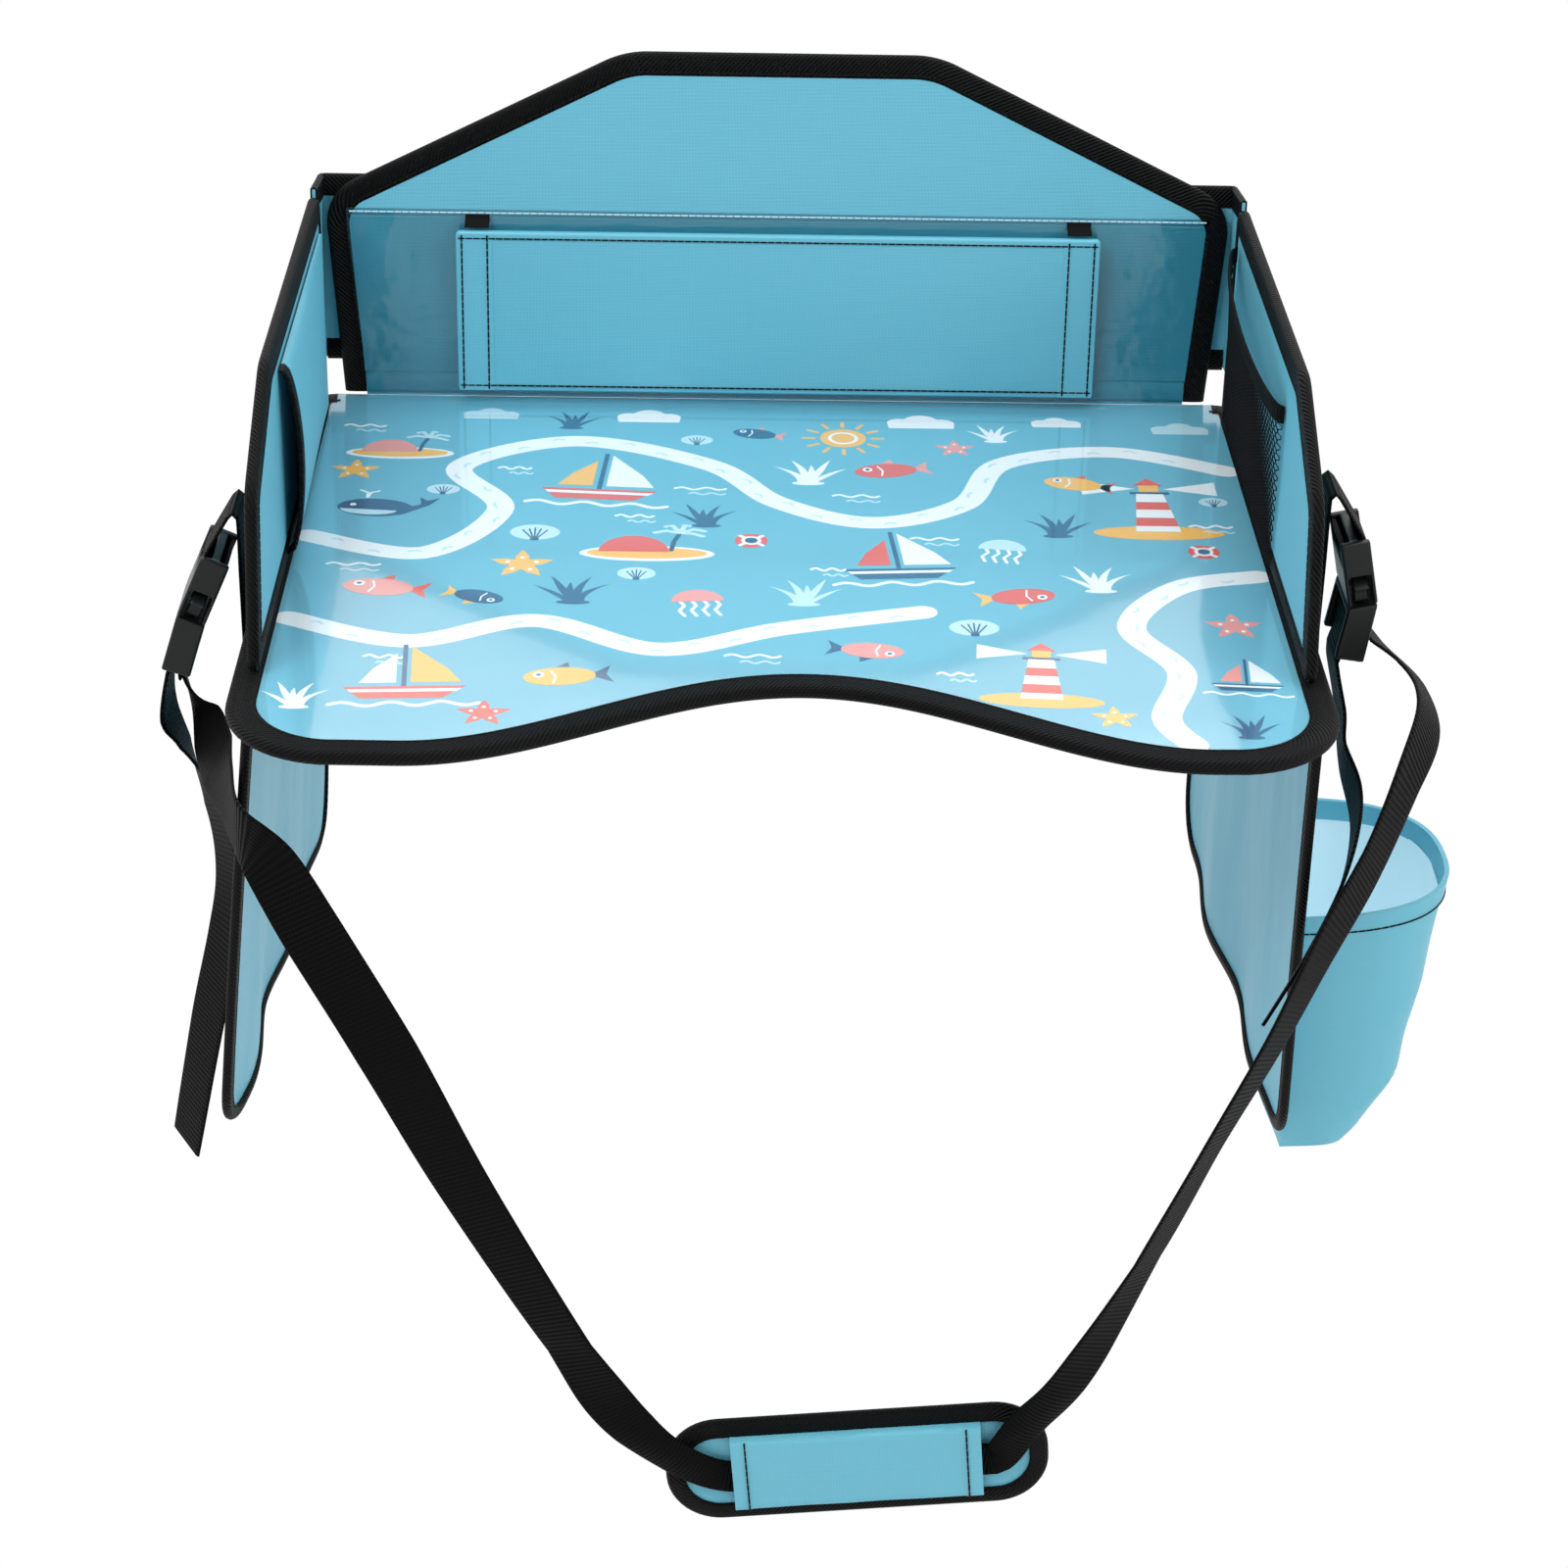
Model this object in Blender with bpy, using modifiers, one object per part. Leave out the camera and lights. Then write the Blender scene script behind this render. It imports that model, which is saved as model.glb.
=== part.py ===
"""Travel tray for a child's car seat: a printed tray with panels, hanging flaps and a buckled harness.

Metres, +Z up. The origin is the middle of the tray's underside, +Y runs to the back panel, +X to the right.
"""
import bmesh
import bpy
from math import asin, cos, pi, radians, sin, sqrt, tan
from mathutils import Matrix, Vector

# Tray
TRAY_WIDTH = 0.432
TRAY_DEPTH = 0.356
TRAY_BOARD_THICKNESS = 0.0030
TRAY_FRONT_RADIUS = 0.045
TRAY_BACK_RADIUS = 0.014
BELLY_CUT_DEPTH = 0.060
BELLY_LOBE_REACH = 0.155
BELLY_OFFSET = 0.008
PRINT_THICKNESS = 0.0004
FILM_THICKNESS = 0.0004
UNDERSIDE_THICKNESS = 0.0014

# Cloth, binding tape and the clearances between sewn pieces
FABRIC_THICKNESS = 0.0010
BINDING_WIDTH = 0.0100
TRAY_BINDING_WIDTH = 0.0120
BINDING_WALL = 0.0012
SEAM_GAP = 0.0003
WELD = 0.000005
LEAST_CORNER_SHARE = 0.5

# Back panel
BACK_HEIGHT = 0.158
BACK_SHOULDER_HEIGHT = 0.092
BACK_CREST_WIDTH = 0.140
BACK_BOARD_THICKNESS = 0.0030
BACK_FOOT_RADIUS = 0.003
BACK_FOOT_DRAW = 0.008
BACK_SHOULDER_RADIUS = 0.022
BACK_CREST_RADIUS = 0.045
BACK_LEAN = radians(8)

# Clear pocket and tablet band on the back panel
POCKET_TOP = 0.0825
POCKET_SHEET = 0.0006
POCKET_HEM_HEIGHT = 0.0035
HOLDER_WIDTH = 0.292
HOLDER_HEIGHT = 0.075
HOLDER_BASE = 0.0035
HOLDER_CORNER_RADIUS = 0.002
HOLDER_FACE = 0.0010
HOLDER_CORE = 0.0014
HOLDER_OPENING = 0.0058
ELASTIC_WIDTH = 0.011
ELASTIC_THICKNESS = 0.0008
ELASTIC_INSET = 0.0095

# Side panels, which stand in from the tray's edge
PANEL_INSET = 0.0060
PANEL_ROOM = 0.0037
SIDE_HEIGHT = 0.100
SIDE_BOARD_THICKNESS = 0.0020
SIDE_REAR_INSET = 0.012
SIDE_CREST = -0.035
SIDE_SHOULDER = -0.096
SIDE_SHOULDER_HEIGHT = 0.0695
SIDE_TOE = -0.115
SIDE_CREST_RADIUS = 0.025
SIDE_TOE_RADIUS = 0.004
SIDE_REAR_RADIUS = 0.008
SIDE_SHOULDER_RADIUS = 0.020

# Pockets inside the side panels: mesh on the right, open at its top, and cloth on the left, open in front
NET_TOP = 0.0865
NET_FRONT_TOP = 0.077
NET_FOOT = 0.005
NET_REAR_INSET = 0.016
NET_FRONT = -0.012
NET_BOW = 0.009
NET_WIRE = 0.0016
NET_FIRST_GAP = 0.0003
NET_ELASTIC_HEIGHT = 0.008
NET_CELLS_LONG = 11
NET_CELLS_HIGH = 5
CLOTH_POCKET_BOW = 0.0065
CLOTH_POCKET_STEP = 0.012

# Corner wraps behind the back panel
WRAP_REACH = 0.044
WRAP_FOOT = 0.014
WRAP_HEIGHT = 0.100
WRAP_THICKNESS = 0.0014
WRAP_RADIUS = 0.012
WRAP_INSET = 0.0014

# Hanging flaps, sewn under the tray's edge
FLAP_INSET = 0.0115
FLAP_FRONT_HEIGHT = 0.208
FLAP_REAR_DROP = 0.010
FLAP_FRONT_INSET = 0.0305
FLAP_FRONT_SLANT = 0.026
FLAP_REAR_INSET = 0.006
FLAP_RADIUS = 0.030
FLAP_CLOTH = 0.0012
FLAP_BINDING_WIDTH = 0.0060
FLAP_BINDING_WALL = 0.0008
FLAP_SLACK = 0.0006
FLAP_FOLD = 0.0032
LEFT_FLAP_SPLAY = radians(6.5)
RIGHT_FLAP_SPLAY = radians(2)
LEFT_REAR_SWAY = 0.011
RIGHT_REAR_SWAY = 0.007
FLAP_FOLD_LENGTH = 0.115
MAIN_FOLD_SHARE = 0.6
FLAP_COLUMN = 0.012

# Cup pouch on the right flap
CUP_WIDTH = 0.104
CUP_REACH = 0.0705
CUP_DROP = 0.101
CUP_HEIGHT = 0.120
CUP_WALL = 0.0014
CUP_HEM_HEIGHT = 0.009
CUP_HEM_THICKNESS = 0.0020
CUP_CENTRE = 0.0585
CUP_CLEARANCE = 0.0008
CUP_SQUARENESS_SHARE = 2.4
CUP_FOOT_WIDTH_SHARE = 0.76
CUP_FOOT_REACH_SHARE = 0.66

# Buckles: measured along the buckle from the bar that the anchor webbing goes round. A bar's place is how
# far it stands out from the tray's edge, and its height
WEBBING_WIDTH = 0.025
WEBBING_THICKNESS = 0.0015
BUCKLE_WIDTH = 0.0340
BUCKLE_THICKNESS = 0.0120
BUCKLE_PLACE = 0.0520
LEFT_BAR_PLACE = (0.0117, 0.0307)
LEFT_SOCKET_LEAN = radians(23.5)
LEFT_CLIP_BEND = radians(6)
RIGHT_BAR_PLACE = (0.0126, 0.0451)
RIGHT_SOCKET_LEAN = radians(12)
RIGHT_CLIP_BEND = radians(20)
BAR_SIZE = 0.0040
BAR_DEPTH = 0.0060
BAR_ROOT = 0.0020
SLOT_HEIGHT = 0.0050
SOCKET_END = 0.0250
SOCKET_ROOF = 0.0100
SOCKET_WALL = 0.0018
SOCKET_RIM = 0.0030
WINDOW_TOP = 0.0118
CLIP_END = 0.0500
CLIP_THICKNESS = 0.0120
CLIP_SLOT_TOP = 0.0300
CLIP_SLOT_HEIGHT = 0.0042
CLIP_BAR_DEPTH = 0.0040
CLIP_BAR_THICKNESS = 0.0030
TONGUE_WIDTH = 0.0060
TONGUE_THICKNESS = 0.0036
TONGUE_TIP = 0.0150
PRONG_TIP = 0.0128
PRONG_PIVOT = 0.0115
PRONG_ARM = 0.0032
PRONG_HOOK = 0.0180
PRONG_THICKNESS = 0.0060
MOULDED_EDGE = 0.00045
ANCHOR_GAP = 0.0006
ANCHOR_TAIL = 0.012
ANCHOR_RISE = 0.022
ANCHOR_FOLD = 0.0020
ANCHOR_END = 0.0020

# Shoulder pad
PAD_LENGTH = 0.160
PAD_HEIGHT = 0.051
PAD_CORE = 0.0020
PAD_BINDING_WIDTH = 0.0090
PAD_CROWN = 0.0085
PAD_ACROSS = 0.036
PAD_DROP = 0.3205
PAD_FORWARD = 0.1865
PAD_TILT = radians(5)
PAD_END_SHARE = 0.45
CROWN_FALL_SHARE = 0.75
CROWN_EDGE_SHARE = 0.60
CROWN_DRAW_SHARE = 0.12
SLEEVE_LENGTH = 0.104
SLEEVE_WALL = 0.0010
SLEEVE_ROOM = 0.0008
STRAP_SPACING = 0.011
STRAP_LEAD = 0.007
LEFT_STRAP_START = 0.013
RIGHT_STRAP_START = 0.039

# Worked out from the sizes above
PANEL_SPAN = TRAY_WIDTH - 2 * PANEL_INSET
FLAP_SPAN = TRAY_WIDTH - 2 * FLAP_INSET
BACK_WIDTH = PANEL_SPAN - 2 * PANEL_ROOM
POCKET_WIDTH = BACK_WIDTH - 2 * (BINDING_WIDTH + SEAM_GAP)
TRAY_STACK = TRAY_BOARD_THICKNESS + 2 * (SEAM_GAP + BINDING_WALL)
TRAY_CENTRE = UNDERSIDE_THICKNESS + SEAM_GAP + TRAY_BOARD_THICKNESS / 2
TRAY_TOP = TRAY_CENTRE + TRAY_STACK / 2
HINGE_HEIGHT = TRAY_TOP + SEAM_GAP
BACK_EDGE = TRAY_DEPTH / 2
SIDE_STACK = SIDE_BOARD_THICKNESS + 2 * (SEAM_GAP + BINDING_WALL)
BACK_STACK = BACK_BOARD_THICKNESS + 2 * (SEAM_GAP + BINDING_WALL)
SIDE_HINGE = PANEL_SPAN / 2 - SIDE_STACK
FLAP_STACK = FLAP_CLOTH + 2 * (FLAP_SLACK + FLAP_BINDING_WALL)
FLAP_HINGE = FLAP_SPAN / 2
FLAP_REAR_HEIGHT = FLAP_FRONT_HEIGHT + FLAP_REAR_DROP
BOARD_INSET = BINDING_WALL + SEAM_GAP
FACE_INSET = BINDING_WIDTH + SEAM_GAP
PAD_LIP = PAD_CORE / 2 + SEAM_GAP + BINDING_WALL
STRAP_LAYER = PAD_LIP + SEAM_GAP + WEBBING_THICKNESS / 2
STRAP_FORWARD = PAD_FORWARD + STRAP_LAYER

BLUE = (0.180, 0.510, 0.680)
PALE_BLUE = (0.360, 0.620, 0.750)
BLACK = (0.008, 0.008, 0.008)
BUCKLE_BLACK = (0.020, 0.022, 0.021)
BOARD_GREY = (0.420, 0.420, 0.400)
CLEAR = (0.700, 0.800, 0.820)
FINISHES = {
    "fabric_blue": (BLUE, 0.80),
    "print_blue": (PALE_BLUE, 0.60),
    "webbing_black": (BLACK, 0.75),
    "buckle_black": (BUCKLE_BLACK, 0.38),
    "board": (BOARD_GREY, 0.70),
    "clear_vinyl": (CLEAR, 0.12),
    "elastic_black": (BLACK, 0.85),
}


def clear_scene():
    for obj in list(bpy.data.objects):
        bpy.data.objects.remove(obj, do_unlink=True)


def collection(name):
    made = bpy.data.collections.new(name)
    bpy.context.scene.collection.children.link(made)
    return made


clear_scene()
PARTS = collection("car_seat_tray_table")
CUTTERS = collection("cutters")


def dress(obj, finish):
    """Each sub-part has a material of its own, named for it."""
    colour, roughness = FINISHES[finish]
    material = bpy.data.materials.new(obj.name + "_" + finish)
    material.use_nodes = True
    shader = material.node_tree.nodes["Principled BSDF"]
    shader.inputs["Base Color"].default_value = (*colour, 1)
    shader.inputs["Roughness"].default_value = roughness
    obj.data.materials.clear()
    obj.data.materials.append(material)


def hide(obj):
    """A cutter or a guide shows as wire and takes no part in the model."""
    obj.hide_render = True
    obj.display_type = "WIRE"
    CUTTERS.objects.link(obj)
    return obj


def turn_out(obj):
    """Makes sure that a closed mesh faces out, by the sign of its volume."""
    bm = bmesh.new()
    bm.from_mesh(obj.data)
    if bm.calc_volume(signed=True) < 0:
        bmesh.ops.reverse_faces(bm, faces=bm.faces)
        bm.to_mesh(obj.data)
    bm.free()
    return obj


def place(obj, parent, finish):
    PARTS.objects.link(turn_out(obj))
    obj.parent = parent
    dress(obj, finish)
    return obj


def axis_empty(name, location, rotation=(0, 0, 0)):
    empty = bpy.data.objects.new(name, None)
    PARTS.objects.link(empty)
    empty.location = location
    empty.rotation_euler = rotation
    return empty


def moved_corners(corners, margin):
    """The corners of the outline moved inwards by the margin, each with its radius shortened alike."""
    made = []
    count = len(corners)
    for i, (x, y, radius) in enumerate(corners):
        here = Vector((x, y))
        into = (here - Vector(corners[i - 1][:2])).normalized()
        out = (Vector(corners[(i + 1) % count][:2]) - here).normalized()
        normal = Vector((-into.y - out.y, into.x + out.x)).normalized()
        spot = here + normal * (margin / normal.dot(Vector((-into.y, into.x))))
        made.append((spot.x, spot.y, max(radius - margin, 0)))
    return made


def rounded(corners, steps=4, margin=0):
    """The outline through (x, y, radius) corners, each turned with an arc. Corners run anticlockwise."""
    points = []
    corners = moved_corners(corners, margin) if margin else corners
    count = len(corners)
    for i, (x, y, radius) in enumerate(corners):
        here = Vector((x, y))
        before = (Vector(corners[i - 1][:2]) - here).normalized()
        after = (Vector(corners[(i + 1) % count][:2]) - here).normalized()
        if radius < SEAM_GAP:
            points.append(here)
            continue
        half = before.angle(after) / 2
        centre = here + (before + after).normalized() * (radius / sin(half))
        start = here + before * (radius / tan(half)) - centre
        end = here + after * (radius / tan(half)) - centre
        sweep = start.angle_signed(end)
        for k in range(steps + 1):
            turn = Matrix.Rotation(-sweep * k / steps, 2)
            points.append(centre + turn @ start)
    return points


def inset(outline, distance):
    """The outline moved inwards by the distance, square to its edges."""
    moved = []
    count = len(outline)
    for i, point in enumerate(outline):
        into = (point - outline[i - 1]).normalized()
        out = (outline[(i + 1) % count] - point).normalized()
        normal = Vector((-into.y - out.y, into.x + out.x)).normalized()
        square = max(normal.dot(Vector((-into.y, into.x))), LEAST_CORNER_SHARE)
        moved.append(point + normal * (distance / square))
    return moved


def curve_object(name, points, cyclic, dimensions="2D"):
    curve = bpy.data.curves.new(name, "CURVE")
    curve.dimensions = dimensions
    spline = curve.splines.new("POLY")
    spline.points.add(len(points) - 1)
    for target, point in zip(spline.points, points):
        target.co = (point[0], point[1], point[2] if len(point) > 2 else 0, 1)
    spline.use_cyclic_u = cyclic
    return bpy.data.objects.new(name, curve)


def solid_mesh(obj):
    """The evaluated shape of an object as a plain mesh object, with loose caps welded."""
    scene_objects = bpy.context.scene.collection.objects
    if not obj.users_collection:
        scene_objects.link(obj)
    bpy.context.view_layer.update()
    graph = bpy.context.evaluated_depsgraph_get()
    mesh = bpy.data.meshes.new_from_object(obj.evaluated_get(graph))
    name = obj.name
    bpy.data.objects.remove(obj, do_unlink=True)
    bm = bmesh.new()
    bm.from_mesh(mesh)
    bmesh.ops.remove_doubles(bm, verts=bm.verts, dist=WELD)
    bmesh.ops.recalc_face_normals(bm, faces=bm.faces)
    bm.to_mesh(mesh)
    bm.free()
    made = bpy.data.objects.new(name, mesh)
    made.name = name
    return made


def sheet(name, outline, thickness, middle=0):
    """A flat sheet: the outline filled and extruded about the height of its middle."""
    obj = curve_object(name, outline, True)
    obj.data.fill_mode = "BOTH"
    obj.data.extrude = thickness / 2
    made = solid_mesh(obj)
    made.data.transform(Matrix.Translation((0, 0, middle)))
    return made


def channel_profile(name, width, wall, room):
    """The C section of folded binding tape, its lips to -X, round a stack as thick as its room."""
    inner = room / 2
    outer = inner + wall
    corners = [(0, -outer), (width, -outer), (width, -inner), (wall, -inner),
               (wall, inner), (width, inner), (width, outer), (0, outer)]
    return hide(curve_object(name, [(-x, y) for x, y in corners], True))


def binding(name, outline, width, wall, room, cyclic=True):
    """Folded tape round the edge of a panel: the C section carried along the panel's outline."""
    obj = curve_object(name, outline, cyclic, "3D")
    obj.data.twist_mode = "Z_UP"
    obj.data.bevel_mode = "OBJECT"
    obj.data.bevel_object = channel_profile(name + "_section", width, wall, room)
    obj.data.use_fill_caps = not cyclic
    return solid_mesh(obj)


def block(name, low, high):
    """A box between two corners."""
    mesh = bpy.data.meshes.new(name)
    bm = bmesh.new()
    bmesh.ops.create_cube(bm, size=1)
    size = Vector(high) - Vector(low)
    middle = (Vector(high) + Vector(low)) / 2
    bmesh.ops.scale(bm, vec=size, verts=bm.verts)
    bmesh.ops.translate(bm, vec=middle, verts=bm.verts)
    bm.to_mesh(mesh)
    bm.free()
    return bpy.data.objects.new(name, mesh)


def boolean(obj, tool, operation):
    """Cuts or joins with the EXACT solver. The tool stays, as a hidden guide."""
    hide(tool)
    modifier = obj.modifiers.new(tool.name, "BOOLEAN")
    modifier.operation = operation
    modifier.object = tool
    modifier.solver = "EXACT"


def framed_binding(name, corners, width, wall, room):
    """Folded tape with square inner corners: a slab less its opening, and less the slot that the board fills."""
    depth = room + 2 * wall
    tape = sheet(name, rounded(corners), depth)
    opening = sheet(name + "_opening", rounded(corners, margin=width), depth + 2 * wall)
    boolean(tape, opening, "DIFFERENCE")
    slot = sheet(name + "_slot", rounded(corners, margin=wall), room)
    boolean(tape, slot, "DIFFERENCE")
    return solid_mesh(tape)


UPRIGHT = Matrix.Rotation(pi / 2, 4, "X")
SIDEWAYS = Matrix(((0, 0, 1, 0), (1, 0, 0, 0), (0, 1, 0, 0), (0, 0, 0, 1)))


def laid(obj, matrix):
    obj.data.transform(matrix)
    return obj


# Tray


def belly_edge(x):
    """The front edge: a smooth cut-out between two lobes."""
    return BELLY_CUT_DEPTH / 2 * (1 + cos(pi * (x - BELLY_OFFSET) / BELLY_LOBE_REACH)) - TRAY_DEPTH / 2


def tray_outline(steps=16, turn_steps=6):
    half = TRAY_WIDTH / 2
    points = []
    for k in range(steps + 1):
        x = BELLY_OFFSET + BELLY_LOBE_REACH * (2 * k / steps - 1)
        points.append(Vector((x, belly_edge(x))))
    front = TRAY_FRONT_RADIUS
    for k in range(1, turn_steps + 1):
        a = pi / 2 * k / turn_steps
        points.append(Vector((half - front + front * sin(a), front - TRAY_DEPTH / 2 - front * cos(a))))
    back = TRAY_BACK_RADIUS
    for sign in (1, -1):
        for k in range(4):
            a = pi / 2 * (k / 3 if sign > 0 else 1 - k / 3)
            points.append(Vector((sign * (half - back + back * cos(a)), BACK_EDGE - back + back * sin(a))))
    for k in range(turn_steps):
        a = pi / 2 * (1 - k / turn_steps)
        points.append(Vector((-half + front - front * sin(a), front - TRAY_DEPTH / 2 - front * cos(a))))
    return points


def build_tray():
    outline = tray_outline()
    face = inset(outline, TRAY_BINDING_WIDTH + SEAM_GAP)
    above = TRAY_CENTRE + TRAY_BOARD_THICKNESS / 2 + SEAM_GAP
    film = above + PRINT_THICKNESS + SEAM_GAP
    place(sheet("tray_board", inset(outline, BOARD_INSET), TRAY_BOARD_THICKNESS, TRAY_CENTRE), None, "board")
    place(sheet("tray_print_sheet", face, PRINT_THICKNESS, above + PRINT_THICKNESS / 2), None, "print_blue")
    place(sheet("tray_clear_film", face, FILM_THICKNESS, film + FILM_THICKNESS / 2), None, "clear_vinyl")
    place(sheet("tray_underside", face, UNDERSIDE_THICKNESS, UNDERSIDE_THICKNESS / 2), None, "fabric_blue")
    room = TRAY_BOARD_THICKNESS + 2 * SEAM_GAP
    tape = binding("tray_binding", outline, TRAY_BINDING_WIDTH, BINDING_WALL, room)
    place(laid(tape, Matrix.Translation((0, 0, TRAY_CENTRE))), None, "webbing_black")


def panel(prefix, names, corners, board, turn, parent, side=1):
    """A stiff panel: a board between two cloths, all held in folded tape. Side turns its faces round."""
    board_name, front_name, rear_name, tape_name = [prefix + "_" + name for name in names]
    face = rounded(corners, margin=FACE_INSET)
    lift = board / 2 + SEAM_GAP + FABRIC_THICKNESS / 2
    place(laid(sheet(board_name, rounded(corners, margin=BOARD_INSET), board), turn), parent, "board")
    place(laid(sheet(front_name, face, FABRIC_THICKNESS, lift * side), turn), parent, "fabric_blue")
    place(laid(sheet(rear_name, face, FABRIC_THICKNESS, -lift * side), turn), parent, "fabric_blue")
    tape = framed_binding(tape_name, corners, BINDING_WIDTH, BINDING_WALL, board + 2 * SEAM_GAP)
    place(laid(tape, turn), parent, "webbing_black")


# Back panel, with its clear pocket, tablet band and corner wraps


def build_back():
    hinge = axis_empty("back_hinge", (0, BACK_EDGE, HINGE_HEIGHT), (-BACK_LEAN, 0, 0))
    half = BACK_WIDTH / 2
    crest = BACK_CREST_WIDTH / 2
    corners = [
        (BACK_FOOT_DRAW - half, SEAM_GAP, BACK_FOOT_RADIUS),
        (half - BACK_FOOT_DRAW, SEAM_GAP, BACK_FOOT_RADIUS),
        (half, BACK_SHOULDER_HEIGHT, BACK_SHOULDER_RADIUS),
        (crest, BACK_HEIGHT, BACK_CREST_RADIUS),
        (-crest, BACK_HEIGHT, BACK_CREST_RADIUS),
        (-half, BACK_SHOULDER_HEIGHT, BACK_SHOULDER_RADIUS),
    ]
    names = ("board", "front_fabric", "rear_fabric", "binding")
    panel("back", names, corners, BACK_BOARD_THICKNESS, UPRIGHT, hinge)
    build_clear_pocket(hinge)
    build_holder(hinge)
    for name, side in (("left", -1), ("right", 1)):
        build_wrap(name, side, hinge)


POCKET_FRONT = BACK_STACK / 2 + SEAM_GAP


def build_clear_pocket(hinge):
    half = POCKET_WIDTH / 2
    foot = half - BACK_FOOT_DRAW
    outline = rounded([(-foot, 2 * SEAM_GAP, 0), (foot, 2 * SEAM_GAP, 0),
                       (half, POCKET_TOP, 0), (-half, POCKET_TOP, 0)])
    middle = POCKET_FRONT + POCKET_SHEET / 2
    place(laid(sheet("back_clear_pocket", outline, POCKET_SHEET, middle), UPRIGHT), hinge, "clear_vinyl")
    low = (-half, -POCKET_FRONT - POCKET_SHEET, POCKET_TOP + SEAM_GAP)
    high = (half, -POCKET_FRONT, POCKET_TOP + SEAM_GAP + POCKET_HEM_HEIGHT)
    place(block("back_pocket_hem", low, high), hinge, "fabric_blue")


def build_holder(hinge):
    """The tablet band leans out from the pocket's foot, and two elastic tabs tie its top to the panel."""
    back = POCKET_FRONT + POCKET_SHEET + SEAM_GAP
    swing = asin(HOLDER_OPENING / HOLDER_HEIGHT)
    pivot = bpy.data.objects.new("holder_hinge", None)
    PARTS.objects.link(pivot)
    pivot.parent = hinge
    pivot.location = (0, -back, HOLDER_BASE)
    pivot.rotation_euler = (swing, 0, 0)
    half = HOLDER_WIDTH / 2
    corner = HOLDER_CORNER_RADIUS
    outline = rounded([(-half, 0, corner), (half, 0, corner),
                       (half, HOLDER_HEIGHT, corner), (-half, HOLDER_HEIGHT, corner)], 2)
    depth = 0
    layers = (("holder_lining", HOLDER_FACE, "fabric_blue"), ("holder_stiffener", HOLDER_CORE, "board"),
              ("holder_front", HOLDER_FACE, "fabric_blue"))
    for name, thickness, finish in layers:
        place(laid(sheet(name, outline, thickness, depth + thickness / 2), UPRIGHT), pivot, finish)
        depth += thickness + SEAM_GAP
    reach = half - ELASTIC_INSET
    for name, side in (("left", -1), ("right", 1)):
        tab = elastic_tab("holder_elastic_" + name, side * reach, back, swing)
        place(tab, hinge, "elastic_black")


def elastic_tab(name, across, back, swing):
    """From the front of the pocket's hem down to the band's top edge, clear of both."""
    top = POCKET_TOP + POCKET_HEM_HEIGHT / 2
    band_top = HOLDER_BASE + HOLDER_HEIGHT * cos(swing)
    lip = back + HOLDER_HEIGHT * sin(swing) + (HOLDER_FACE + HOLDER_CORE) / 2
    face = back + ELASTIC_THICKNESS / 2
    over = band_top + ELASTIC_THICKNESS + 2 * SEAM_GAP
    forward = Vector((0, -1, 0))
    stations = [(Vector((across, -face, top)), forward),
                (Vector((across, -face, POCKET_TOP)), forward),
                (Vector((across, -lip, over)), Vector((0, -1, 1)).normalized())]
    return webbing(name, stations, ELASTIC_WIDTH, ELASTIC_THICKNESS, ELASTIC_WIDTH)


def build_wrap(name, side, hinge):
    """The corner cloth: from the side panel's rear edge round behind the back panel."""
    outer = PANEL_SPAN / 2 - WRAP_INSET
    inner = outer - WRAP_REACH
    behind = BACK_STACK / 2 + SEAM_GAP
    tape_room = WRAP_THICKNESS + 2 * SEAM_GAP
    middle = behind + tape_room / 2 + BINDING_WALL
    front = SIDE_REAR_INSET - SEAM_GAP
    edge = middle + WRAP_THICKNESS / 2
    lean = sin(BACK_LEAN)
    inset_x = outer - WRAP_THICKNESS
    leaf = rounded([(inner + BOARD_INSET, WRAP_FOOT + BOARD_INSET, WRAP_RADIUS),
                    (outer, WRAP_FOOT + BOARD_INSET, 0),
                    (outer, WRAP_HEIGHT - BOARD_INSET, 0),
                    (inner + BOARD_INSET, WRAP_HEIGHT - BOARD_INSET, WRAP_RADIUS)])
    rear = laid(sheet("wrap_" + name, leaf, WRAP_THICKNESS, -middle), UPRIGHT)
    leg = [(-front, WRAP_FOOT + BOARD_INSET), (edge, WRAP_FOOT + BOARD_INSET),
           (edge, WRAP_HEIGHT - BOARD_INSET), (-front - WRAP_HEIGHT * lean, WRAP_HEIGHT - BOARD_INSET)]
    cheek = sheet("wrap_leg_" + name, [Vector(p) for p in leg], WRAP_THICKNESS, outer - WRAP_THICKNESS / 2)
    cheek = turn_out(laid(cheek, SIDEWAYS))
    for piece in (rear, cheek):
        if side < 0:
            piece.data.transform(Matrix.Scale(-1, 4, Vector((1, 0, 0))))
        turn_out(piece)
    place(rear, hinge, "fabric_blue")
    cheek.parent = hinge
    boolean(rear, cheek, "UNION")
    end = inset_x - SEAM_GAP
    path = rounded([(end, WRAP_HEIGHT, 0), (inner, WRAP_HEIGHT, WRAP_RADIUS + BOARD_INSET),
                    (inner, WRAP_FOOT, WRAP_RADIUS + BOARD_INSET), (end, WRAP_FOOT, 0)])
    path = path if side > 0 else [Vector((-p.x, p.y)) for p in reversed(path)]
    tape = binding("wrap_binding_" + name, path, BINDING_WIDTH, BINDING_WALL, tape_room, False)
    place(laid(laid(tape, Matrix.Translation((0, 0, -middle))), UPRIGHT), hinge, "webbing_black")


# Side panels and their mesh pockets


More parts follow.
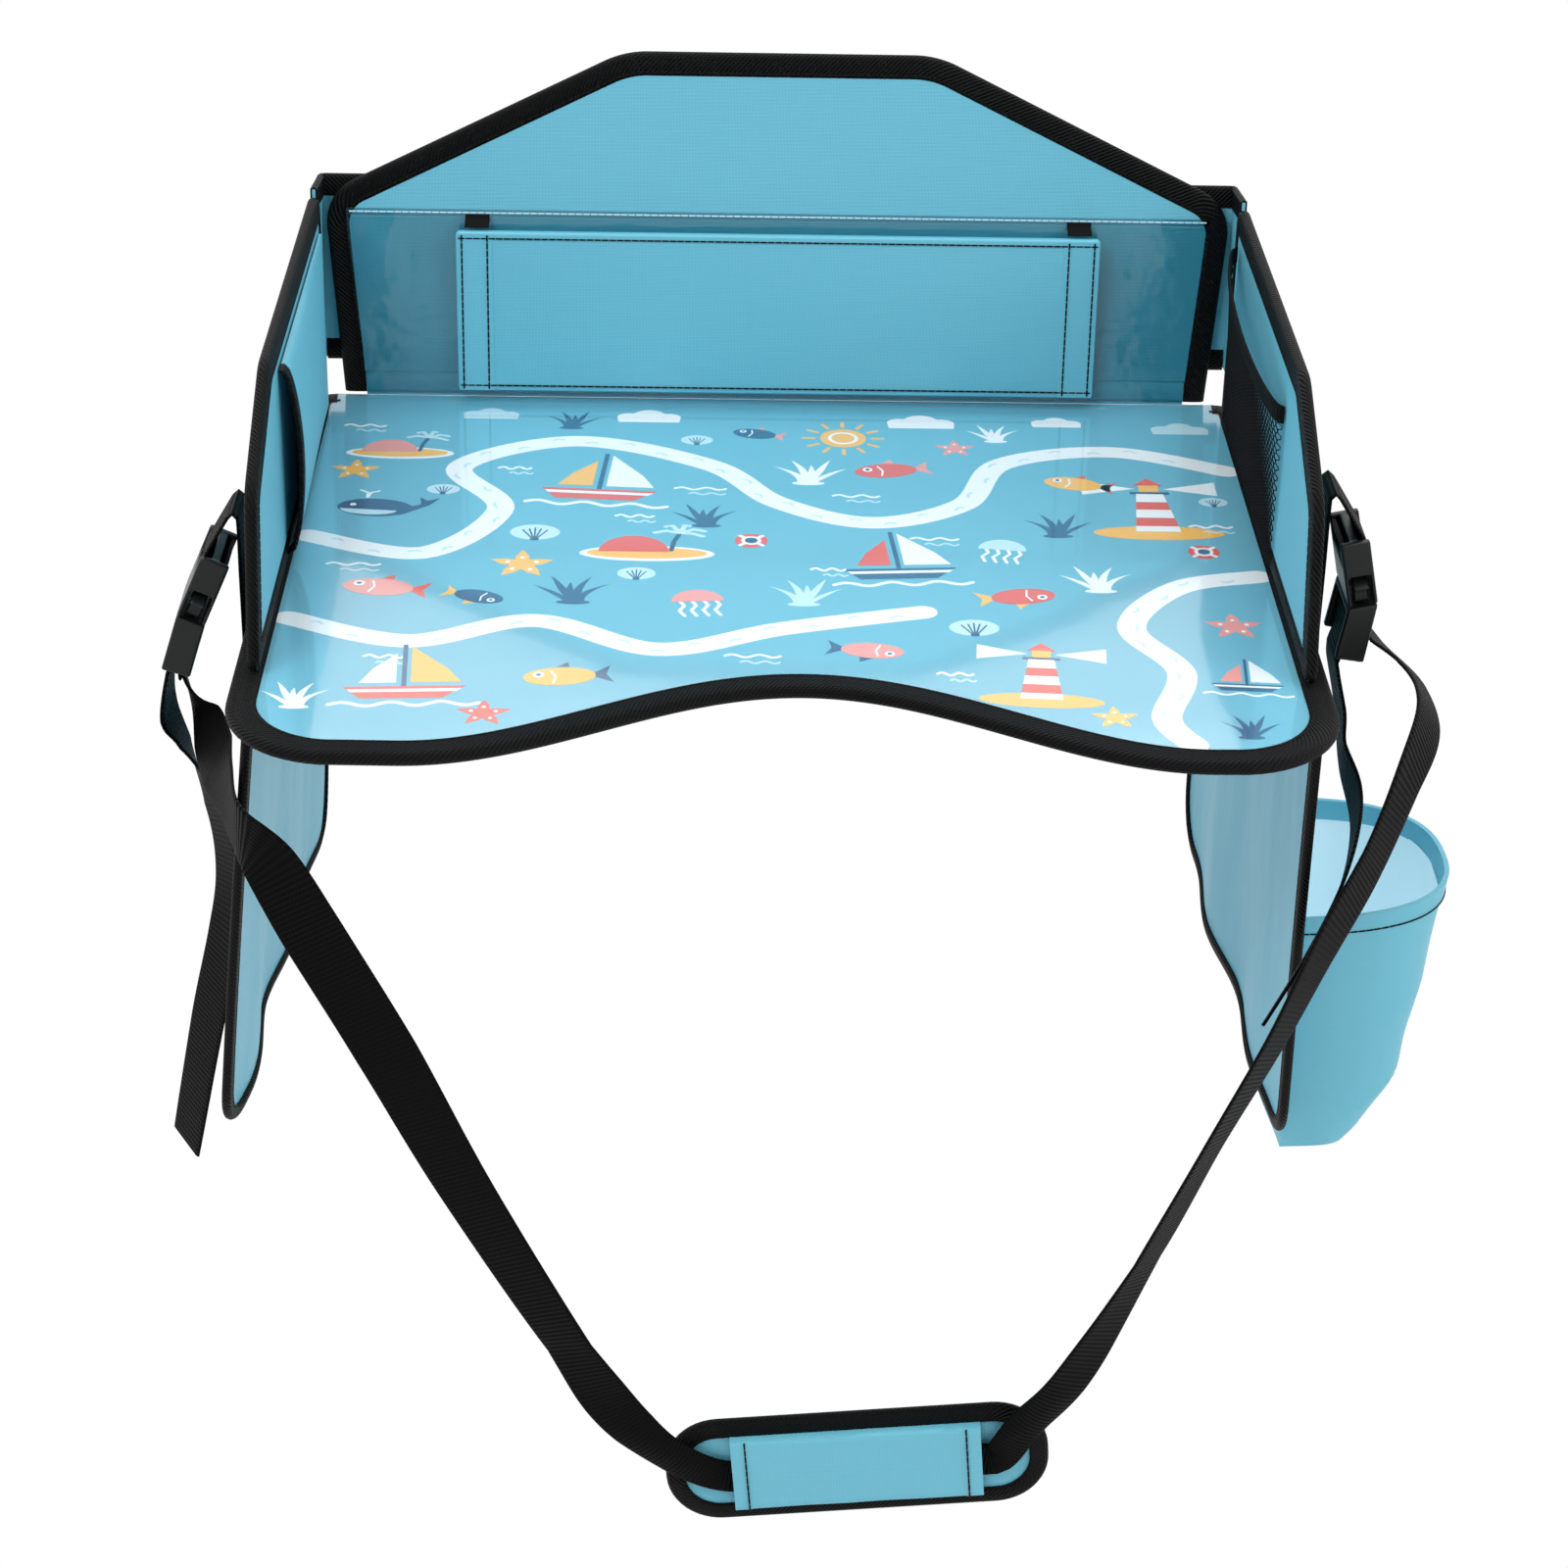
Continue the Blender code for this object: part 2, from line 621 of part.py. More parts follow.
def side_corners():
    rear = BACK_EDGE - SIDE_REAR_INSET
    return [
        (rear, SEAM_GAP, SIDE_TOE_RADIUS / 2),
        (rear, SIDE_HEIGHT, SIDE_REAR_RADIUS),
        (SIDE_CREST, SIDE_HEIGHT, SIDE_CREST_RADIUS),
        (SIDE_SHOULDER, SIDE_SHOULDER_HEIGHT, SIDE_SHOULDER_RADIUS),
        (SIDE_TOE, SEAM_GAP, SIDE_TOE_RADIUS),
    ]


def build_side(name, side):
    hinge = axis_empty(name + "_side_hinge", (side * SIDE_HINGE, 0, HINGE_HEIGHT))
    turn = Matrix.Translation((side * SIDE_STACK / 2, 0, 0)) @ SIDEWAYS
    names = ("side_board", "side_lining", "side_outer", "side_binding")
    panel(name, names, side_corners(), SIDE_BOARD_THICKNESS, turn, hinge, -side)
    if side < 0:
        build_cloth_pocket(name, side, hinge)
    else:
        build_net(name, side, hinge)


def net_ends():
    return NET_FRONT, BACK_EDGE - SIDE_REAR_INSET - NET_REAR_INSET


def net_bow(y, up):
    """How far the pocket stands off the panel: it bows out towards its top and its middle."""
    front, rear = net_ends()
    along = min(max((y - front) / (rear - front), 0), 1)
    return NET_FIRST_GAP + NET_BOW * max(up, 0) * sqrt(max(sin(pi * along), 0))


def net_crown(y):
    """The height of the pocket's top edge, which falls evenly towards the front."""
    front, rear = net_ends()
    return NET_TOP - (NET_TOP - NET_FRONT_TOP) * (rear - y) / (rear - front)


def net_grid(name, low, high, columns, rows):
    """A grid in the panel's plane. Low and high are heights at the pocket's back end."""
    front, rear = net_ends()
    mesh = bpy.data.meshes.new(name)
    bm = bmesh.new()
    bmesh.ops.create_grid(bm, x_segments=columns, y_segments=rows, size=1)
    for v in bm.verts:
        y = front + (rear - front) * (v.co.x + 1) / 2
        fall = NET_TOP - net_crown(y)
        foot = low - fall if low > NET_FOOT else NET_FOOT
        v.co = (0, y, foot + (high - fall - foot) * (v.co.y + 1) / 2)
    bm.to_mesh(mesh)
    bm.free()
    return bpy.data.objects.new(name, mesh)


def build_net(name, side, hinge):
    band_foot = NET_TOP - NET_ELASTIC_HEIGHT
    net_top = band_foot - SEAM_GAP - NET_WIRE
    net = net_grid(name + "_mesh_pocket", NET_FOOT, net_top, NET_CELLS_LONG, NET_CELLS_HIGH)
    wire = net.modifiers.new("net", "WIREFRAME")
    wire.thickness = NET_WIRE
    wire.use_boundary = True
    wire.use_even_offset = False
    band = net_grid(name + "_pocket_elastic", band_foot, NET_TOP, NET_CELLS_LONG, 1)
    shell = band.modifiers.new("band", "SOLIDIFY")
    shell.thickness = NET_WIRE
    shell.offset = 0
    for piece, finish in ((net, "elastic_black"), (band, "elastic_black")):
        solid = solid_mesh(piece)
        for v in solid.data.vertices:
            up = (v.co.z - NET_FOOT) / (net_crown(v.co.y) - NET_FOOT)
            v.co.x -= side * (net_bow(v.co.y, up) + NET_WIRE / 2)
        place(turn_out(solid), hinge, finish)


def cloth_pocket_bow(y, z):
    """How far the cloth pocket stands off the panel: most at the middle of its open front edge."""
    front, rear = net_ends()
    along = min(max((y - front) / (rear - front), 0), 1)
    up = (z - NET_FOOT) / (NET_TOP - NET_FOOT)
    return NET_FIRST_GAP + CLOTH_POCKET_BOW * cos(pi / 2 * along) * sqrt(max(sin(pi * up), 0))


def pocket_sheet(name, front, rear, thickness):
    """A sheet in the panel's plane from the pocket's foot to its head."""
    mesh = bpy.data.meshes.new(name)
    bm = bmesh.new()
    columns = max(1, round((rear - front) / CLOTH_POCKET_STEP))
    rows = round((NET_TOP - NET_FOOT) / CLOTH_POCKET_STEP)
    bmesh.ops.create_grid(bm, x_segments=columns, y_segments=rows, size=1)
    for v in bm.verts:
        along = (v.co.x + 1) / 2
        up = (v.co.y + 1) / 2
        v.co = (0, front + (rear - front) * along, NET_FOOT + (NET_TOP - NET_FOOT) * up)
    bm.to_mesh(mesh)
    bm.free()
    obj = bpy.data.objects.new(name, mesh)
    shell = obj.modifiers.new("cloth", "SOLIDIFY")
    shell.thickness = thickness
    shell.offset = 0
    return solid_mesh(obj)


def build_cloth_pocket(name, side, hinge):
    """Cloth sewn down at its foot, head and rear, with a bound mouth in front."""
    front, rear = net_ends()
    mouth = front + NET_ELASTIC_HEIGHT
    cloth = pocket_sheet(name + "_cloth_pocket", mouth + SEAM_GAP, rear, FABRIC_THICKNESS)
    band = pocket_sheet(name + "_pocket_binding", front, mouth, NET_WIRE)
    for piece, finish in ((cloth, "fabric_blue"), (band, "webbing_black")):
        for v in piece.data.vertices:
            v.co.x -= side * (cloth_pocket_bow(v.co.y, v.co.z) + NET_WIRE / 2)
        place(turn_out(piece), hinge, finish)


# Flaps and the cup pouch


def flap_fold(y, z, side):
    """Soft upright folds that grow from nothing at the seam to the hem."""
    down = min(max(-z / FLAP_FRONT_HEIGHT, 0), 1)
    phase = 2 * pi * y / FLAP_FOLD_LENGTH
    sway = LEFT_REAR_SWAY if side < 0 else RIGHT_REAR_SWAY
    front = FLAP_FRONT_INSET - TRAY_DEPTH / 2
    rearward = sin(pi / 2 * min(max((y - front) / (BACK_EDGE - front), 0), 1))
    main_fold = MAIN_FOLD_SHARE * sin(phase + side)
    slow_fold = (1 - MAIN_FOLD_SHARE) * sin(phase / 2 + 2 * side)
    return down * (FLAP_FOLD * (main_fold + slow_fold) - side * sway * rearward)


def flap_edges():
    """Front, hem and rear edge of a flap, as one open outline from the front seam round to the rear seam."""
    front = FLAP_FRONT_INSET - TRAY_DEPTH / 2
    rear = BACK_EDGE - FLAP_REAR_INSET
    top = -SEAM_GAP
    corners = rounded([
        (front, top, 0),
        (front + FLAP_FRONT_SLANT, -FLAP_FRONT_HEIGHT, FLAP_RADIUS),
        (rear, -FLAP_REAR_HEIGHT, FLAP_RADIUS),
        (rear, top, 0),
    ], 5)
    points = []
    for a, b in zip(corners, corners[1:]):
        steps = max(1, round((b - a).length / FLAP_COLUMN))
        points += [a.lerp(b, k / steps) for k in range(steps)]
    return points + [corners[-1]]


def build_flap(name, side):
    splay = LEFT_FLAP_SPLAY if side < 0 else RIGHT_FLAP_SPLAY
    drop = SEAM_GAP + FLAP_STACK * sin(splay)
    hinge = axis_empty(name + "_flap_hinge", (side * FLAP_HINGE, 0, -drop), (0, -side * splay, 0))
    edge = flap_edges()
    middle = side * FLAP_STACK / 2
    tape = binding(name + "_flap_binding", edge, FLAP_BINDING_WIDTH, FLAP_BINDING_WALL,
                   FLAP_CLOTH + 2 * FLAP_SLACK, False)
    cloth = flap_cloth(name + "_flap_cloth")
    for piece, finish in ((cloth, "fabric_blue"), (tape, "webbing_black")):
        laid(piece, SIDEWAYS)
        for v in piece.data.vertices:
            v.co.x += middle + flap_fold(v.co.y, v.co.z, side)
        place(turn_out(piece), hinge, finish)
    return hinge


def flap_cloth(name):
    """The cloth inside the tape: a grid whose columns end on the inset outline."""
    columns = round((TRAY_DEPTH - FLAP_FRONT_INSET - FLAP_REAR_INSET) / FLAP_COLUMN)
    rows = round(FLAP_FRONT_HEIGHT / FLAP_COLUMN / 2)
    mesh = bpy.data.meshes.new(name)
    bm = bmesh.new()
    bmesh.ops.create_grid(bm, x_segments=columns, y_segments=rows, size=1)
    inset_edge = FLAP_BINDING_WALL + 2 * FLAP_SLACK
    for v in bm.verts:
        down = (1 - v.co.y) / 2
        along = (v.co.x + 1) / 2
        v.co = flap_point(along, down, inset_edge)
    bm.to_mesh(mesh)
    bm.free()
    obj = bpy.data.objects.new(name, mesh)
    shell = obj.modifiers.new("cloth", "SOLIDIFY")
    shell.thickness = FLAP_CLOTH
    shell.offset = 0
    return solid_mesh(obj)


def flap_point(along, down, margin):
    """A place on the flap from two shares: along from front to rear, and down from seam to hem."""
    front = FLAP_FRONT_INSET - TRAY_DEPTH / 2 + margin
    rear = BACK_EDGE - FLAP_REAR_INSET - margin
    slant = FLAP_FRONT_SLANT
    near = FLAP_RADIUS
    reach = rear - near - front - slant
    share = (near + (reach - near) * along) / (reach + near)
    hem = FLAP_FRONT_HEIGHT + (FLAP_REAR_HEIGHT - FLAP_FRONT_HEIGHT) * share - margin
    depth = hem * down
    left = front + slant * depth / FLAP_FRONT_HEIGHT
    over = max(depth - (hem - near), 0)
    bite = near - sqrt(max(near * near - over * over, 0))
    left += bite
    right = rear - bite
    top = SEAM_GAP
    return Vector((left + (right - left) * along, -top - (depth * (1 - top / hem)), 0))


def cup_ring(down, steps=9, back_steps=7):
    """One ring of the pouch: flat against the flap, round outside, and squarer and smaller lower down."""
    width = CUP_WIDTH / 2 * (1 + (CUP_FOOT_WIDTH_SHARE - 1) * down)
    reach = CUP_REACH * (1 + (CUP_FOOT_REACH_SHARE - 1) * down)
    power = 2 / (CUP_SQUARENESS_SHARE * (1 + down))
    points = []
    for k in range(steps + 1):
        a = pi * k / steps
        across = -cos(a)
        out = sin(a)
        y = abs(across) ** power * (1 if across > 0 else -1) * width
        points.append(Vector((abs(out) ** power * reach, y)))
    back = [Vector((0, width * (1 - 2 * k / back_steps))) for k in range(1, back_steps)]
    return points + back


def cup_shell(name, top_share, foot_share, wall, floor, rows):
    """A lofted wall, open at its top, with a floor where it has one, and thickened inwards."""
    mesh = bpy.data.meshes.new(name)
    bm = bmesh.new()
    rings = []
    for r in range(rows + 1):
        down = top_share + (foot_share - top_share) * r / rows
        ring = cup_ring(down)
        z = -CUP_HEIGHT * down
        rings.append([bm.verts.new((p.x, p.y, z)) for p in ring])
    count = len(rings[0])
    for upper, lower in zip(rings, rings[1:]):
        for i in range(count):
            j = (i + 1) % count
            bm.faces.new((upper[i], upper[j], lower[j], lower[i]))
    if floor:
        bm.faces.new(rings[-1])
    bmesh.ops.recalc_face_normals(bm, faces=bm.faces)
    bm.to_mesh(mesh)
    bm.free()
    obj = bpy.data.objects.new(name, mesh)
    shell = obj.modifiers.new("wall", "SOLIDIFY")
    shell.thickness = wall
    shell.offset = -1
    shell.use_even_offset = True
    return solid_mesh(obj)


def build_cup(hinge):
    """The pouch follows the folds of the flap that it is sewn to."""
    spot = Matrix.Translation((FLAP_STACK + CUP_CLEARANCE, -CUP_CENTRE, -CUP_DROP))
    hem_share = CUP_HEM_HEIGHT / CUP_HEIGHT
    pouch = cup_shell("cup_pouch", hem_share + SEAM_GAP / CUP_HEIGHT, 1, CUP_WALL, True, 6)
    hem = cup_shell("cup_hem", 0, hem_share, CUP_HEM_THICKNESS, False, 1)
    for piece in (pouch, hem):
        laid(piece, spot)
        for v in piece.data.vertices:
            v.co.x += flap_fold(v.co.y, v.co.z, 1)
        place(piece, hinge, "fabric_blue")


# Webbing


def smooth_route(stations, spacing):
    """Points and face directions along a smooth curve through the stations."""
    points = [s[0] for s in stations]
    normals = [s[1] for s in stations]
    made = []
    last = len(points) - 1
    for i in range(last):
        p0 = points[max(i - 1, 0)]
        p1, p2 = points[i], points[i + 1]
        p3 = points[min(i + 2, last)]
        steps = max(1, round((p2 - p1).length / spacing)) if spacing else 1
        for k in range(steps):
            t = k / steps
            spot = (2 * p1 + (p2 - p0) * t + (2 * p0 - 5 * p1 + 4 * p2 - p3) * t * t
                    + (3 * p1 - 3 * p2 + p3 - p0) * t ** 3) / 2
            made.append((spot, normals[i].lerp(normals[i + 1], t).normalized()))
    made.append((points[-1], normals[-1]))
    return made


def webbing(name, stations, width, thickness, spacing):
    """A flat strap along its stations, each a place and the way the strap's face looks there."""
    route = smooth_route(stations, spacing)
    mesh = bpy.data.meshes.new(name)
    bm = bmesh.new()
    rows = []
    for i, (spot, normal) in enumerate(route):
        ahead = route[min(i + 1, len(route) - 1)][0] - route[max(i - 1, 0)][0]
        across = normal.cross(ahead.normalized()).normalized() * (width / 2)
        rows.append([bm.verts.new(spot - across), bm.verts.new(spot + across)])
    for a, b in zip(rows, rows[1:]):
        bm.faces.new((a[0], a[1], b[1], b[0]))
    bm.to_mesh(mesh)
    bm.free()
    obj = bpy.data.objects.new(name, mesh)
    shell = obj.modifiers.new("webbing", "SOLIDIFY")
    shell.thickness = thickness
    shell.offset = 0
    return turn_out(solid_mesh(obj))


# Buckles. In a buckle's own frame +X points away from the tray and the buckle runs down -Z


def buckle_place(side):
    across, height = LEFT_BAR_PLACE if side < 0 else RIGHT_BAR_PLACE
    lean = LEFT_SOCKET_LEAN if side < 0 else RIGHT_SOCKET_LEAN
    origin = Matrix.Translation((side * (TRAY_WIDTH / 2 + across), -BUCKLE_PLACE, height))
    return origin @ Matrix.Rotation(-side * lean, 4, "Y")


def clip_bend(side):
    """The clip's outer half turns back towards the tray at the socket's mouth, as a curved buckle does."""
    bend = LEFT_CLIP_BEND if side < 0 else RIGHT_CLIP_BEND
    mouth = Matrix.Translation((0, 0, -SOCKET_END))
    return mouth @ Matrix.Rotation(side * bend, 4, "Y") @ mouth.inverted()


def softened(obj):
    """Moulded edges: a small bevel on the outer edges."""
    bevel = obj.modifiers.new("moulded_edge", "BEVEL")
    bevel.width = MOULDED_EDGE
    bevel.segments = 1
    bevel.limit_method = "ANGLE"
    return solid_mesh(obj)


def shaped(obj, parent, steps, turn=Matrix.Identity(4)):
    """Cuts and joins blocks one after another. Each step is a name, an operation and two corners."""
    for name, operation, low, high in steps:
        tool = laid(block(obj.name + name, low, high), turn)
        tool.parent = parent
        boolean(obj, tool, operation)


def build_socket(name, parent):
    half = BUCKLE_WIDTH / 2
    deep = BUCKLE_THICKNESS / 2
    far = deep + BAR_SIZE
    bar = BAR_DEPTH / 2
    gate = WEBBING_WIDTH / 2 + 3 * SEAM_GAP
    grip = gate + BAR_ROOT
    room = deep - SOCKET_WALL
    inner = half - SOCKET_RIM
    below = -SOCKET_END - BAR_SIZE
    wide = room + SEAM_GAP
    past = half + bar
    socket = softened(block(name + "_buckle_socket", (-deep, -half, -SOCKET_END), (deep, half, bar)))
    place(socket, parent, "buckle_black")
    shaped(socket, parent, (
        ("_gate", "DIFFERENCE", (-far, -gate, -bar - SLOT_HEIGHT), (far, gate, far)),
        ("_bar", "UNION", (-BAR_SIZE / 2, -grip, SEAM_GAP - bar), (BAR_SIZE / 2, grip, bar - SEAM_GAP)),
        ("_cavity", "DIFFERENCE", (-room, -inner, below), (room, inner, -SOCKET_ROOF)),
        ("_window", "DIFFERENCE", (-wide, -past, below), (wide, past, -WINDOW_TOP)),
    ))


def build_clip(name, side, parent):
    deep = CLIP_THICKNESS / 2
    top = -SOCKET_END - SEAM_GAP
    bend = clip_bend(side)
    feet = [bend @ Vector((x, 0, -CLIP_END)) for x in (-deep, deep)]
    outline = [Vector((-deep, top))] + [Vector((foot.x, foot.z)) for foot in feet] + [Vector((deep, top))]
    clip = softened(laid(sheet(name + "_buckle_clip", outline, BUCKLE_WIDTH), UPRIGHT))
    place(clip, parent, "buckle_black")
    gate = WEBBING_WIDTH / 2 + 3 * SEAM_GAP
    grip = gate + BAR_ROOT
    thin = CLIP_BAR_THICKNESS / 2
    far = deep + BAR_SIZE
    first = -CLIP_SLOT_TOP
    bar_top = first - CLIP_SLOT_HEIGHT
    bar_foot = bar_top - CLIP_BAR_DEPTH
    foot_top = bar_foot - CLIP_SLOT_HEIGHT
    shaped(clip, parent, (
        ("_gate", "DIFFERENCE", (-far, -gate, -CLIP_END - far), (far, gate, first)),
        ("_bar", "UNION", (-thin, -grip, bar_foot), (thin, grip, bar_top)),
        ("_foot_bar", "UNION", (-thin, -grip, SEAM_GAP - CLIP_END), (thin, grip, foot_top)),
    ), bend)
    slim = TONGUE_THICKNESS / 2
    tongue_low = (-slim, -TONGUE_WIDTH / 2, top - BAR_ROOT)
    shaped(clip, parent, (("_tongue", "UNION", tongue_low, (slim, TONGUE_WIDTH / 2, -TONGUE_TIP)),))


# The prong's side view: across as shares of half its arm or of its hook's reach, up as shares of its length
PRONG_ARM_SHARES = ((-1, 0), (1, 0), (1, 0.45))
PRONG_HOOK_SHARES = ((1, 0.62), (1, 0.70))
PRONG_NOSE_SHARES = ((0.4, 1), (-1, 1))


def build_prong(name, end, parent):
    """One sprung arm. Its origin is at its root, where it bends."""
    pivot = bpy.data.objects.new(name + "_pivot", None)
    PARTS.objects.link(pivot)
    pivot.parent = parent
    root = SOCKET_END + SEAM_GAP
    pivot.location = (0, end * PRONG_PIVOT, -root + 2 * SEAM_GAP)
    reach = root - PRONG_TIP - 2 * SEAM_GAP
    arm = PRONG_ARM / 2
    hook = PRONG_HOOK - PRONG_PIVOT
    outline = [(arm * y, reach * z) for y, z in PRONG_ARM_SHARES]
    outline += [(hook * y, reach * z) for y, z in PRONG_HOOK_SHARES]
    outline += [(arm * y, reach * z) for y, z in PRONG_NOSE_SHARES]
    points = [Vector((end * y, z)) for y, z in outline]
    points = points if end > 0 else list(reversed(points))
    prong = turn_out(laid(sheet(name, points, PRONG_THICKNESS), SIDEWAYS))
    place(prong, pivot, "buckle_black")


def loop_stations(bar, radius, first, last, steps):
    """A turn of webbing round a bar, from one angle to another, in the buckle's own frame."""
    made = []
    for k in range(steps + 1):
        a = first + (last - first) * k / steps
        away = Vector((cos(a), 0, sin(a)))
        made.append((bar + away * radius, away))
    return made


def in_world(stations, matrix, side):
    """Stations of the buckle's frame in world places, mirrored for the left side."""
    turn = matrix.to_3x3()
    made = []
    for spot, normal in stations:
        spot = Vector((side * spot.x, spot.y, spot.z))
        normal = Vector((side * normal.x, normal.y, normal.z))
        made.append((matrix @ spot, (turn @ normal).normalized()))
    return made


def build_anchor(name, side, frame):
    """Webbing sewn in the tray's side seam, up beside the panel, over and down round the socket's bar."""
    radius = sqrt(BAR_SIZE ** 2 + BAR_DEPTH ** 2) / 2 + SEAM_GAP + WEBBING_THICKNESS / 2
    turn = loop_stations(Vector((0, 0, 0)), radius, 0, -pi, 9)
    turn.append((Vector((-radius, 0, ANCHOR_END)), Vector((-1, 0, 0))))
    face = TRAY_WIDTH / 2 + ANCHOR_GAP + WEBBING_THICKNESS / 2
    crown = frame.to_translation().z + ANCHOR_RISE
    leg = [(face, -ANCHOR_TAIL, -1, 0), (face, 0, -1, 0), (face, crown / 2, -1, 0),
           (face, crown - ANCHOR_FOLD, -1, 0), (face + ANCHOR_FOLD, crown, 0, 1),
           (face + 2 * ANCHOR_FOLD, crown - ANCHOR_FOLD, 1, 0)]
    stations = [(Vector((side * x, -BUCKLE_PLACE, z)), Vector((side * nx, 0, nz))) for x, z, nx, nz in leg]
    stations += in_world(turn, frame, side)
    strap = webbing(name + "_anchor_webbing", stations, WEBBING_WIDTH, WEBBING_THICKNESS, STRAP_SPACING)
    place(strap, None, "webbing_black")


def clip_turn(frame, side):
    """The webbing's turn over the clip's first bar. The left strap comes up the clip's inner face and the
    right one from outside, and each tail goes down the other face."""
    bar = Vector((0, 0, -CLIP_SLOT_TOP - CLIP_SLOT_HEIGHT))
    radius = CLIP_BAR_THICKNESS / 2 + 2 * SEAM_GAP + WEBBING_THICKNESS / 2
    first, last = (pi, 0) if side < 0 else (0, pi)
    turn = loop_stations(bar, radius, first, last, 5)
    feet = (-CLIP_END - STRAP_LEAD, -CLIP_END)
    inner = [(Vector((-radius, 0, z)), Vector((-1, 0, 0))) for z in feet]
    outer = [(Vector((radius, 0, z)), Vector((1, 0, 0))) for z in feet]
    if side < 0:
        stations = inner + turn + outer[::-1]
    else:
        way_out = Vector((CLIP_THICKNESS, 0, -CLIP_THICKNESS))
        stations = [(bar + way_out, Vector((1, 0, 1)).normalized())] + turn + inner[::-1]
    return in_world(stations, frame @ clip_bend(side), side)


# The straps' routes, from the pad to the clip and on to the tail's end. Each place is a share of half the
# panels' span, of the strap's reach in front at the pad and of the pad's drop, with the way its face looks
LEFT_RUN_SHARES = (
    ((-0.27, -1.025, -0.93), (0, 1, 0)),
    ((-0.395, -1.03, -0.80), (0.35, 0.85, 0.35)),
    ((-0.59, -1.00, -0.57), (0.2, 0.95, 0.15)),
    ((-0.73, -1.00, -0.37), (0, 1, 0)),
    ((-0.855, -0.99, -0.21), (0, 1, 0)),
    ((-0.93, -0.96, -0.125), (0.2, 1, 0)),
    ((-0.99, -0.90, -0.10), (0.6, 0.8, 0)),
    ((-1.035, -0.70, -0.11), (0.95, 0.3, 0)),
    ((-1.08, -0.48, -0.135), (1, 0.1, 0)),
    ((-1.12, -0.33, -0.13), (1, 0, 0)),
)
LEFT_TAIL_SHARES = (
    ((-1.20, -0.265, -0.13), (-1, 0, 0)),
    ((-1.17, -0.275, -0.175), (-1, -0.1, 0)),
    ((-1.115, -0.32, -0.25), (-1, -0.5, 0)),
    ((-1.09, -0.36, -0.33), (-1, -0.6, 0)),
    ((-1.10, -0.40, -0.42), (-1, -0.7, 0)),
    ((-1.145, -0.41, -0.555), (-1, -0.7, 0)),
    ((-1.20, -0.42, -0.735), (-1, -0.6, 0)),
)
RIGHT_RUN_SHARES = (
    ((0.50, -1.02, -0.92), (0, -1, 0)),
    ((0.585, -1.045, -0.83), (0.35, -0.85, -0.35)),
    ((0.715, -1.00, -0.67), (0.6, -0.6, -0.5)),
    ((0.82, -1.00, -0.50), (0.89, -0.21, -0.40)),
    ((0.93, -0.95, -0.36), (0.8, -0.45, 0)),
    ((1.02, -0.87, -0.25), (0.5, -0.75, 0.3)),
    ((1.11, -0.76, -0.17), (0.4, -0.8, 0.4)),
    ((1.18, -0.65, -0.09), (0.4, -0.75, 0.5)),
    ((1.235, -0.50, -0.05), (0.6, -0.5, 0.6)),
    ((1.22, -0.36, -0.03), (0.8, -0.1, 0.6)),
)
RIGHT_TAIL_SHARES = (
    ((1.10, -0.30, -0.10), (-1, 0, 0)),
    ((1.105, -0.35, -0.15), (-0.95, 0.1, 0.2)),
    ((1.12, -0.48, -0.19), (-0.89, 0.21, 0.40)),
    ((1.075, -0.68, -0.22), (-0.89, 0.21, 0.40)),
    ((1.00, -0.80, -0.285), (-0.89, 0.21, 0.40)),
    ((0.92, -0.855, -0.37), (-0.89, 0.21, 0.40)),
)


def from_shares(shares):
    made = []
    for spot, normal in shares:
        across, forward, up = spot
        here = Vector((across * PANEL_SPAN / 2, forward * STRAP_FORWARD, up * PAD_DROP))
        made.append((here, Vector(normal).normalized()))
    return made


def pad_frame():
    """The pad's own frame: X along it, Y up it and Z to the front."""
    spot = Matrix.Translation((PAD_ACROSS, -PAD_FORWARD, -PAD_DROP))
    return spot @ Matrix.Rotation(-PAD_TILT, 4, "Y") @ UPRIGHT


def pad_stations(side):
    """The stretch of strap that lies in the pad's sleeve."""
    frame = pad_frame()
    toward = (frame.to_3x3() @ Vector((0, 0, side))).normalized()
    start = LEFT_STRAP_START if side < 0 else RIGHT_STRAP_START
    mouth = side * (SLEEVE_LENGTH / 2 + STRAP_LEAD)
    return [(frame @ Vector((x, 0, STRAP_LAYER)), toward) for x in (start, (start + mouth) / 2, mouth)]


def build_strap(name, side, parent_frame):
    run = LEFT_RUN_SHARES if side < 0 else RIGHT_RUN_SHARES
    tail = LEFT_TAIL_SHARES if side < 0 else RIGHT_TAIL_SHARES
    stations = pad_stations(side) + from_shares(run)
    stations += clip_turn(parent_frame, side) + from_shares(tail)
    strap = webbing(name + "_strap", stations, WEBBING_WIDTH, WEBBING_THICKNESS, STRAP_SPACING)
    place(strap, None, "webbing_black")


# Shoulder pad


def pad_outline(margin=0):
    length = PAD_LENGTH / 2
    height = PAD_HEIGHT / 2
    turn = PAD_HEIGHT * PAD_END_SHARE
    return rounded([(-length, -height, turn), (length, -height, turn), (length, height, turn),
                    (-length, height, turn)], 5, margin)


def build_pad():
    frame = pad_frame()
    place(laid(sheet("pad_backing", pad_outline(BOARD_INSET), PAD_CORE), frame), None, "fabric_blue")
    tape = binding("pad_binding", pad_outline(), PAD_BINDING_WIDTH, BINDING_WALL, PAD_CORE + 2 * SEAM_GAP)
    place(laid(tape, frame), None, "webbing_black")
    place(laid(pad_cushion(), frame), None, "fabric_blue")
    place(laid(pad_sleeve(), frame), None, "fabric_blue")


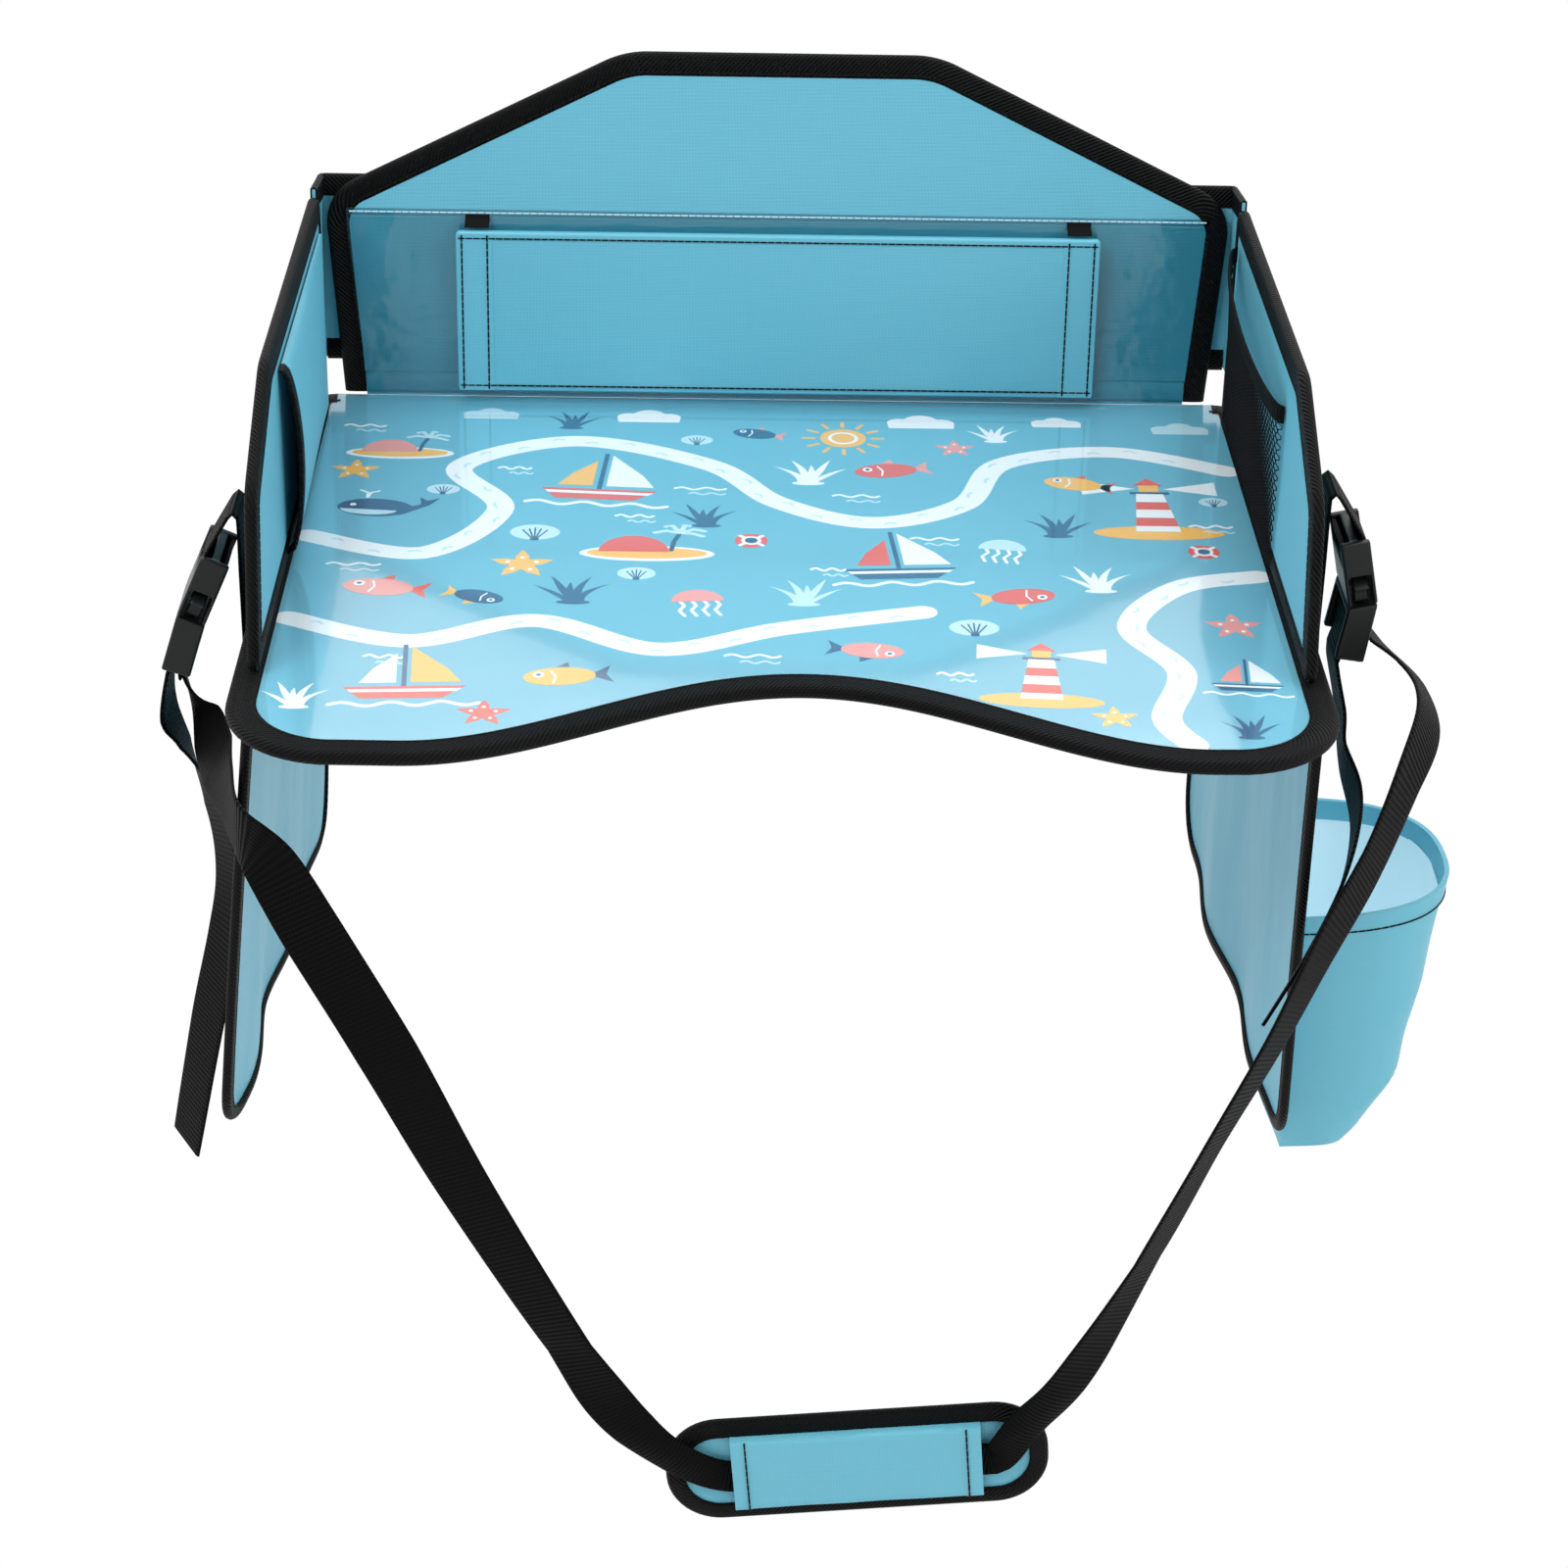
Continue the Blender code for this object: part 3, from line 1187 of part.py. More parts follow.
def pad_cushion():
    """The foam behind the backing: a crowned cage, drawn in at its ends and corners."""
    length = PAD_LENGTH / 2 - PAD_BINDING_WIDTH - SEAM_GAP
    height = PAD_HEIGHT / 2 - PAD_BINDING_WIDTH - SEAM_GAP
    mesh = bpy.data.meshes.new("pad_cushion")
    bm = bmesh.new()
    bmesh.ops.create_grid(bm, x_segments=6, y_segments=2, size=1)
    made = bmesh.ops.extrude_face_region(bm, geom=bm.faces[:])
    tops = {v for v in made["geom"] if isinstance(v, bmesh.types.BMVert)}
    base = -PAD_CORE / 2 - SEAM_GAP
    for v in bm.verts:
        x, y = v.co.x, v.co.y
        crown = PAD_CROWN * (1 - CROWN_FALL_SHARE * x ** 4) * (1 - CROWN_EDGE_SHARE * y * y)
        draw_in = 1 - CROWN_DRAW_SHARE * x * x
        depth = base - crown if v in tops else base
        v.co = (x * length, y * height * draw_in, depth)
    bmesh.ops.recalc_face_normals(bm, faces=bm.faces)
    bm.to_mesh(mesh)
    bm.free()
    obj = bpy.data.objects.new("pad_cushion", mesh)
    smooth = obj.modifiers.new("crown", "SUBSURF")
    smooth.levels = 2
    smooth.render_levels = 2
    return turn_out(solid_mesh(obj))


def pad_sleeve():
    """The band that holds the strap on the pad: open at both ends, its edges turned to the backing."""
    half = PAD_HEIGHT / 2 - PAD_BINDING_WIDTH - SEAM_GAP
    foot = PAD_CORE / 2 + SEAM_GAP
    inner = PAD_LIP + 2 * SEAM_GAP + WEBBING_THICKNESS + SLEEVE_ROOM
    outer = inner + SLEEVE_WALL
    cheek = half - SLEEVE_WALL
    section = [(-half, foot), (-cheek, foot), (-cheek, inner), (cheek, inner),
               (cheek, foot), (half, foot), (half, outer), (-half, outer)]
    band = sheet("pad_sleeve", [Vector(p) for p in section], SLEEVE_LENGTH)
    return laid(band, SIDEWAYS)


def build_harness():
    for name, side in (("left", -1), ("right", 1)):
        frame = buckle_place(side)
        empty = axis_empty(name + "_buckle_place", frame.to_translation(), frame.to_euler())
        build_socket(name, empty)
        build_clip(name, side, empty)
        build_prong(name + "_prong_front", -1, empty)
        build_prong(name + "_prong_rear", 1, empty)
        build_anchor(name, side, frame)
        build_strap(name, side, frame)
    build_pad()


build_tray()
build_back()
for side_name, side_sign in (("left", -1), ("right", 1)):
    build_side(side_name, side_sign)
    flap_hinge = build_flap(side_name, side_sign)
build_cup(flap_hinge)
build_harness()
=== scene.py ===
"""Looks of a travel tray for a child's car seat: cloth, tape, webbing, clear film, printed sheet and buckles.

Metres, in the frame of the solids: +Z up, +Y towards the back panel, +X towards the side with the cup pouch.
"""
from math import asin, ceil, cos, pi, radians, sin, sqrt, tan

import bmesh
import bpy
from bpy.props import FloatProperty, FloatVectorProperty, PointerProperty
from mathutils import Matrix, Vector, noise


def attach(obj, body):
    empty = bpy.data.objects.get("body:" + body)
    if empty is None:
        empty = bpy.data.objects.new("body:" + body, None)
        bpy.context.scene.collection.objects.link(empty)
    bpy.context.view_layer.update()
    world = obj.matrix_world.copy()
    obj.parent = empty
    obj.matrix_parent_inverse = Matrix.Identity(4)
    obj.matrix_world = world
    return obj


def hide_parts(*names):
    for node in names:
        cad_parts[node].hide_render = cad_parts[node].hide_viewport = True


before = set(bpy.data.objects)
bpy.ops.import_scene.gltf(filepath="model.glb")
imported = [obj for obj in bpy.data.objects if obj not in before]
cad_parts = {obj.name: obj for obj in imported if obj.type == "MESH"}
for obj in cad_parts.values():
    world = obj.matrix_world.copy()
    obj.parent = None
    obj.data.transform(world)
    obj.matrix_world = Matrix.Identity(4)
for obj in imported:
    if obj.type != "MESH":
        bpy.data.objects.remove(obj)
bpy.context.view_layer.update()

bl_info = {
    "name": "Car seat tray table",
    "version": (1, 0, 0),
    "blender": (4, 5, 0),
    "location": "View3D > Sidebar > Tray",
    "description": "Dresses the solids of a car seat tray table with cloth, tape, film, stitches and buckles",
    "category": "Object",
}

# Sizes of the solids that the looks follow. Only the pad's tape is narrower here than in the solids
TRAY_WIDTH = 0.432
TRAY_DEPTH = 0.356
TRAY_FRONT_RADIUS = 0.045
TRAY_BACK_RADIUS = 0.014
BELLY_CUT_DEPTH = 0.060
BELLY_LOBE_REACH = 0.155
BELLY_OFFSET = 0.008
TRAY_TAPE_WIDTH = 0.0120
TRAY_TAPE_HALF = 0.0031
TRAY_MIDDLE = 0.0032
PRINT_HEIGHT = 0.0050
FILM_HEIGHT = 0.0057
SHEET = 0.0004
REAR_SEAM = 0.0018
SEAM_GAP = 0.0003
TAPE_WIDTH = 0.0100
TAPE_WALL = 0.0012
TAPE_OVERLAP = 0.0008
BACK_EDGE = TRAY_DEPTH / 2
HINGE_HEIGHT = 0.0065
BACK_LEAN = radians(8)
BACK_WIDTH = 0.4126
BACK_HEIGHT = 0.158
BACK_SHOULDER_HEIGHT = 0.092
BACK_CREST_WIDTH = 0.140
BACK_BOARD = 0.0030
SIDE_BOARD = 0.0020
SIDE_HINGE = 0.205
SIDE_STACK = 0.005
PANEL_SPAN = 0.420
WRAP_THICKNESS = 0.0014
WRAP_HEIGHT = 0.100
WRAP_FOOT = 0.014
WRAP_REACH = 0.044
WRAP_RADIUS = 0.0135
SIDE_REAR_INSET = 0.012
SIDE_HEIGHT = 0.100
SIDE_FRONT_HEIGHT = 0.0695
SIDE_FRONT_TOP = -0.096
SIDE_FRONT_FOOT = -0.115
NET_TOP = 0.0865
NET_FRONT_TOP = 0.077
NET_FOOT = 0.005
NET_FRONT = -0.012
NET_REAR = 0.150
NET_BOW = 0.009
NET_WIRE = 0.0016
NET_BAND = 0.008
SIDE_CREST = -0.035
CLOTH_POCKET_BOW = 0.0065
FOOT_DRAW = 0.008
HOLDER_WIDTH = 0.292
HOLDER_HEIGHT = 0.075
HOLDER_PIVOT = Vector((0, 0.174328, 0.01055))
HOLDER_LEAN = 0.0058
HOLDER_SWING = asin(HOLDER_LEAN / HOLDER_HEIGHT)
HOLDER_DEPTH = 0.0040
FLAP_FRONT = 0.0305 - TRAY_DEPTH / 2
FLAP_REAR = BACK_EDGE - 0.006
FLAP_FRONT_HEIGHT = 0.208
FLAP_REAR_HEIGHT = 0.218
FLAP_SLANT = 0.026
FLAP_RADIUS = 0.030
FLAP_HINGE = 0.2045
FLAP_STACK = 0.004
FLAP_CLOTH = 0.0012
FLAP_TAPE_WIDTH = 0.0060
FLAP_FOLD = 0.0032
FLAP_FOLD_LENGTH = 0.115
MAIN_FOLD_SHARE = 0.6
FLAPS = {-1: (radians(6.5), 0.011), 1: (radians(2), 0.007)}
CUP_WIDTH = 0.104
CUP_REACH = 0.0705
CUP_DROP = 0.101
CUP_HEIGHT = 0.120
CUP_CENTRE = 0.0585
CUP_CLEARANCE = 0.0008
CUP_HEM_HEIGHT = 0.009
WEBBING_WIDTH = 0.025
WEBBING_THICKNESS = 0.0015
BUCKLE_PLACE = 0.0520
BAR_PLACES = {-1: (0.2277, 0.0307), 1: (0.2286, 0.0451)}
SOCKET_LEANS = {-1: radians(23.5), 1: radians(12)}
CLIP_BENDS = {-1: radians(6), 1: radians(20)}
BAR_THICKNESS = 0.0040
BAR_DEPTH = 0.0060
BAR_RADIUS = sqrt(BAR_THICKNESS ** 2 + BAR_DEPTH ** 2) / 2
SOCKET_END = 0.0250
CLIP_END = 0.0500
CLIP_THICKNESS = 0.0120
CLIP_BAR_DROP = 0.0342
CLIP_BAR_THICKNESS = 0.0030
ANCHOR_GAP = 0.0006
ANCHOR_TAIL = 0.012
ANCHOR_RISE = 0.022
ANCHOR_FOLD = 0.0020
ANCHOR_END = 0.0020
PAD_LENGTH = 0.160
PAD_HEIGHT = 0.051
PAD_CORE = 0.0020
PAD_TAPE_WIDTH = 0.0072
PAD_ACROSS = 0.036
PAD_DROP = 0.3205
PAD_FORWARD = 0.1865
PAD_TILT = radians(5)
PAD_END_SHARE = 0.45
SLEEVE_LENGTH = 0.104
STRAP_LAYER = 0.00355
STRAP_FORWARD = PAD_FORWARD + STRAP_LAYER
STRAP_LEAD = 0.007

UPRIGHT = Matrix.Rotation(pi / 2, 4, "X")
SIDEWAYS = Matrix(((0, 0, 1, 0), (1, 0, 0, 0), (0, 1, 0, 0), (0, 0, 0, 1)))
BACK_FRAME = Matrix.Translation((0, BACK_EDGE, HINGE_HEIGHT)) @ Matrix.Rotation(-BACK_LEAN, 4, "X")
HOLDER_FRAME = Matrix.Translation(HOLDER_PIVOT) @ Matrix.Rotation(HOLDER_SWING - BACK_LEAN, 4, "X")
BODY_OF_SIDE = {-1: "left", 1: "right"}


def srgb(red, green, blue):
    """A screen colour from 0 to 255 as the linear colour that a shader takes."""
    def linear(level):
        share = level / 255
        return share / 12.92 if share <= 0.04045 else ((share + 0.055) / 1.055) ** 2.4
    return linear(red), linear(green), linear(blue)


def colour_property(name, description, default):
    return FloatVectorProperty(name=name, description=description, default=default, subtype="COLOR",
                               min=0, max=1, size=3)


def length_property(name, description, default):
    return FloatProperty(name=name, description=description, default=default, subtype="DISTANCE",
                         unit="LENGTH", min=0.0001, precision=5)


class TrayColours(bpy.types.PropertyGroup):
    """Colours of the tray's cloth, tape, print and buckles."""

    cloth: colour_property("Cloth", "Cloth of the panels, flaps, cup pouch and pad", srgb(110, 191, 212))
    # Painted light: the inside of the cup pouch is paler than the outer cloth to paint the light that comes
    # through the thin pouch
    lining: colour_property("Pouch lining", "Paler inside of the cup pouch", srgb(214, 238, 246))
    tape: colour_property("Tape", "Binding tape, webbing and elastic", srgb(8, 8, 8))
    plastic: colour_property("Plastic", "Moulded buckles", srgb(20, 22, 21))
    # Partly the film's own tint and partly painted shade: it darkens the cloth seen through the pocket as the
    # shade there does
    film: colour_property("Pocket film", "Tint of the clear pocket on the back panel", (0.25, 0.47, 0.52))
    ground: colour_property("Ground", "Ground of the printed sheet", srgb(100, 176, 200))
    white: colour_property("White", "White ink", srgb(240, 247, 250))
    pale: colour_property("Pale", "Pale blue ink", srgb(190, 226, 238))
    navy: colour_property("Navy", "Navy ink", srgb(22, 84, 124))
    coral: colour_property("Coral", "Coral ink", srgb(219, 88, 78))
    rose: colour_property("Rose", "Rose ink", srgb(232, 152, 146))
    mustard: colour_property("Mustard", "Mustard ink", srgb(243, 186, 88))


class TraySizes(bpy.types.PropertyGroup):
    """Sizes of the sewing and of the net."""

    stitch_pitch: length_property("Stitch pitch", "From one stitch to the next", 0.0034)
    stitch_length: length_property("Stitch length", "Length of thread that shows", 0.0030)
    thread: length_property("Thread", "Radius of the sewing thread", 0.00038)
    net_cell: length_property("Net cell", "Width of one cell of the pocket's net", 0.0034)
    net_thread: length_property("Net thread", "Radius of the net's thread", 0.00028)
    weave_pitch: length_property("Weave pitch", "From one thread of the cloth to the next", 0.0013)
    twill_pitch: length_property("Twill pitch", "From one rib of the tape to the next", 0.0021)


# Materials


def new_group(name, inputs, outputs):
    """An empty shader node group with its named sockets, and its input and output nodes."""
    group = bpy.data.node_groups.new(name, "ShaderNodeTree")
    for label in inputs:
        group.interface.new_socket(label, in_out="INPUT", socket_type="NodeSocketFloat")
    for label in outputs:
        group.interface.new_socket(label, in_out="OUTPUT", socket_type="NodeSocketFloat")
    return group, group.nodes.new("NodeGroupInput"), group.nodes.new("NodeGroupOutput")


def maths(tree, operation, first, second=None, third=None):
    """A Math node with its inputs set or linked, and its result."""
    node = tree.nodes.new("ShaderNodeMath")
    node.operation = operation
    for socket, value in zip(node.inputs, (first, second, third)):
        if value is None:
            continue
        if isinstance(value, (int, float)):
            socket.default_value = value
        else:
            tree.links.new(value, socket)
    return node.outputs[0]


def noise_output(tree, vector, scale, detail):
    node = tree.nodes.new("ShaderNodeTexNoise")
    node.inputs["Scale"].default_value = scale
    node.inputs["Detail"].default_value = detail
    tree.links.new(vector, node.inputs["Vector"])
    return node.outputs["Fac"]


def cloth_weave_group():
    """A plain weave read from the object's own coordinates, with slow puckers over it."""
    group, start, end = new_group("cloth_weave", ("Pitch", "Pucker"), ("Height", "Shade"))
    place = group.nodes.new("ShaderNodeTexCoord").outputs["Object"]
    split = group.nodes.new("ShaderNodeSeparateXYZ")
    group.links.new(place, split.inputs[0])
    turn = maths(group, "DIVIDE", 2 * pi, start.outputs["Pitch"])
    x, y, z = split.outputs
    upright = maths(group, "ADD", y, z)
    diagonals = (maths(group, "ADD", x, upright), maths(group, "SUBTRACT", x, upright),
                 maths(group, "SUBTRACT", y, z))
    first, second, third = (maths(group, "SINE", maths(group, "MULTIPLY", axis, turn)) for axis in diagonals)
    weave = maths(group, "MULTIPLY_ADD", third, 0.4, maths(group, "MULTIPLY", first, second))
    slow = maths(group, "MULTIPLY", noise_output(group, place, 16, 2), start.outputs["Pucker"])
    height = maths(group, "MULTIPLY_ADD", weave, 0.045, slow)
    group.links.new(height, end.inputs["Height"])
    group.links.new(maths(group, "MULTIPLY_ADD", weave, 0.16, 0.5), end.inputs["Shade"])
    return group


def tape_twill_group():
    """Slanting ribs along a tape or webbing, read from its own map in metres."""
    group, start, end = new_group("tape_twill", ("Pitch", "Slant"), ("Height", "Shade"))
    split = group.nodes.new("ShaderNodeSeparateXYZ")
    group.links.new(group.nodes.new("ShaderNodeTexCoord").outputs["UV"], split.inputs[0])
    along, across = split.outputs[0], split.outputs[1]
    slanted = maths(group, "MULTIPLY_ADD", across, start.outputs["Slant"], along)
    turn = maths(group, "DIVIDE", 2 * pi, start.outputs["Pitch"])
    rib = maths(group, "SINE", maths(group, "MULTIPLY", slanted, turn))
    fine = maths(group, "SINE", maths(group, "MULTIPLY", across, maths(group, "MULTIPLY", turn, 2.0)))
    height = maths(group, "MULTIPLY_ADD", fine, 0.25, rib)
    group.links.new(height, end.inputs["Height"])
    group.links.new(maths(group, "MULTIPLY_ADD", rib, 0.5, 0.5), end.inputs["Shade"])
    return group


def film_wrinkle_group():
    """Long soft wrinkles and a few short ones, as in a sewn clear film."""
    group, start, end = new_group("film_wrinkle", ("Scale", "Short"), ("Height",))
    place = group.nodes.new("ShaderNodeTexCoord").outputs["Object"]
    long_wave = group.nodes.new("ShaderNodeTexNoise")
    short_wave = group.nodes.new("ShaderNodeTexNoise")
    for node, detail in ((long_wave, 0), (short_wave, 1)):
        group.links.new(place, node.inputs["Vector"])
        node.inputs["Detail"].default_value = detail
    long_wave.inputs["Distortion"].default_value = 0.8
    group.links.new(start.outputs["Scale"], long_wave.inputs["Scale"])
    group.links.new(maths(group, "MULTIPLY", start.outputs["Scale"], 5.0), short_wave.inputs["Scale"])
    height = maths(group, "MULTIPLY_ADD", short_wave.outputs["Fac"], start.outputs["Short"],
                   long_wave.outputs["Fac"])
    group.links.new(height, end.inputs["Height"])
    return group


def shader_of(material):
    return material.node_tree.nodes["Principled BSDF"]


def plain_material(name, colour, roughness, specular=0.5):
    material = bpy.data.materials.new(name)
    material.use_nodes = True
    shader = shader_of(material)
    shader.inputs["Base Color"].default_value = (*colour, 1)
    shader.inputs["Roughness"].default_value = roughness
    shader.inputs["Specular IOR Level"].default_value = specular
    material.diffuse_color = (*colour, 1)
    return material


def add_group(material, group, **values):
    node = material.node_tree.nodes.new("ShaderNodeGroup")
    node.node_tree = group
    for label, value in values.items():
        node.inputs[label].default_value = value
    return node


def add_bump(material, height, distance, strength=1.0):
    tree = material.node_tree
    bump = tree.nodes.new("ShaderNodeBump")
    bump.inputs["Distance"].default_value = distance
    bump.inputs["Strength"].default_value = strength
    tree.links.new(height, bump.inputs["Height"])
    tree.links.new(bump.outputs["Normal"], shader_of(material).inputs["Normal"])


def add_shade(material, shade, colour, dark_share):
    """The base colour runs from a darker share of itself in the gaps to the colour on the ribs."""
    tree = material.node_tree
    mix = tree.nodes.new("ShaderNodeMix")
    mix.data_type = "RGBA"
    dark = [channel * dark_share for channel in colour]
    mix.inputs["A"].default_value = (*dark, 1)
    mix.inputs["B"].default_value = (*colour, 1)
    tree.links.new(shade, mix.inputs["Factor"])
    tree.links.new(mix.outputs["Result"], shader_of(material).inputs["Base Color"])


def cloth_material(name, colour, group, pitch, roughness=0.50, pucker=0.5):
    material = plain_material(name, colour, roughness, 0.45)
    weave = add_group(material, group, Pitch=pitch, Pucker=pucker)
    add_shade(material, weave.outputs["Shade"], colour, 0.89)
    add_bump(material, weave.outputs["Height"], 0.0012, 0.8)
    return material


def lining_material(name, colour, group, pitch):
    """Pale cloth with a faint glow of its own: the pale colour and the glow both paint the light that comes
    through the thin pouch.
    """
    material = cloth_material(name, colour, group, pitch, 0.46, 1.0)
    shader = shader_of(material)
    shader.inputs["Emission Color"].default_value = (*colour, 1)
    shader.inputs["Emission Strength"].default_value = LINING_GLOW
    return material


def tape_material(name, colour, group, pitch, slant, roughness=0.52, depth=0.00040, specular=0.12):
    material = plain_material(name, colour, roughness, specular)
    twill = add_group(material, group, Pitch=pitch, Slant=slant)
    add_shade(material, twill.outputs["Shade"], colour, 0.45)
    add_bump(material, twill.outputs["Height"], depth)
    return material


def film_material(name, colour, group, roughness, scale, depth):
    """Clear film: it lets straight light through, and reflects the studio in soft wrinkles. Its colour tints
    only what is seen through it, not the light that passes.
    """
    material = plain_material(name, colour, roughness, 0.32)
    tree = material.node_tree
    shader = shader_of(material)
    shader.inputs["Transmission Weight"].default_value = 1
    shader.inputs["IOR"].default_value = 1.48
    wrinkle = add_group(material, group, Scale=scale, Short=SHORT_WRINKLE_SHARE)
    add_bump(material, wrinkle.outputs["Height"], depth)
    clear = tree.nodes.new("ShaderNodeBsdfTransparent")
    mix = tree.nodes.new("ShaderNodeMixShader")
    path = tree.nodes.new("ShaderNodeLightPath")
    output = tree.nodes["Material Output"]
    through = maths(tree, "MAXIMUM", path.outputs["Is Shadow Ray"], path.outputs["Is Diffuse Ray"])
    tree.links.new(through, mix.inputs[0])
    tree.links.new(shader.outputs[0], mix.inputs[1])
    tree.links.new(clear.outputs[0], mix.inputs[2])
    tree.links.new(mix.outputs[0], output.inputs["Surface"])
    return material


# Strength of the painted glow inside the cup pouch, for the light that comes through its thin cloth
LINING_GLOW = 0.22
SHORT_WRINKLE_SHARE = 0.15
MATERIALS = {}


def make_materials(colours, sizes):
    """Every finish of the tray, by name."""
    weave, twill, wrinkle = cloth_weave_group(), tape_twill_group(), film_wrinkle_group()
    pitch = sizes.weave_pitch
    tape = tuple(colours.tape)
    MATERIALS.update({
        "cloth": cloth_material("cloth_blue", tuple(colours.cloth), weave, pitch),
        "soft_cloth": cloth_material("cloth_blue_soft", tuple(colours.cloth), weave, pitch, 0.46, 1.0),
        # Inside of the cup pouch: paler cloth with a glow, as painted light for the light through the pouch
        "lining": lining_material("cloth_lining", tuple(colours.lining), weave, pitch),
        "tape": tape_material("tape_black", tape, twill, sizes.twill_pitch, 1.0),
        "webbing": tape_material("webbing_black", tape, twill, sizes.twill_pitch, 0.0, 0.55, 0.00030, 0.06),
        "elastic": tape_material("elastic_black", tape, twill, sizes.twill_pitch, 0.0, 0.75),
        "net": plain_material("net_black", tape, 0.70, 0.15),
        "thread": plain_material("thread_black", tape, 0.60, 0.15),
        "pale_thread": plain_material("thread_pale", tuple(colours.pale), 0.60),
        "plastic": plain_material("buckle_plastic", tuple(colours.plastic), 0.34, 0.30),
        "board": plain_material("board_grey", srgb(170, 170, 166), 0.70),
        "ground": plain_material("print_ground", tuple(colours.ground), 0.60),
        "film": film_material("film_clear", (1, 1, 1), wrinkle, 0.07, 5.0, 0.0006),
        # The pocket film's colour is partly its own tint and partly painted shade over the cloth under it
        "pocket_film": film_material("pocket_film_clear", tuple(colours.film), wrinkle, 0.08, 22.0, 0.0014),
    })
    for ink in INKS:
        MATERIALS[ink] = plain_material("ink_" + ink, tuple(getattr(colours, ink)), 0.60)


INKS = ("white", "pale", "navy", "coral", "rose", "mustard")


# Meshes

# Solids come as loose triangles. A skin's own doubled points are nearer still
MERGE_REACH = 1e-5
SKIN_MERGE_REACH = 1e-6
STITCH_INSET = 0.0010


def finish_mesh(bm, name, materials, sharp=40):
    """A mesh object in the scene: smooth up to the sharp angle, in degrees, with its materials."""
    mesh = bpy.data.meshes.new(name)
    bm.to_mesh(mesh)
    bm.free()
    for face in mesh.polygons:
        face.use_smooth = True
    mesh.set_sharp_from_angle(angle=radians(sharp))
    for material in materials:
        mesh.materials.append(MATERIALS[material])
    obj = bpy.data.objects.new(name, mesh)
    bpy.context.scene.collection.objects.link(obj)
    return obj


def assign(obj, body, slot, *nodes):
    """The piece rides on its body and stands for its solids. The slot is not used."""
    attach(obj, body)
    if nodes:
        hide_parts(*nodes)
    return obj


def paint(nodes, material):
    """A solid whose shape is right keeps it and gets a finish."""
    for name in nodes:
        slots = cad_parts[name].data.materials
        slots.clear()
        slots.append(MATERIALS[material])


def turn_out(bm):
    """Faces of a closed mesh point out, by the sign of its volume."""
    bmesh.ops.recalc_face_normals(bm, faces=bm.faces)
    if bm.calc_volume(signed=True) < 0:
        bmesh.ops.reverse_faces(bm, faces=bm.faces)


def merged_copy(node):
    """The mesh of a solid with its loose triangles joined."""
    bm = bmesh.new()
    bm.from_mesh(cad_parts[node].data)
    bmesh.ops.remove_doubles(bm, verts=bm.verts, dist=MERGE_REACH)
    return bm


def moved_corners(corners, margin):
    """The corners of an outline moved inwards by the margin, each with its radius shortened alike."""
    made = []
    count = len(corners)
    for i, (x, y, radius) in enumerate(corners):
        here = Vector((x, y))
        into = (here - Vector(corners[i - 1][:2])).normalized()
        out = (Vector(corners[(i + 1) % count][:2]) - here).normalized()
        normal = Vector((-into.y - out.y, into.x + out.x)).normalized()
        spot = here + normal * (margin / normal.dot(Vector((-into.y, into.x))))
        made.append((spot.x, spot.y, max(radius - margin, 0)))
    return made


def rounded(corners, steps, margin):
    """The outline through (x, y, radius) corners, anticlockwise, with as many points at every margin."""
    points = []
    corners = moved_corners(corners, margin)
    count = len(corners)
    for i, (x, y, radius) in enumerate(corners):
        here = Vector((x, y))
        before = (Vector(corners[i - 1][:2]) - here).normalized()
        after = (Vector(corners[(i + 1) % count][:2]) - here).normalized()
        if radius < MERGE_REACH:
            points += [here.copy() for _ in range(steps + 1)]
            continue
        half = before.angle(after) / 2
        centre = here + (before + after).normalized() * (radius / sin(half))
        start = here + before * (radius / tan(half)) - centre
        sweep = start.angle_signed(here + after * (radius / tan(half)) - centre)
        points += [centre + Matrix.Rotation(-sweep * k / steps, 2) @ start for k in range(steps + 1)]
    return points


def along_curve(outline, margin):
    """An outline moved inwards point by point, square to its edges."""
    moved = []
    count = len(outline)
    for i, point in enumerate(outline):
        into = (point - outline[i - 1]).normalized()
        out = (outline[(i + 1) % count] - point).normalized()
        normal = Vector((-into.y - out.y, into.x + out.x)).normalized()
        moved.append(point + normal * (margin / max(normal.dot(Vector((-into.y, into.x))), 0.5)))
    return moved


def divided(rings, spacing, closed):
    """Each ring with the same new points between its own, so that no step of the first is long."""
    first = rings[0]
    count = len(first)
    last = count if closed else count - 1
    steps = [max(1, ceil((first[(i + 1) % count] - first[i]).length / spacing)) for i in range(last)]
    made = []
    for ring in rings:
        points = []
        for i in range(last):
            ahead = ring[(i + 1) % count]
            points += [ring[i].lerp(ahead, k / steps[i]) for k in range(steps[i])]
        made.append(points if closed else points + [ring[-1]])
    return made


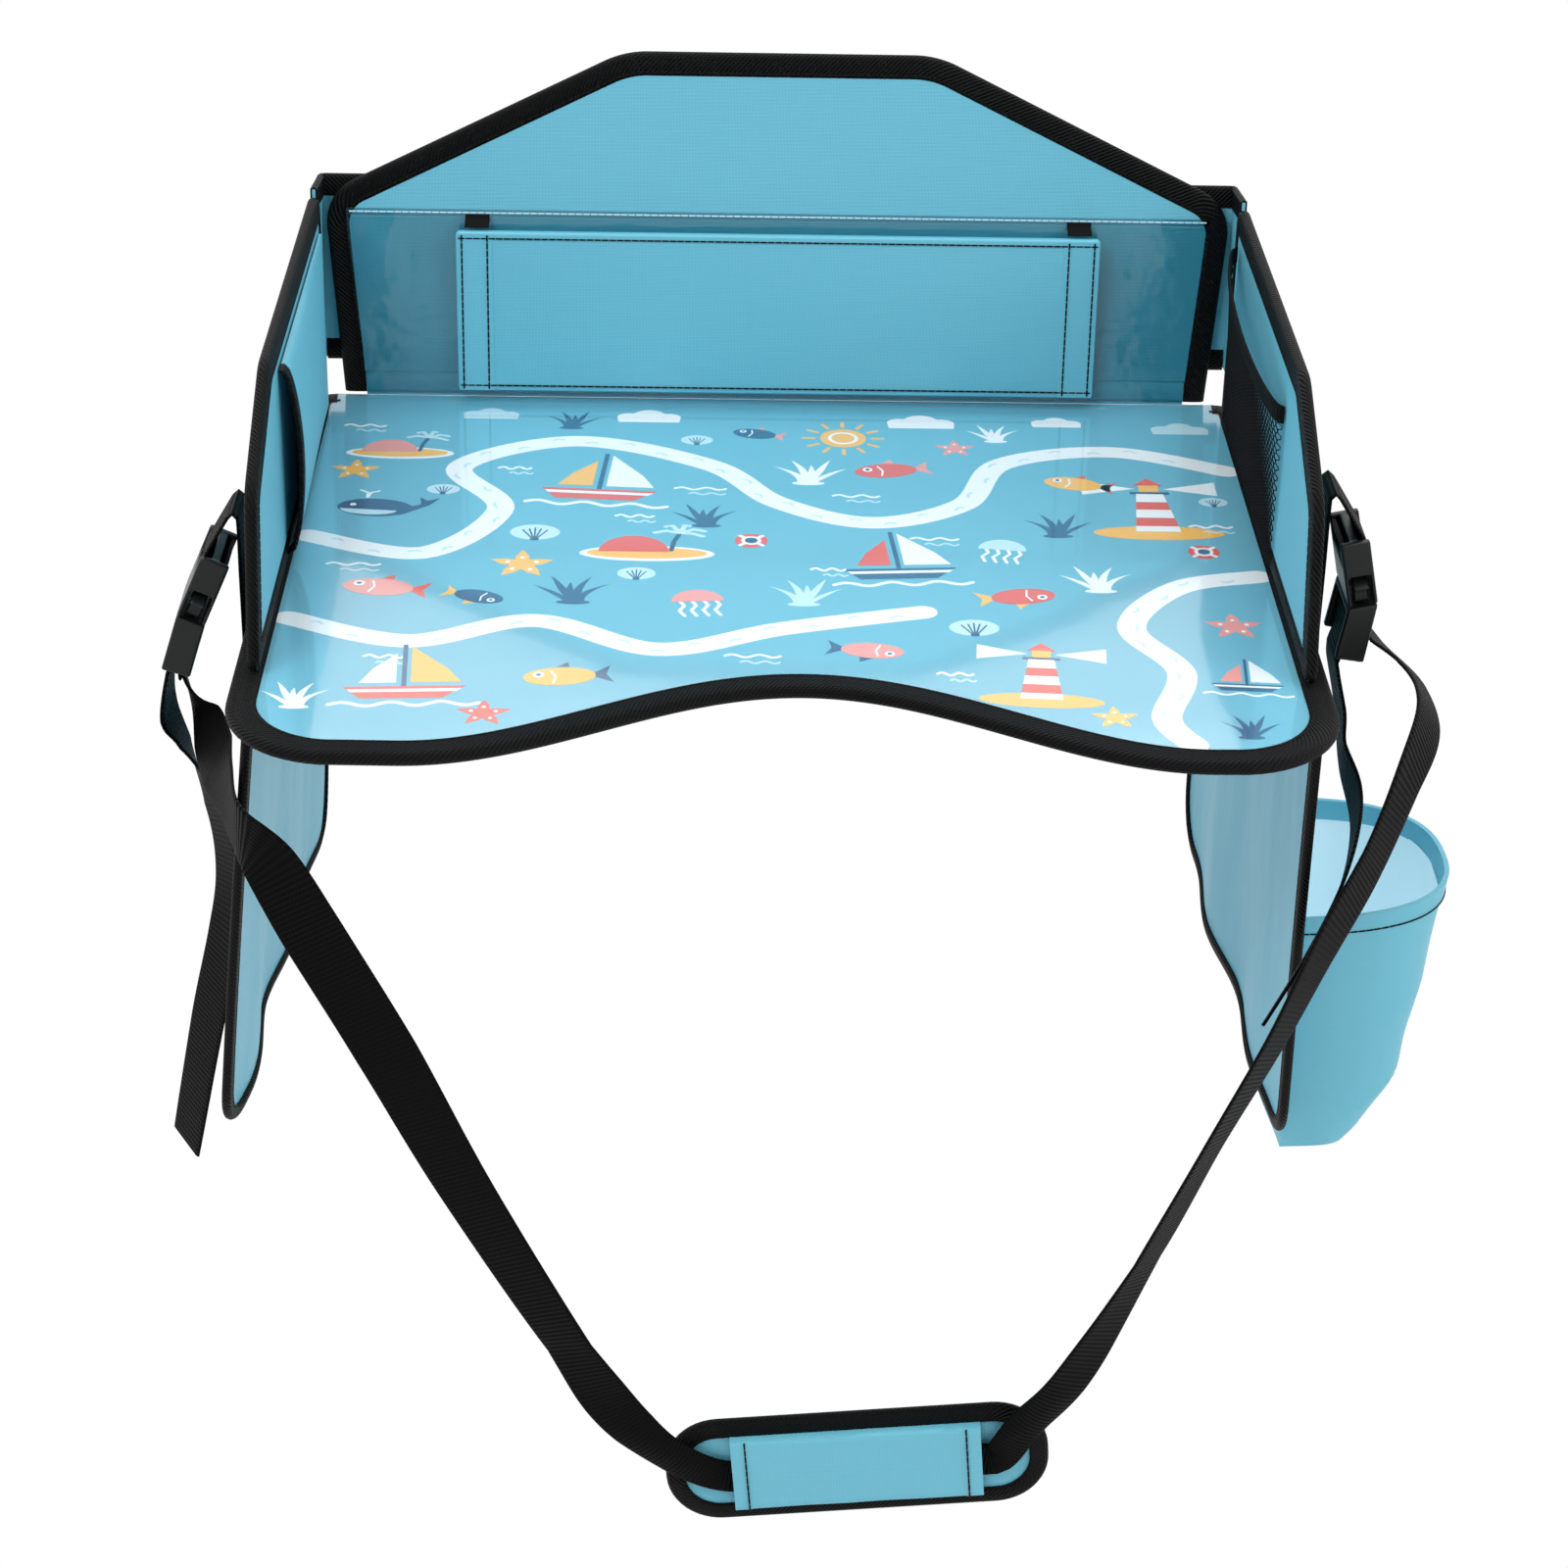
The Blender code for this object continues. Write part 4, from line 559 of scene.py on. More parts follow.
def loft(name, rings, closed, materials, sharp=40, lined=None):
    """A skin through rings of points. Each ring runs along the piece, and the rings go round its section.
    Its map is in metres: along the first ring, and round the section. Its ends are capped unless it is closed
    along its length. From the ring `lined` on, its faces take the second material."""
    bm = bmesh.new()
    uv = bm.loops.layers.uv.new("UVMap")
    grid = [[bm.verts.new(p) for p in ring] for ring in rings]
    count = len(rings[0])
    run = [0.0]
    for i in range(count):
        run.append(run[-1] + (rings[0][(i + 1) % count] - rings[0][i]).length)
    girth = [0.0]
    for k in range(len(rings)):
        girth.append(girth[-1] + (rings[(k + 1) % len(rings)][0] - rings[k][0]).length)
    for k in range(len(rings)):
        upper, lower = grid[k], grid[(k + 1) % len(rings)]
        for i in range(count if closed else count - 1):
            j = (i + 1) % count
            face = bm.faces.new((upper[i], upper[j], lower[j], lower[i]))
            face.material_index = int(lined is not None and lined <= k < len(rings) - 1)
            near, far = girth[k:k + 2]
            spots = ((run[i], near), (run[i + 1], near), (run[i + 1], far), (run[i], far))
            for corner, spot in zip(face.loops, spots):
                corner[uv].uv = spot
    if not closed:
        bm.faces.new([ring[0] for ring in grid])
        bm.faces.new([ring[-1] for ring in reversed(grid)])
    bmesh.ops.remove_doubles(bm, verts=bm.verts, dist=SKIN_MERGE_REACH)
    bmesh.ops.dissolve_degenerate(bm, edges=bm.edges, dist=SKIN_MERGE_REACH)
    bmesh.ops.delete(bm, geom=[edge for edge in bm.edges if edge.is_wire], context="EDGES")
    turn_out(bm)
    return finish_mesh(bm, name, materials, sharp)


def flat_sheet(name, outline, low, high, materials, matrix=Matrix.Identity(4)):
    """A flat sheet between two heights of its own plane."""
    bm = bmesh.new()
    foot = [bm.verts.new((p.x, p.y, low)) for p in outline]
    head = [bm.verts.new((p.x, p.y, high)) for p in outline]
    bm.faces.new(foot)
    bm.faces.new(head)
    for i in range(len(outline)):
        j = (i + 1) % len(outline)
        bm.faces.new((foot[i], foot[j], head[j], head[i]))
    turn_out(bm)
    bm.transform(matrix)
    return finish_mesh(bm, name, materials, 30)


def two_skins(name, columns, rows, place):
    """One closed soft sheet from the places on its two faces, each a grid of columns and rows."""
    bm = bmesh.new()
    faces = []
    for face in (0, 1):
        faces.append([[bm.verts.new(place(face, i, j)) for j in range(rows + 1)] for i in range(columns + 1)])
    for grid in faces:
        for i in range(columns):
            for j in range(rows):
                bm.faces.new((grid[i][j], grid[i + 1][j], grid[i + 1][j + 1], grid[i][j + 1]))
    first, second = faces
    rim = [(i, 0) for i in range(columns)] + [(columns, j) for j in range(rows)]
    rim += [(i, rows) for i in range(columns, 0, -1)] + [(0, j) for j in range(rows, 0, -1)]
    for (i, j), (k, m) in zip(rim, rim[1:] + rim[:1]):
        bm.faces.new((first[i][j], first[k][m], second[k][m], second[i][j]))
    turn_out(bm)
    return finish_mesh(bm, name, ("soft_cloth",), 60)


def tape_section(width, half):
    """Folded tape as (inwards, height) points: lips, a soft crown and a round fold."""
    steps = 5
    lip = [(width, half - 0.0004), (width - 0.0007, half), (width * 0.55, half + 0.0002)]
    fold = [(half * (1 - sin(pi / 2 * k / steps)), half * cos(pi / 2 * k / steps)) for k in range(steps)]
    top = lip + fold
    return top + [(0.0, 0.0)] + [(a, -b) for a, b in reversed(top)]


def tape_round(name, outline_at, section, place, body, node, closed=True, spacing=0.01):
    """Folded tape along an outline that is known at every margin, put in place point by point."""
    rings = [[Vector((p.x, p.y, b)) for p in outline_at(a)] for a, b in section]
    rings = [[place(p) for p in ring] for ring in divided(rings, spacing, closed)]
    return assign(loft(name, rings, closed, ("tape",)), body, "webbing_black", node)


def lip_stitches(name, seam, half, place, body, closed=False):
    """A row of stitches along a tape's lip, on both of its faces."""
    lines = [[place(Vector((p.x, p.y, face * half))) for p in seam] for face in (-1, 1)]
    return stitches(name, lines, body, "webbing_black", closed=closed)


# Repeats made with Geometry Nodes


def new_tree(name, lengths):
    """A geometry tree with a Geometry input and named lengths, and its input and output nodes."""
    tree = bpy.data.node_groups.new(name, "GeometryNodeTree")
    tree.interface.new_socket("Geometry", in_out="INPUT", socket_type="NodeSocketGeometry")
    for label in lengths:
        tree.interface.new_socket(label, in_out="INPUT", socket_type="NodeSocketFloat")
    tree.interface.new_socket("Material", in_out="INPUT", socket_type="NodeSocketMaterial")
    tree.interface.new_socket("Geometry", in_out="OUTPUT", socket_type="NodeSocketGeometry")
    return tree, tree.nodes.new("NodeGroupInput"), tree.nodes.new("NodeGroupOutput")


def stitch_tree():
    """Short threads laid at an even pitch along the edges of a mesh."""
    tree, start, end = new_tree("stitches", ("Pitch", "Length", "Thread"))
    line = tree.nodes.new("GeometryNodeMeshToCurve")
    step = tree.nodes.new("GeometryNodeResampleCurve")
    step.mode = "LENGTH"
    thread = tree.nodes.new("GeometryNodeMeshCylinder")
    thread.inputs["Vertices"].default_value = 6
    spread = tree.nodes.new("GeometryNodeInstanceOnPoints")
    turn = tree.nodes.new("FunctionNodeAlignRotationToVector")
    turn.axis = "Z"
    tangent = tree.nodes.new("GeometryNodeInputTangent")
    real = tree.nodes.new("GeometryNodeRealizeInstances")
    paint_it = tree.nodes.new("GeometryNodeSetMaterial")
    link = tree.links.new
    link(start.outputs["Geometry"], line.inputs["Mesh"])
    link(line.outputs["Curve"], step.inputs["Curve"])
    link(start.outputs["Pitch"], step.inputs["Length"])
    link(start.outputs["Length"], thread.inputs["Depth"])
    link(start.outputs["Thread"], thread.inputs["Radius"])
    link(step.outputs["Curve"], spread.inputs["Points"])
    link(thread.outputs["Mesh"], spread.inputs["Instance"])
    link(tangent.outputs["Tangent"], turn.inputs["Vector"])
    link(turn.outputs["Rotation"], spread.inputs["Rotation"])
    link(spread.outputs["Instances"], real.inputs["Geometry"])
    link(real.outputs["Geometry"], paint_it.inputs["Geometry"])
    link(start.outputs["Material"], paint_it.inputs["Material"])
    link(paint_it.outputs["Geometry"], end.inputs["Geometry"])
    return tree


def net_tree():
    """A thread along every edge of a mesh."""
    tree, start, end = new_tree("net_threads", ("Thread",))
    line = tree.nodes.new("GeometryNodeMeshToCurve")
    section = tree.nodes.new("GeometryNodeCurvePrimitiveCircle")
    section.inputs["Resolution"].default_value = 4
    thread = tree.nodes.new("GeometryNodeCurveToMesh")
    thread.inputs["Fill Caps"].default_value = True
    real = tree.nodes.new("GeometryNodeRealizeInstances")
    paint_it = tree.nodes.new("GeometryNodeSetMaterial")
    link = tree.links.new
    link(start.outputs["Geometry"], line.inputs["Mesh"])
    link(start.outputs["Thread"], section.inputs["Radius"])
    link(line.outputs["Curve"], thread.inputs["Curve"])
    link(section.outputs["Curve"], thread.inputs["Profile Curve"])
    link(thread.outputs["Mesh"], real.inputs["Geometry"])
    link(real.outputs["Geometry"], paint_it.inputs["Geometry"])
    link(start.outputs["Material"], paint_it.inputs["Material"])
    link(paint_it.outputs["Geometry"], end.inputs["Geometry"])
    return tree


TREES = {}


def grown(name, points, edges, tree, values, material):
    """The plain mesh that a tree makes from points and edges."""
    guide_mesh = bpy.data.meshes.new(name + "_guide")
    guide_mesh.from_pydata(points, edges, [])
    guide = bpy.data.objects.new(name + "_guide", guide_mesh)
    bpy.context.scene.collection.objects.link(guide)
    modifier = guide.modifiers.new(tree.name, "NODES")
    modifier.node_group = tree
    sockets = {item.name: item.identifier for item in tree.interface.items_tree if item.in_out == "INPUT"}
    for label, value in values.items():
        modifier[sockets[label]] = value
    modifier[sockets["Material"]] = MATERIALS[material]
    bpy.context.view_layer.update()
    graph = bpy.context.evaluated_depsgraph_get()
    mesh = bpy.data.meshes.new_from_object(guide.evaluated_get(graph))
    bpy.data.objects.remove(guide, do_unlink=True)
    mesh.name = name
    obj = bpy.data.objects.new(name, mesh)
    bpy.context.scene.collection.objects.link(obj)
    return obj


def stitches(name, lines, body, slot, material="thread", closed=False):
    """One mesh of all the stitches of a body's seams. Each line is a list of points."""
    sizes = bpy.context.scene.tray_sizes
    points, edges = [], []
    for line in lines:
        base = len(points)
        points += line
        edges += [(base + i, base + i + 1) for i in range(len(line) - 1)]
        if closed:
            edges.append((base + len(line) - 1, base))
    values = {"Pitch": sizes.stitch_pitch, "Length": sizes.stitch_length, "Thread": sizes.thread}
    return assign(grown(name, points, edges, TREES["stitches"], values, material), body, slot)


# Tray


def belly_edge(x):
    """The front edge: a smooth cut-out between two lobes."""
    return BELLY_CUT_DEPTH / 2 * (1 + cos(pi * (x - BELLY_OFFSET) / BELLY_LOBE_REACH)) - TRAY_DEPTH / 2


BELLY_STEPS = 80
FRONT_STEPS = 14
REAR_STEPS = 9
TRAY_STITCH_INSET = 0.0016


def tray_outline():
    half = TRAY_WIDTH / 2
    front, back = TRAY_FRONT_RADIUS, TRAY_BACK_RADIUS
    points = []
    for k in range(BELLY_STEPS + 1):
        x = BELLY_OFFSET + BELLY_LOBE_REACH * (2 * k / BELLY_STEPS - 1)
        points.append(Vector((x, belly_edge(x))))
    for k in range(1, FRONT_STEPS + 1):
        a = pi / 2 * k / FRONT_STEPS
        points.append(Vector((half - front + front * sin(a), front - TRAY_DEPTH / 2 - front * cos(a))))
    for sign in (1, -1):
        for k in range(REAR_STEPS):
            share = k / (REAR_STEPS - 1)
            a = pi / 2 * (share if sign > 0 else 1 - share)
            points.append(Vector((sign * (half - back + back * cos(a)), BACK_EDGE - back + back * sin(a))))
    for k in range(FRONT_STEPS):
        a = pi / 2 * (1 - k / FRONT_STEPS)
        points.append(Vector((-half + front - front * sin(a), front - TRAY_DEPTH / 2 - front * cos(a))))
    return points


def tray_at(margin):
    return along_curve(tray_outline(), margin)


def tray_ring(margin):
    """The taped edge, from the rear left corner round the front to the rear right corner."""
    points = tray_at(margin)
    first = len(points) - FRONT_STEPS - REAR_STEPS
    return points[first:] + points[:first]


def to_rear_seam(margin):
    """The field inside the tape, drawn out to the rear seam where there is no tape."""
    points = []
    for p in tray_at(margin):
        rear = p.y > BACK_EDGE - margin - SHEET / 2
        points.append(Vector((p.x, BACK_EDGE - REAR_SEAM if rear else p.y)))
    return points


def run_across(reach, place):
    """The places of a straight edge that runs across the object."""
    return [place(x) for x in (-reach, -reach / 3, reach / 3, reach)]


def rear_tape():
    """The small taped edge under the rear seam, where the print runs on to the back panel."""
    reach = TRAY_WIDTH / 2 - TRAY_BACK_RADIUS * 0.6
    top, foot = PRINT_HEIGHT - TRAY_MIDDLE, -TRAY_TAPE_HALF
    wall, bend, lip = 0.0014, 0.0006, 0.0004
    section = [(TRAY_TAPE_WIDTH, foot), (bend, foot), (0.0, foot + bend), (0.0, top - lip), (lip, top),
               (wall, top), (wall, foot + wall), (TRAY_TAPE_WIDTH, foot + wall)]
    rings = [run_across(reach, lambda x: Vector((x, BACK_EDGE - a, b + TRAY_MIDDLE))) for a, b in section]
    assign(loft("tray_rear_tape", rings, False, ("tape",)), "tray", "webbing_black")


def build_tray():
    paint(("tray_board",), "board")
    paint(("tray_underside",), "cloth")
    under_tape = to_rear_seam(TRAY_TAPE_WIDTH - TAPE_WALL)
    ground = flat_sheet("tray_print", under_tape, PRINT_HEIGHT, PRINT_HEIGHT + SHEET, ("ground",))
    assign(ground, "tray", "print_blue", "tray_print_sheet")
    film = flat_sheet("tray_film", under_tape, FILM_HEIGHT, FILM_HEIGHT + SHEET, ("film",))
    assign(film, "tray", "clear_vinyl", "tray_clear_film")
    middle = Vector((0, 0, TRAY_MIDDLE))
    section = tape_section(TRAY_TAPE_WIDTH, TRAY_TAPE_HALF)
    tape_round("tray_tape", tray_ring, section, lambda p: middle + p, "tray", "tray_binding", closed=False)
    rear_tape()
    height = TRAY_MIDDLE + TRAY_TAPE_HALF
    seam = [Vector((p.x, p.y, height)) for p in tray_ring(TRAY_TAPE_WIDTH - TRAY_STITCH_INSET)]
    stitches("tray_stitches", [seam], "tray", "webbing_black")


# Back panel


BACK_RIM_FOOT = 0.0009
BACK_STITCH_FOOT = 0.0080
POCKET_SEAM_HEIGHT = 0.0848
POCKET_SEAM_REACH = 0.193
POCKET_SEAM_RISE = 0.0008
WRAP_STITCH_INSET = 0.0012
HEM_WIDTH = 0.0165
HEM_RISE = 0.00035


def back_corners():
    half = BACK_WIDTH / 2
    crest = BACK_CREST_WIDTH / 2
    foot = half - FOOT_DRAW
    return [
        (-foot, SEAM_GAP, 0.003), (foot, SEAM_GAP, 0.003), (half, BACK_SHOULDER_HEIGHT, 0.022),
        (crest, BACK_HEIGHT, 0.045), (-crest, BACK_HEIGHT, 0.045), (-half, BACK_SHOULDER_HEIGHT, 0.022),
    ]


def back_rim(margin, height=BACK_RIM_FOOT):
    """The back panel's free edge, from one end of its foot over the crest to the other."""
    steps = 10
    points = rounded(back_corners(), steps, margin)
    right, left = points[2 * steps + 1].x, points[0].x
    return [Vector((right, height))] + points[2 * steps + 2:] + [Vector((left, height))]


def panel_tape(name, corners, width, board, matrix, body, node):
    """Tape round a flat panel, with a row of stitches near its lips on both faces."""
    half = board / 2 + SEAM_GAP + TAPE_WALL

    def place(p):
        return matrix @ p

    def outline_at(margin):
        return rounded(corners, 10, margin)

    tape_round(name + "_tape", outline_at, tape_section(width + TAPE_OVERLAP, half), place, body, node)
    lip_stitches(name + "_stitches", outline_at(width - STITCH_INSET), half, place, body, closed=True)


def foot_hem(half, reach, place):
    """The cloth itself, turned under along the back panel's bare foot."""
    edge, sunk, low = 0.0006, 0.0005, 0.0010
    face = [(TAPE_WIDTH + edge, half - low), (TAPE_WIDTH, half - edge)]
    section = face + tape_section(TAPE_WIDTH, half - sunk)[2:-2] + [(a, -b) for a, b in reversed(face)]
    rings = [run_across(reach, lambda x: place(Vector((x, a + SEAM_GAP, b)))) for a, b in section]
    assign(loft("back_foot_hem", rings, False, ("cloth",)), "back_panel", "fabric_blue")


def seam_cord(reach):
    """The round seam on which the back panel folds."""
    radius, sides = 0.0013, 12
    rings = []
    for k in range(sides):
        a = 2 * pi * k / sides
        y, z = BACK_EDGE + radius * cos(a), HINGE_HEIGHT + radius * sin(a)
        rings.append(run_across(reach, lambda x: Vector((x, y, z))))
    assign(loft("back_seam_cord", rings, False, ("cloth",)), "back_panel", "fabric_blue")


def build_back():
    """The taped edge leaves the foot bare, where the cloth itself is turned under and sewn to the tray."""
    paint(("back_board",), "board")
    paint(("back_front_fabric", "back_rear_fabric"), "cloth")
    # The pocket and its hem take the tinted film, whose colour also paints the shade in the pocket
    paint(("back_clear_pocket", "back_pocket_hem"), "pocket_film")
    matrix = BACK_FRAME @ UPRIGHT
    half = BACK_BOARD / 2 + SEAM_GAP + TAPE_WALL
    reach = BACK_WIDTH / 2 - FOOT_DRAW - TAPE_WIDTH + SHEET / 2

    def place(p):
        return matrix @ p

    section = tape_section(TAPE_WIDTH + TAPE_OVERLAP, half)
    tape_round("back_tape", back_rim, section, place, "back_panel", "back_binding", closed=False)
    seam = back_rim(TAPE_WIDTH - STITCH_INSET, BACK_STITCH_FOOT)
    lip_stitches("back_stitches", seam, half, place, "back_panel")
    foot_hem(half, reach, place)
    seam_cord(reach)
    face = half + SEAM_GAP + POCKET_SEAM_RISE
    seam = [place(Vector((x, POCKET_SEAM_HEIGHT, face))) for x in (-POCKET_SEAM_REACH, POCKET_SEAM_REACH)]
    stitches("pocket_stitches", [seam], "back_panel", "fabric_blue", "pale_thread")
    for side in (-1, 1):
        build_wrap(side)


def build_wrap(side):
    """The corner cloth behind the back panel keeps its solid. Its tape gets a round fold and stitches."""
    label = BODY_OF_SIDE[side]
    paint(("wrap_" + label,), "cloth")
    outer = PANEL_SPAN / 2 - WRAP_THICKNESS
    inner = outer - WRAP_REACH
    over = outer + TAPE_WIDTH + TAPE_OVERLAP
    end = outer - WRAP_THICKNESS - SEAM_GAP
    behind = BACK_BOARD / 2 + 2 * (SEAM_GAP + TAPE_WALL) + TAPE_WALL + WRAP_THICKNESS / 2
    half = WRAP_THICKNESS / 2 + SEAM_GAP + TAPE_WALL
    steps = 8
    corners = [(over, WRAP_HEIGHT, 0), (inner, WRAP_HEIGHT, WRAP_RADIUS), (inner, WRAP_FOOT, WRAP_RADIUS),
               (over, WRAP_FOOT, 0)]

    def rim(margin):
        points = [Vector((min(p.x, end), p.y)) for p in rounded(corners, steps, margin)][steps:-steps]
        return points if side > 0 else [Vector((-p.x, p.y)) for p in points]

    def place(p):
        return BACK_FRAME @ UPRIGHT @ Vector((p.x, p.y, p.z - behind))

    tape_round(f"wrap_{label}_tape", rim, tape_section(TAPE_WIDTH, half), place, "back_panel",
               "wrap_binding_" + label, closed=False)
    seam = [place(Vector((p.x, p.y, -half))) for p in rim(TAPE_WIDTH - WRAP_STITCH_INSET)]
    stitches(f"wrap_{label}_stitches", [seam], "back_panel", "webbing_black")
    wrap_leg_tape(side, outer, behind + half)


def wrap_leg_tape(side, outer, depth):
    """Tape over the top edge of the wrap's leg, which runs forward beside the side panel."""
    cover, lip, shoulder, crown = 0.0009, 0.0095, 0.0012, 0.0004
    inside, outside = outer - WRAP_THICKNESS - cover, outer + cover
    leg = SIDE_REAR_INSET - SEAM_GAP + WRAP_HEIGHT * sin(BACK_LEAN) - 0.0006
    outline = [(inside, WRAP_HEIGHT - lip), (inside, WRAP_HEIGHT - shoulder),
               (outer - WRAP_THICKNESS / 2, WRAP_HEIGHT - crown),
               (outside, WRAP_HEIGHT - shoulder), (outside, WRAP_HEIGHT - lip)]
    matrix = BACK_FRAME @ UPRIGHT
    rings = [[matrix @ Vector((side * x, y, z)) for z in (leg, 0.0, -depth)] for x, y in outline]
    tape = loft(f"wrap_{BODY_OF_SIDE[side]}_leg_tape", rings, False, ("tape",))
    assign(tape, "back_panel", "webbing_black")


def band_body(turn):
    """The stiffened flap, with a soft edge round its front and a small one behind."""
    half, corner, soft, behind = HOLDER_WIDTH / 2, 0.0022, 0.0012, 0.0003
    corners = [(-half, 0, corner), (half, 0, corner), (half, HOLDER_HEIGHT, corner),
               (-half, HOLDER_HEIGHT, corner)]
    steps = 5
    section = []
    for k in range(steps + 1):
        a = pi / 2 * k / steps
        section.append((soft * (1 - sin(a)), HOLDER_DEPTH - soft * (1 - cos(a))))
    section += [(0.0, behind), (behind, 0.0)]
    bm = bmesh.new()
    rings = []
    for margin, height in section:
        outline = rounded(corners, steps, margin)
        rings.append([bm.verts.new(turn @ Vector((p.x, p.y, height))) for p in outline])
    for upper, lower in zip(rings, rings[1:]):
        for i in range(len(upper)):
            j = (i + 1) % len(upper)
            bm.faces.new((upper[i], upper[j], lower[j], lower[i]))
    bm.faces.new(rings[0])
    bm.faces.new(rings[-1])
    turn_out(bm)
    band = finish_mesh(bm, "tablet_band", ("soft_cloth",), 50)
    assign(band, "tablet_band", "fabric_blue", "holder_front", "holder_stiffener", "holder_lining")


def band_hem(side, turn):
    """The cloth turned over at one end of the band."""
    inset = 0.0006
    ends = sorted((side * (HOLDER_WIDTH / 2 - inset), side * (HOLDER_WIDTH / 2 - HEM_WIDTH)))
    low, high = inset, HOLDER_HEIGHT - inset
    strip = [Vector((ends[0], low)), Vector((ends[1], low)), Vector((ends[1], high)), Vector((ends[0], high))]
    piece = flat_sheet("band_hem_" + BODY_OF_SIDE[side], strip, HOLDER_DEPTH - HEM_RISE,
                       HOLDER_DEPTH + HEM_RISE, ("soft_cloth",), turn)
    assign(piece, "tablet_band", "fabric_blue")


TAB_BEVEL = 0.0002


def band_tab(label):
    """The elastic tab keeps its solid's form, with its edges just broken."""
    bm = merged_copy("holder_elastic_" + label)
    bmesh.ops.dissolve_limit(bm, angle_limit=radians(1), verts=bm.verts, edges=bm.edges)
    edges = [e for e in bm.edges if e.is_manifold and e.calc_face_angle() > radians(25)]
    bmesh.ops.bevel(bm, geom=edges, offset=TAB_BEVEL, segments=1, profile=0.5, affect="EDGES",
                    clamp_overlap=True)
    bmesh.ops.recalc_face_normals(bm, faces=bm.faces)
    tab = finish_mesh(bm, "band_tab_" + label, ("elastic",), 30)
    assign(tab, "back_panel", "elastic_black", "holder_elastic_" + label)


def build_band():
    """The tablet band: a stiffened flap with a turned hem at each end, held by two elastic tabs."""
    turn = HOLDER_FRAME @ UPRIGHT
    band_body(turn)
    for side in (-1, 1):
        band_hem(side, turn)
    half, face = HOLDER_WIDTH / 2, HOLDER_DEPTH + 0.0001
    edge, inner = 0.0028, 0.0022
    lines = []
    for y in (edge, HOLDER_HEIGHT - edge):
        lines.append([turn @ Vector((x, y, face + HEM_RISE / 2)) for x in (-half + edge, half - edge)])
    for x in (half - edge, half - HEM_WIDTH + inner):
        for side in (-1, 1):
            ends = (edge, HOLDER_HEIGHT - edge)
            lines.append([turn @ Vector((side * x, y, face + HEM_RISE)) for y in ends])
    stitches("band_stitches", lines, "tablet_band", "webbing_black")
    for label in ("left", "right"):
        band_tab(label)


# Side panels


NET_ROW_SHARE = 0.8
NET_ZIGZAG_SHARE = 0.22
POCKET_TURN = 0.0006
POCKET_CLOTH_HALF = 0.0005
POCKET_TAPE_HALF = 0.0009


def side_corners():
    rear = BACK_EDGE - SIDE_REAR_INSET
    return [(rear, SEAM_GAP, 0.002), (rear, SIDE_HEIGHT, 0.008), (SIDE_CREST, SIDE_HEIGHT, 0.025),
            (SIDE_FRONT_TOP, SIDE_FRONT_HEIGHT, 0.020), (SIDE_FRONT_FOOT, SEAM_GAP, 0.004)]


def pocket_along(y):
    """The share of the pocket's length at a place, from its front to its rear."""
    return min(max((y - NET_FRONT) / (NET_REAR - NET_FRONT), 0), 1)


def net_bow(y, up):
    """How far the net stands off the lining: most at the middle of its top edge."""
    return SEAM_GAP + NET_BOW * max(up, 0) * sqrt(max(sin(pi * pocket_along(y)), 0))


def net_crown(y):
    """The mesh pocket's top edge falls evenly towards the front."""
    return NET_TOP - (NET_TOP - NET_FRONT_TOP) * (1 - pocket_along(y))


def build_side(side):
    label = BODY_OF_SIDE[side]
    body = label + "_side_panel"
    paint((label + "_side_board",), "board")
    paint((label + "_side_lining", label + "_side_outer"), "cloth")
    matrix = Matrix.Translation((side * (SIDE_HINGE + SIDE_STACK / 2), 0, HINGE_HEIGHT)) @ SIDEWAYS
    panel_tape(label + "_side", side_corners(), TAPE_WIDTH, SIDE_BOARD, matrix, body, label + "_side_binding")
    if side < 0:
        build_cloth_pocket(body)
    else:
        build_net(body)


def cloth_pocket_place(y, z, out):
    """A place on the left pocket's cloth, which stands off most at the middle of its open front edge."""
    up = min(max((z - NET_FOOT) / (NET_TOP - NET_FOOT), 0), 1)
    bow = SEAM_GAP + CLOTH_POCKET_BOW * cos(pi / 2 * pocket_along(y)) * sin(pi * up) ** 0.5
    return Vector((bow + NET_WIRE / 2 + out - SIDE_HINGE, y, z + HINGE_HEIGHT))


def pocket_skin(name, front, rear, wall, material):
    """Cloth between two places along the pocket, as one closed skin with a round front edge."""
    steps = max(2, round((rear - front) / 0.004))
    rows = 40

    def upright(y, out):
        rise = (NET_TOP - NET_FOOT) / rows
        return [cloth_pocket_place(y, NET_FOOT + rise * k, out) for k in range(rows + 1)]

    places = [front + POCKET_TURN + (rear - front - POCKET_TURN) * i / steps for i in range(1, steps)]
    face = [upright(y, wall) for y in places]
    back = [upright(y, -wall) for y in reversed(places)]
    rings = [upright(front, 0), upright(front + POCKET_TURN, wall)] + face
    rings += [upright(rear, wall), upright(rear, -wall)] + back + [upright(front + POCKET_TURN, -wall)]
    return loft(name, rings, False, (material,), 60)


def build_cloth_pocket(body):
    mouth = NET_FRONT + NET_BAND
    cloth = pocket_skin("left_pocket_cloth", mouth - POCKET_TURN, NET_REAR, POCKET_CLOTH_HALF, "soft_cloth")
    assign(cloth, body, "fabric_blue", "left_cloth_pocket")
    band = pocket_skin("left_pocket_tape", NET_FRONT, mouth, POCKET_TAPE_HALF, "tape")
    assign(band, body, "webbing_black", "left_pocket_binding")


def net_place(y, z, out=0.0):
    """A place on the right pocket's surface, in the frame of the whole."""
    up = (z - NET_FOOT) / (net_crown(y) - NET_FOOT)
    return Vector((SIDE_HINGE - net_bow(y, up) - NET_WIRE / 2 - out, y, z + HINGE_HEIGHT))


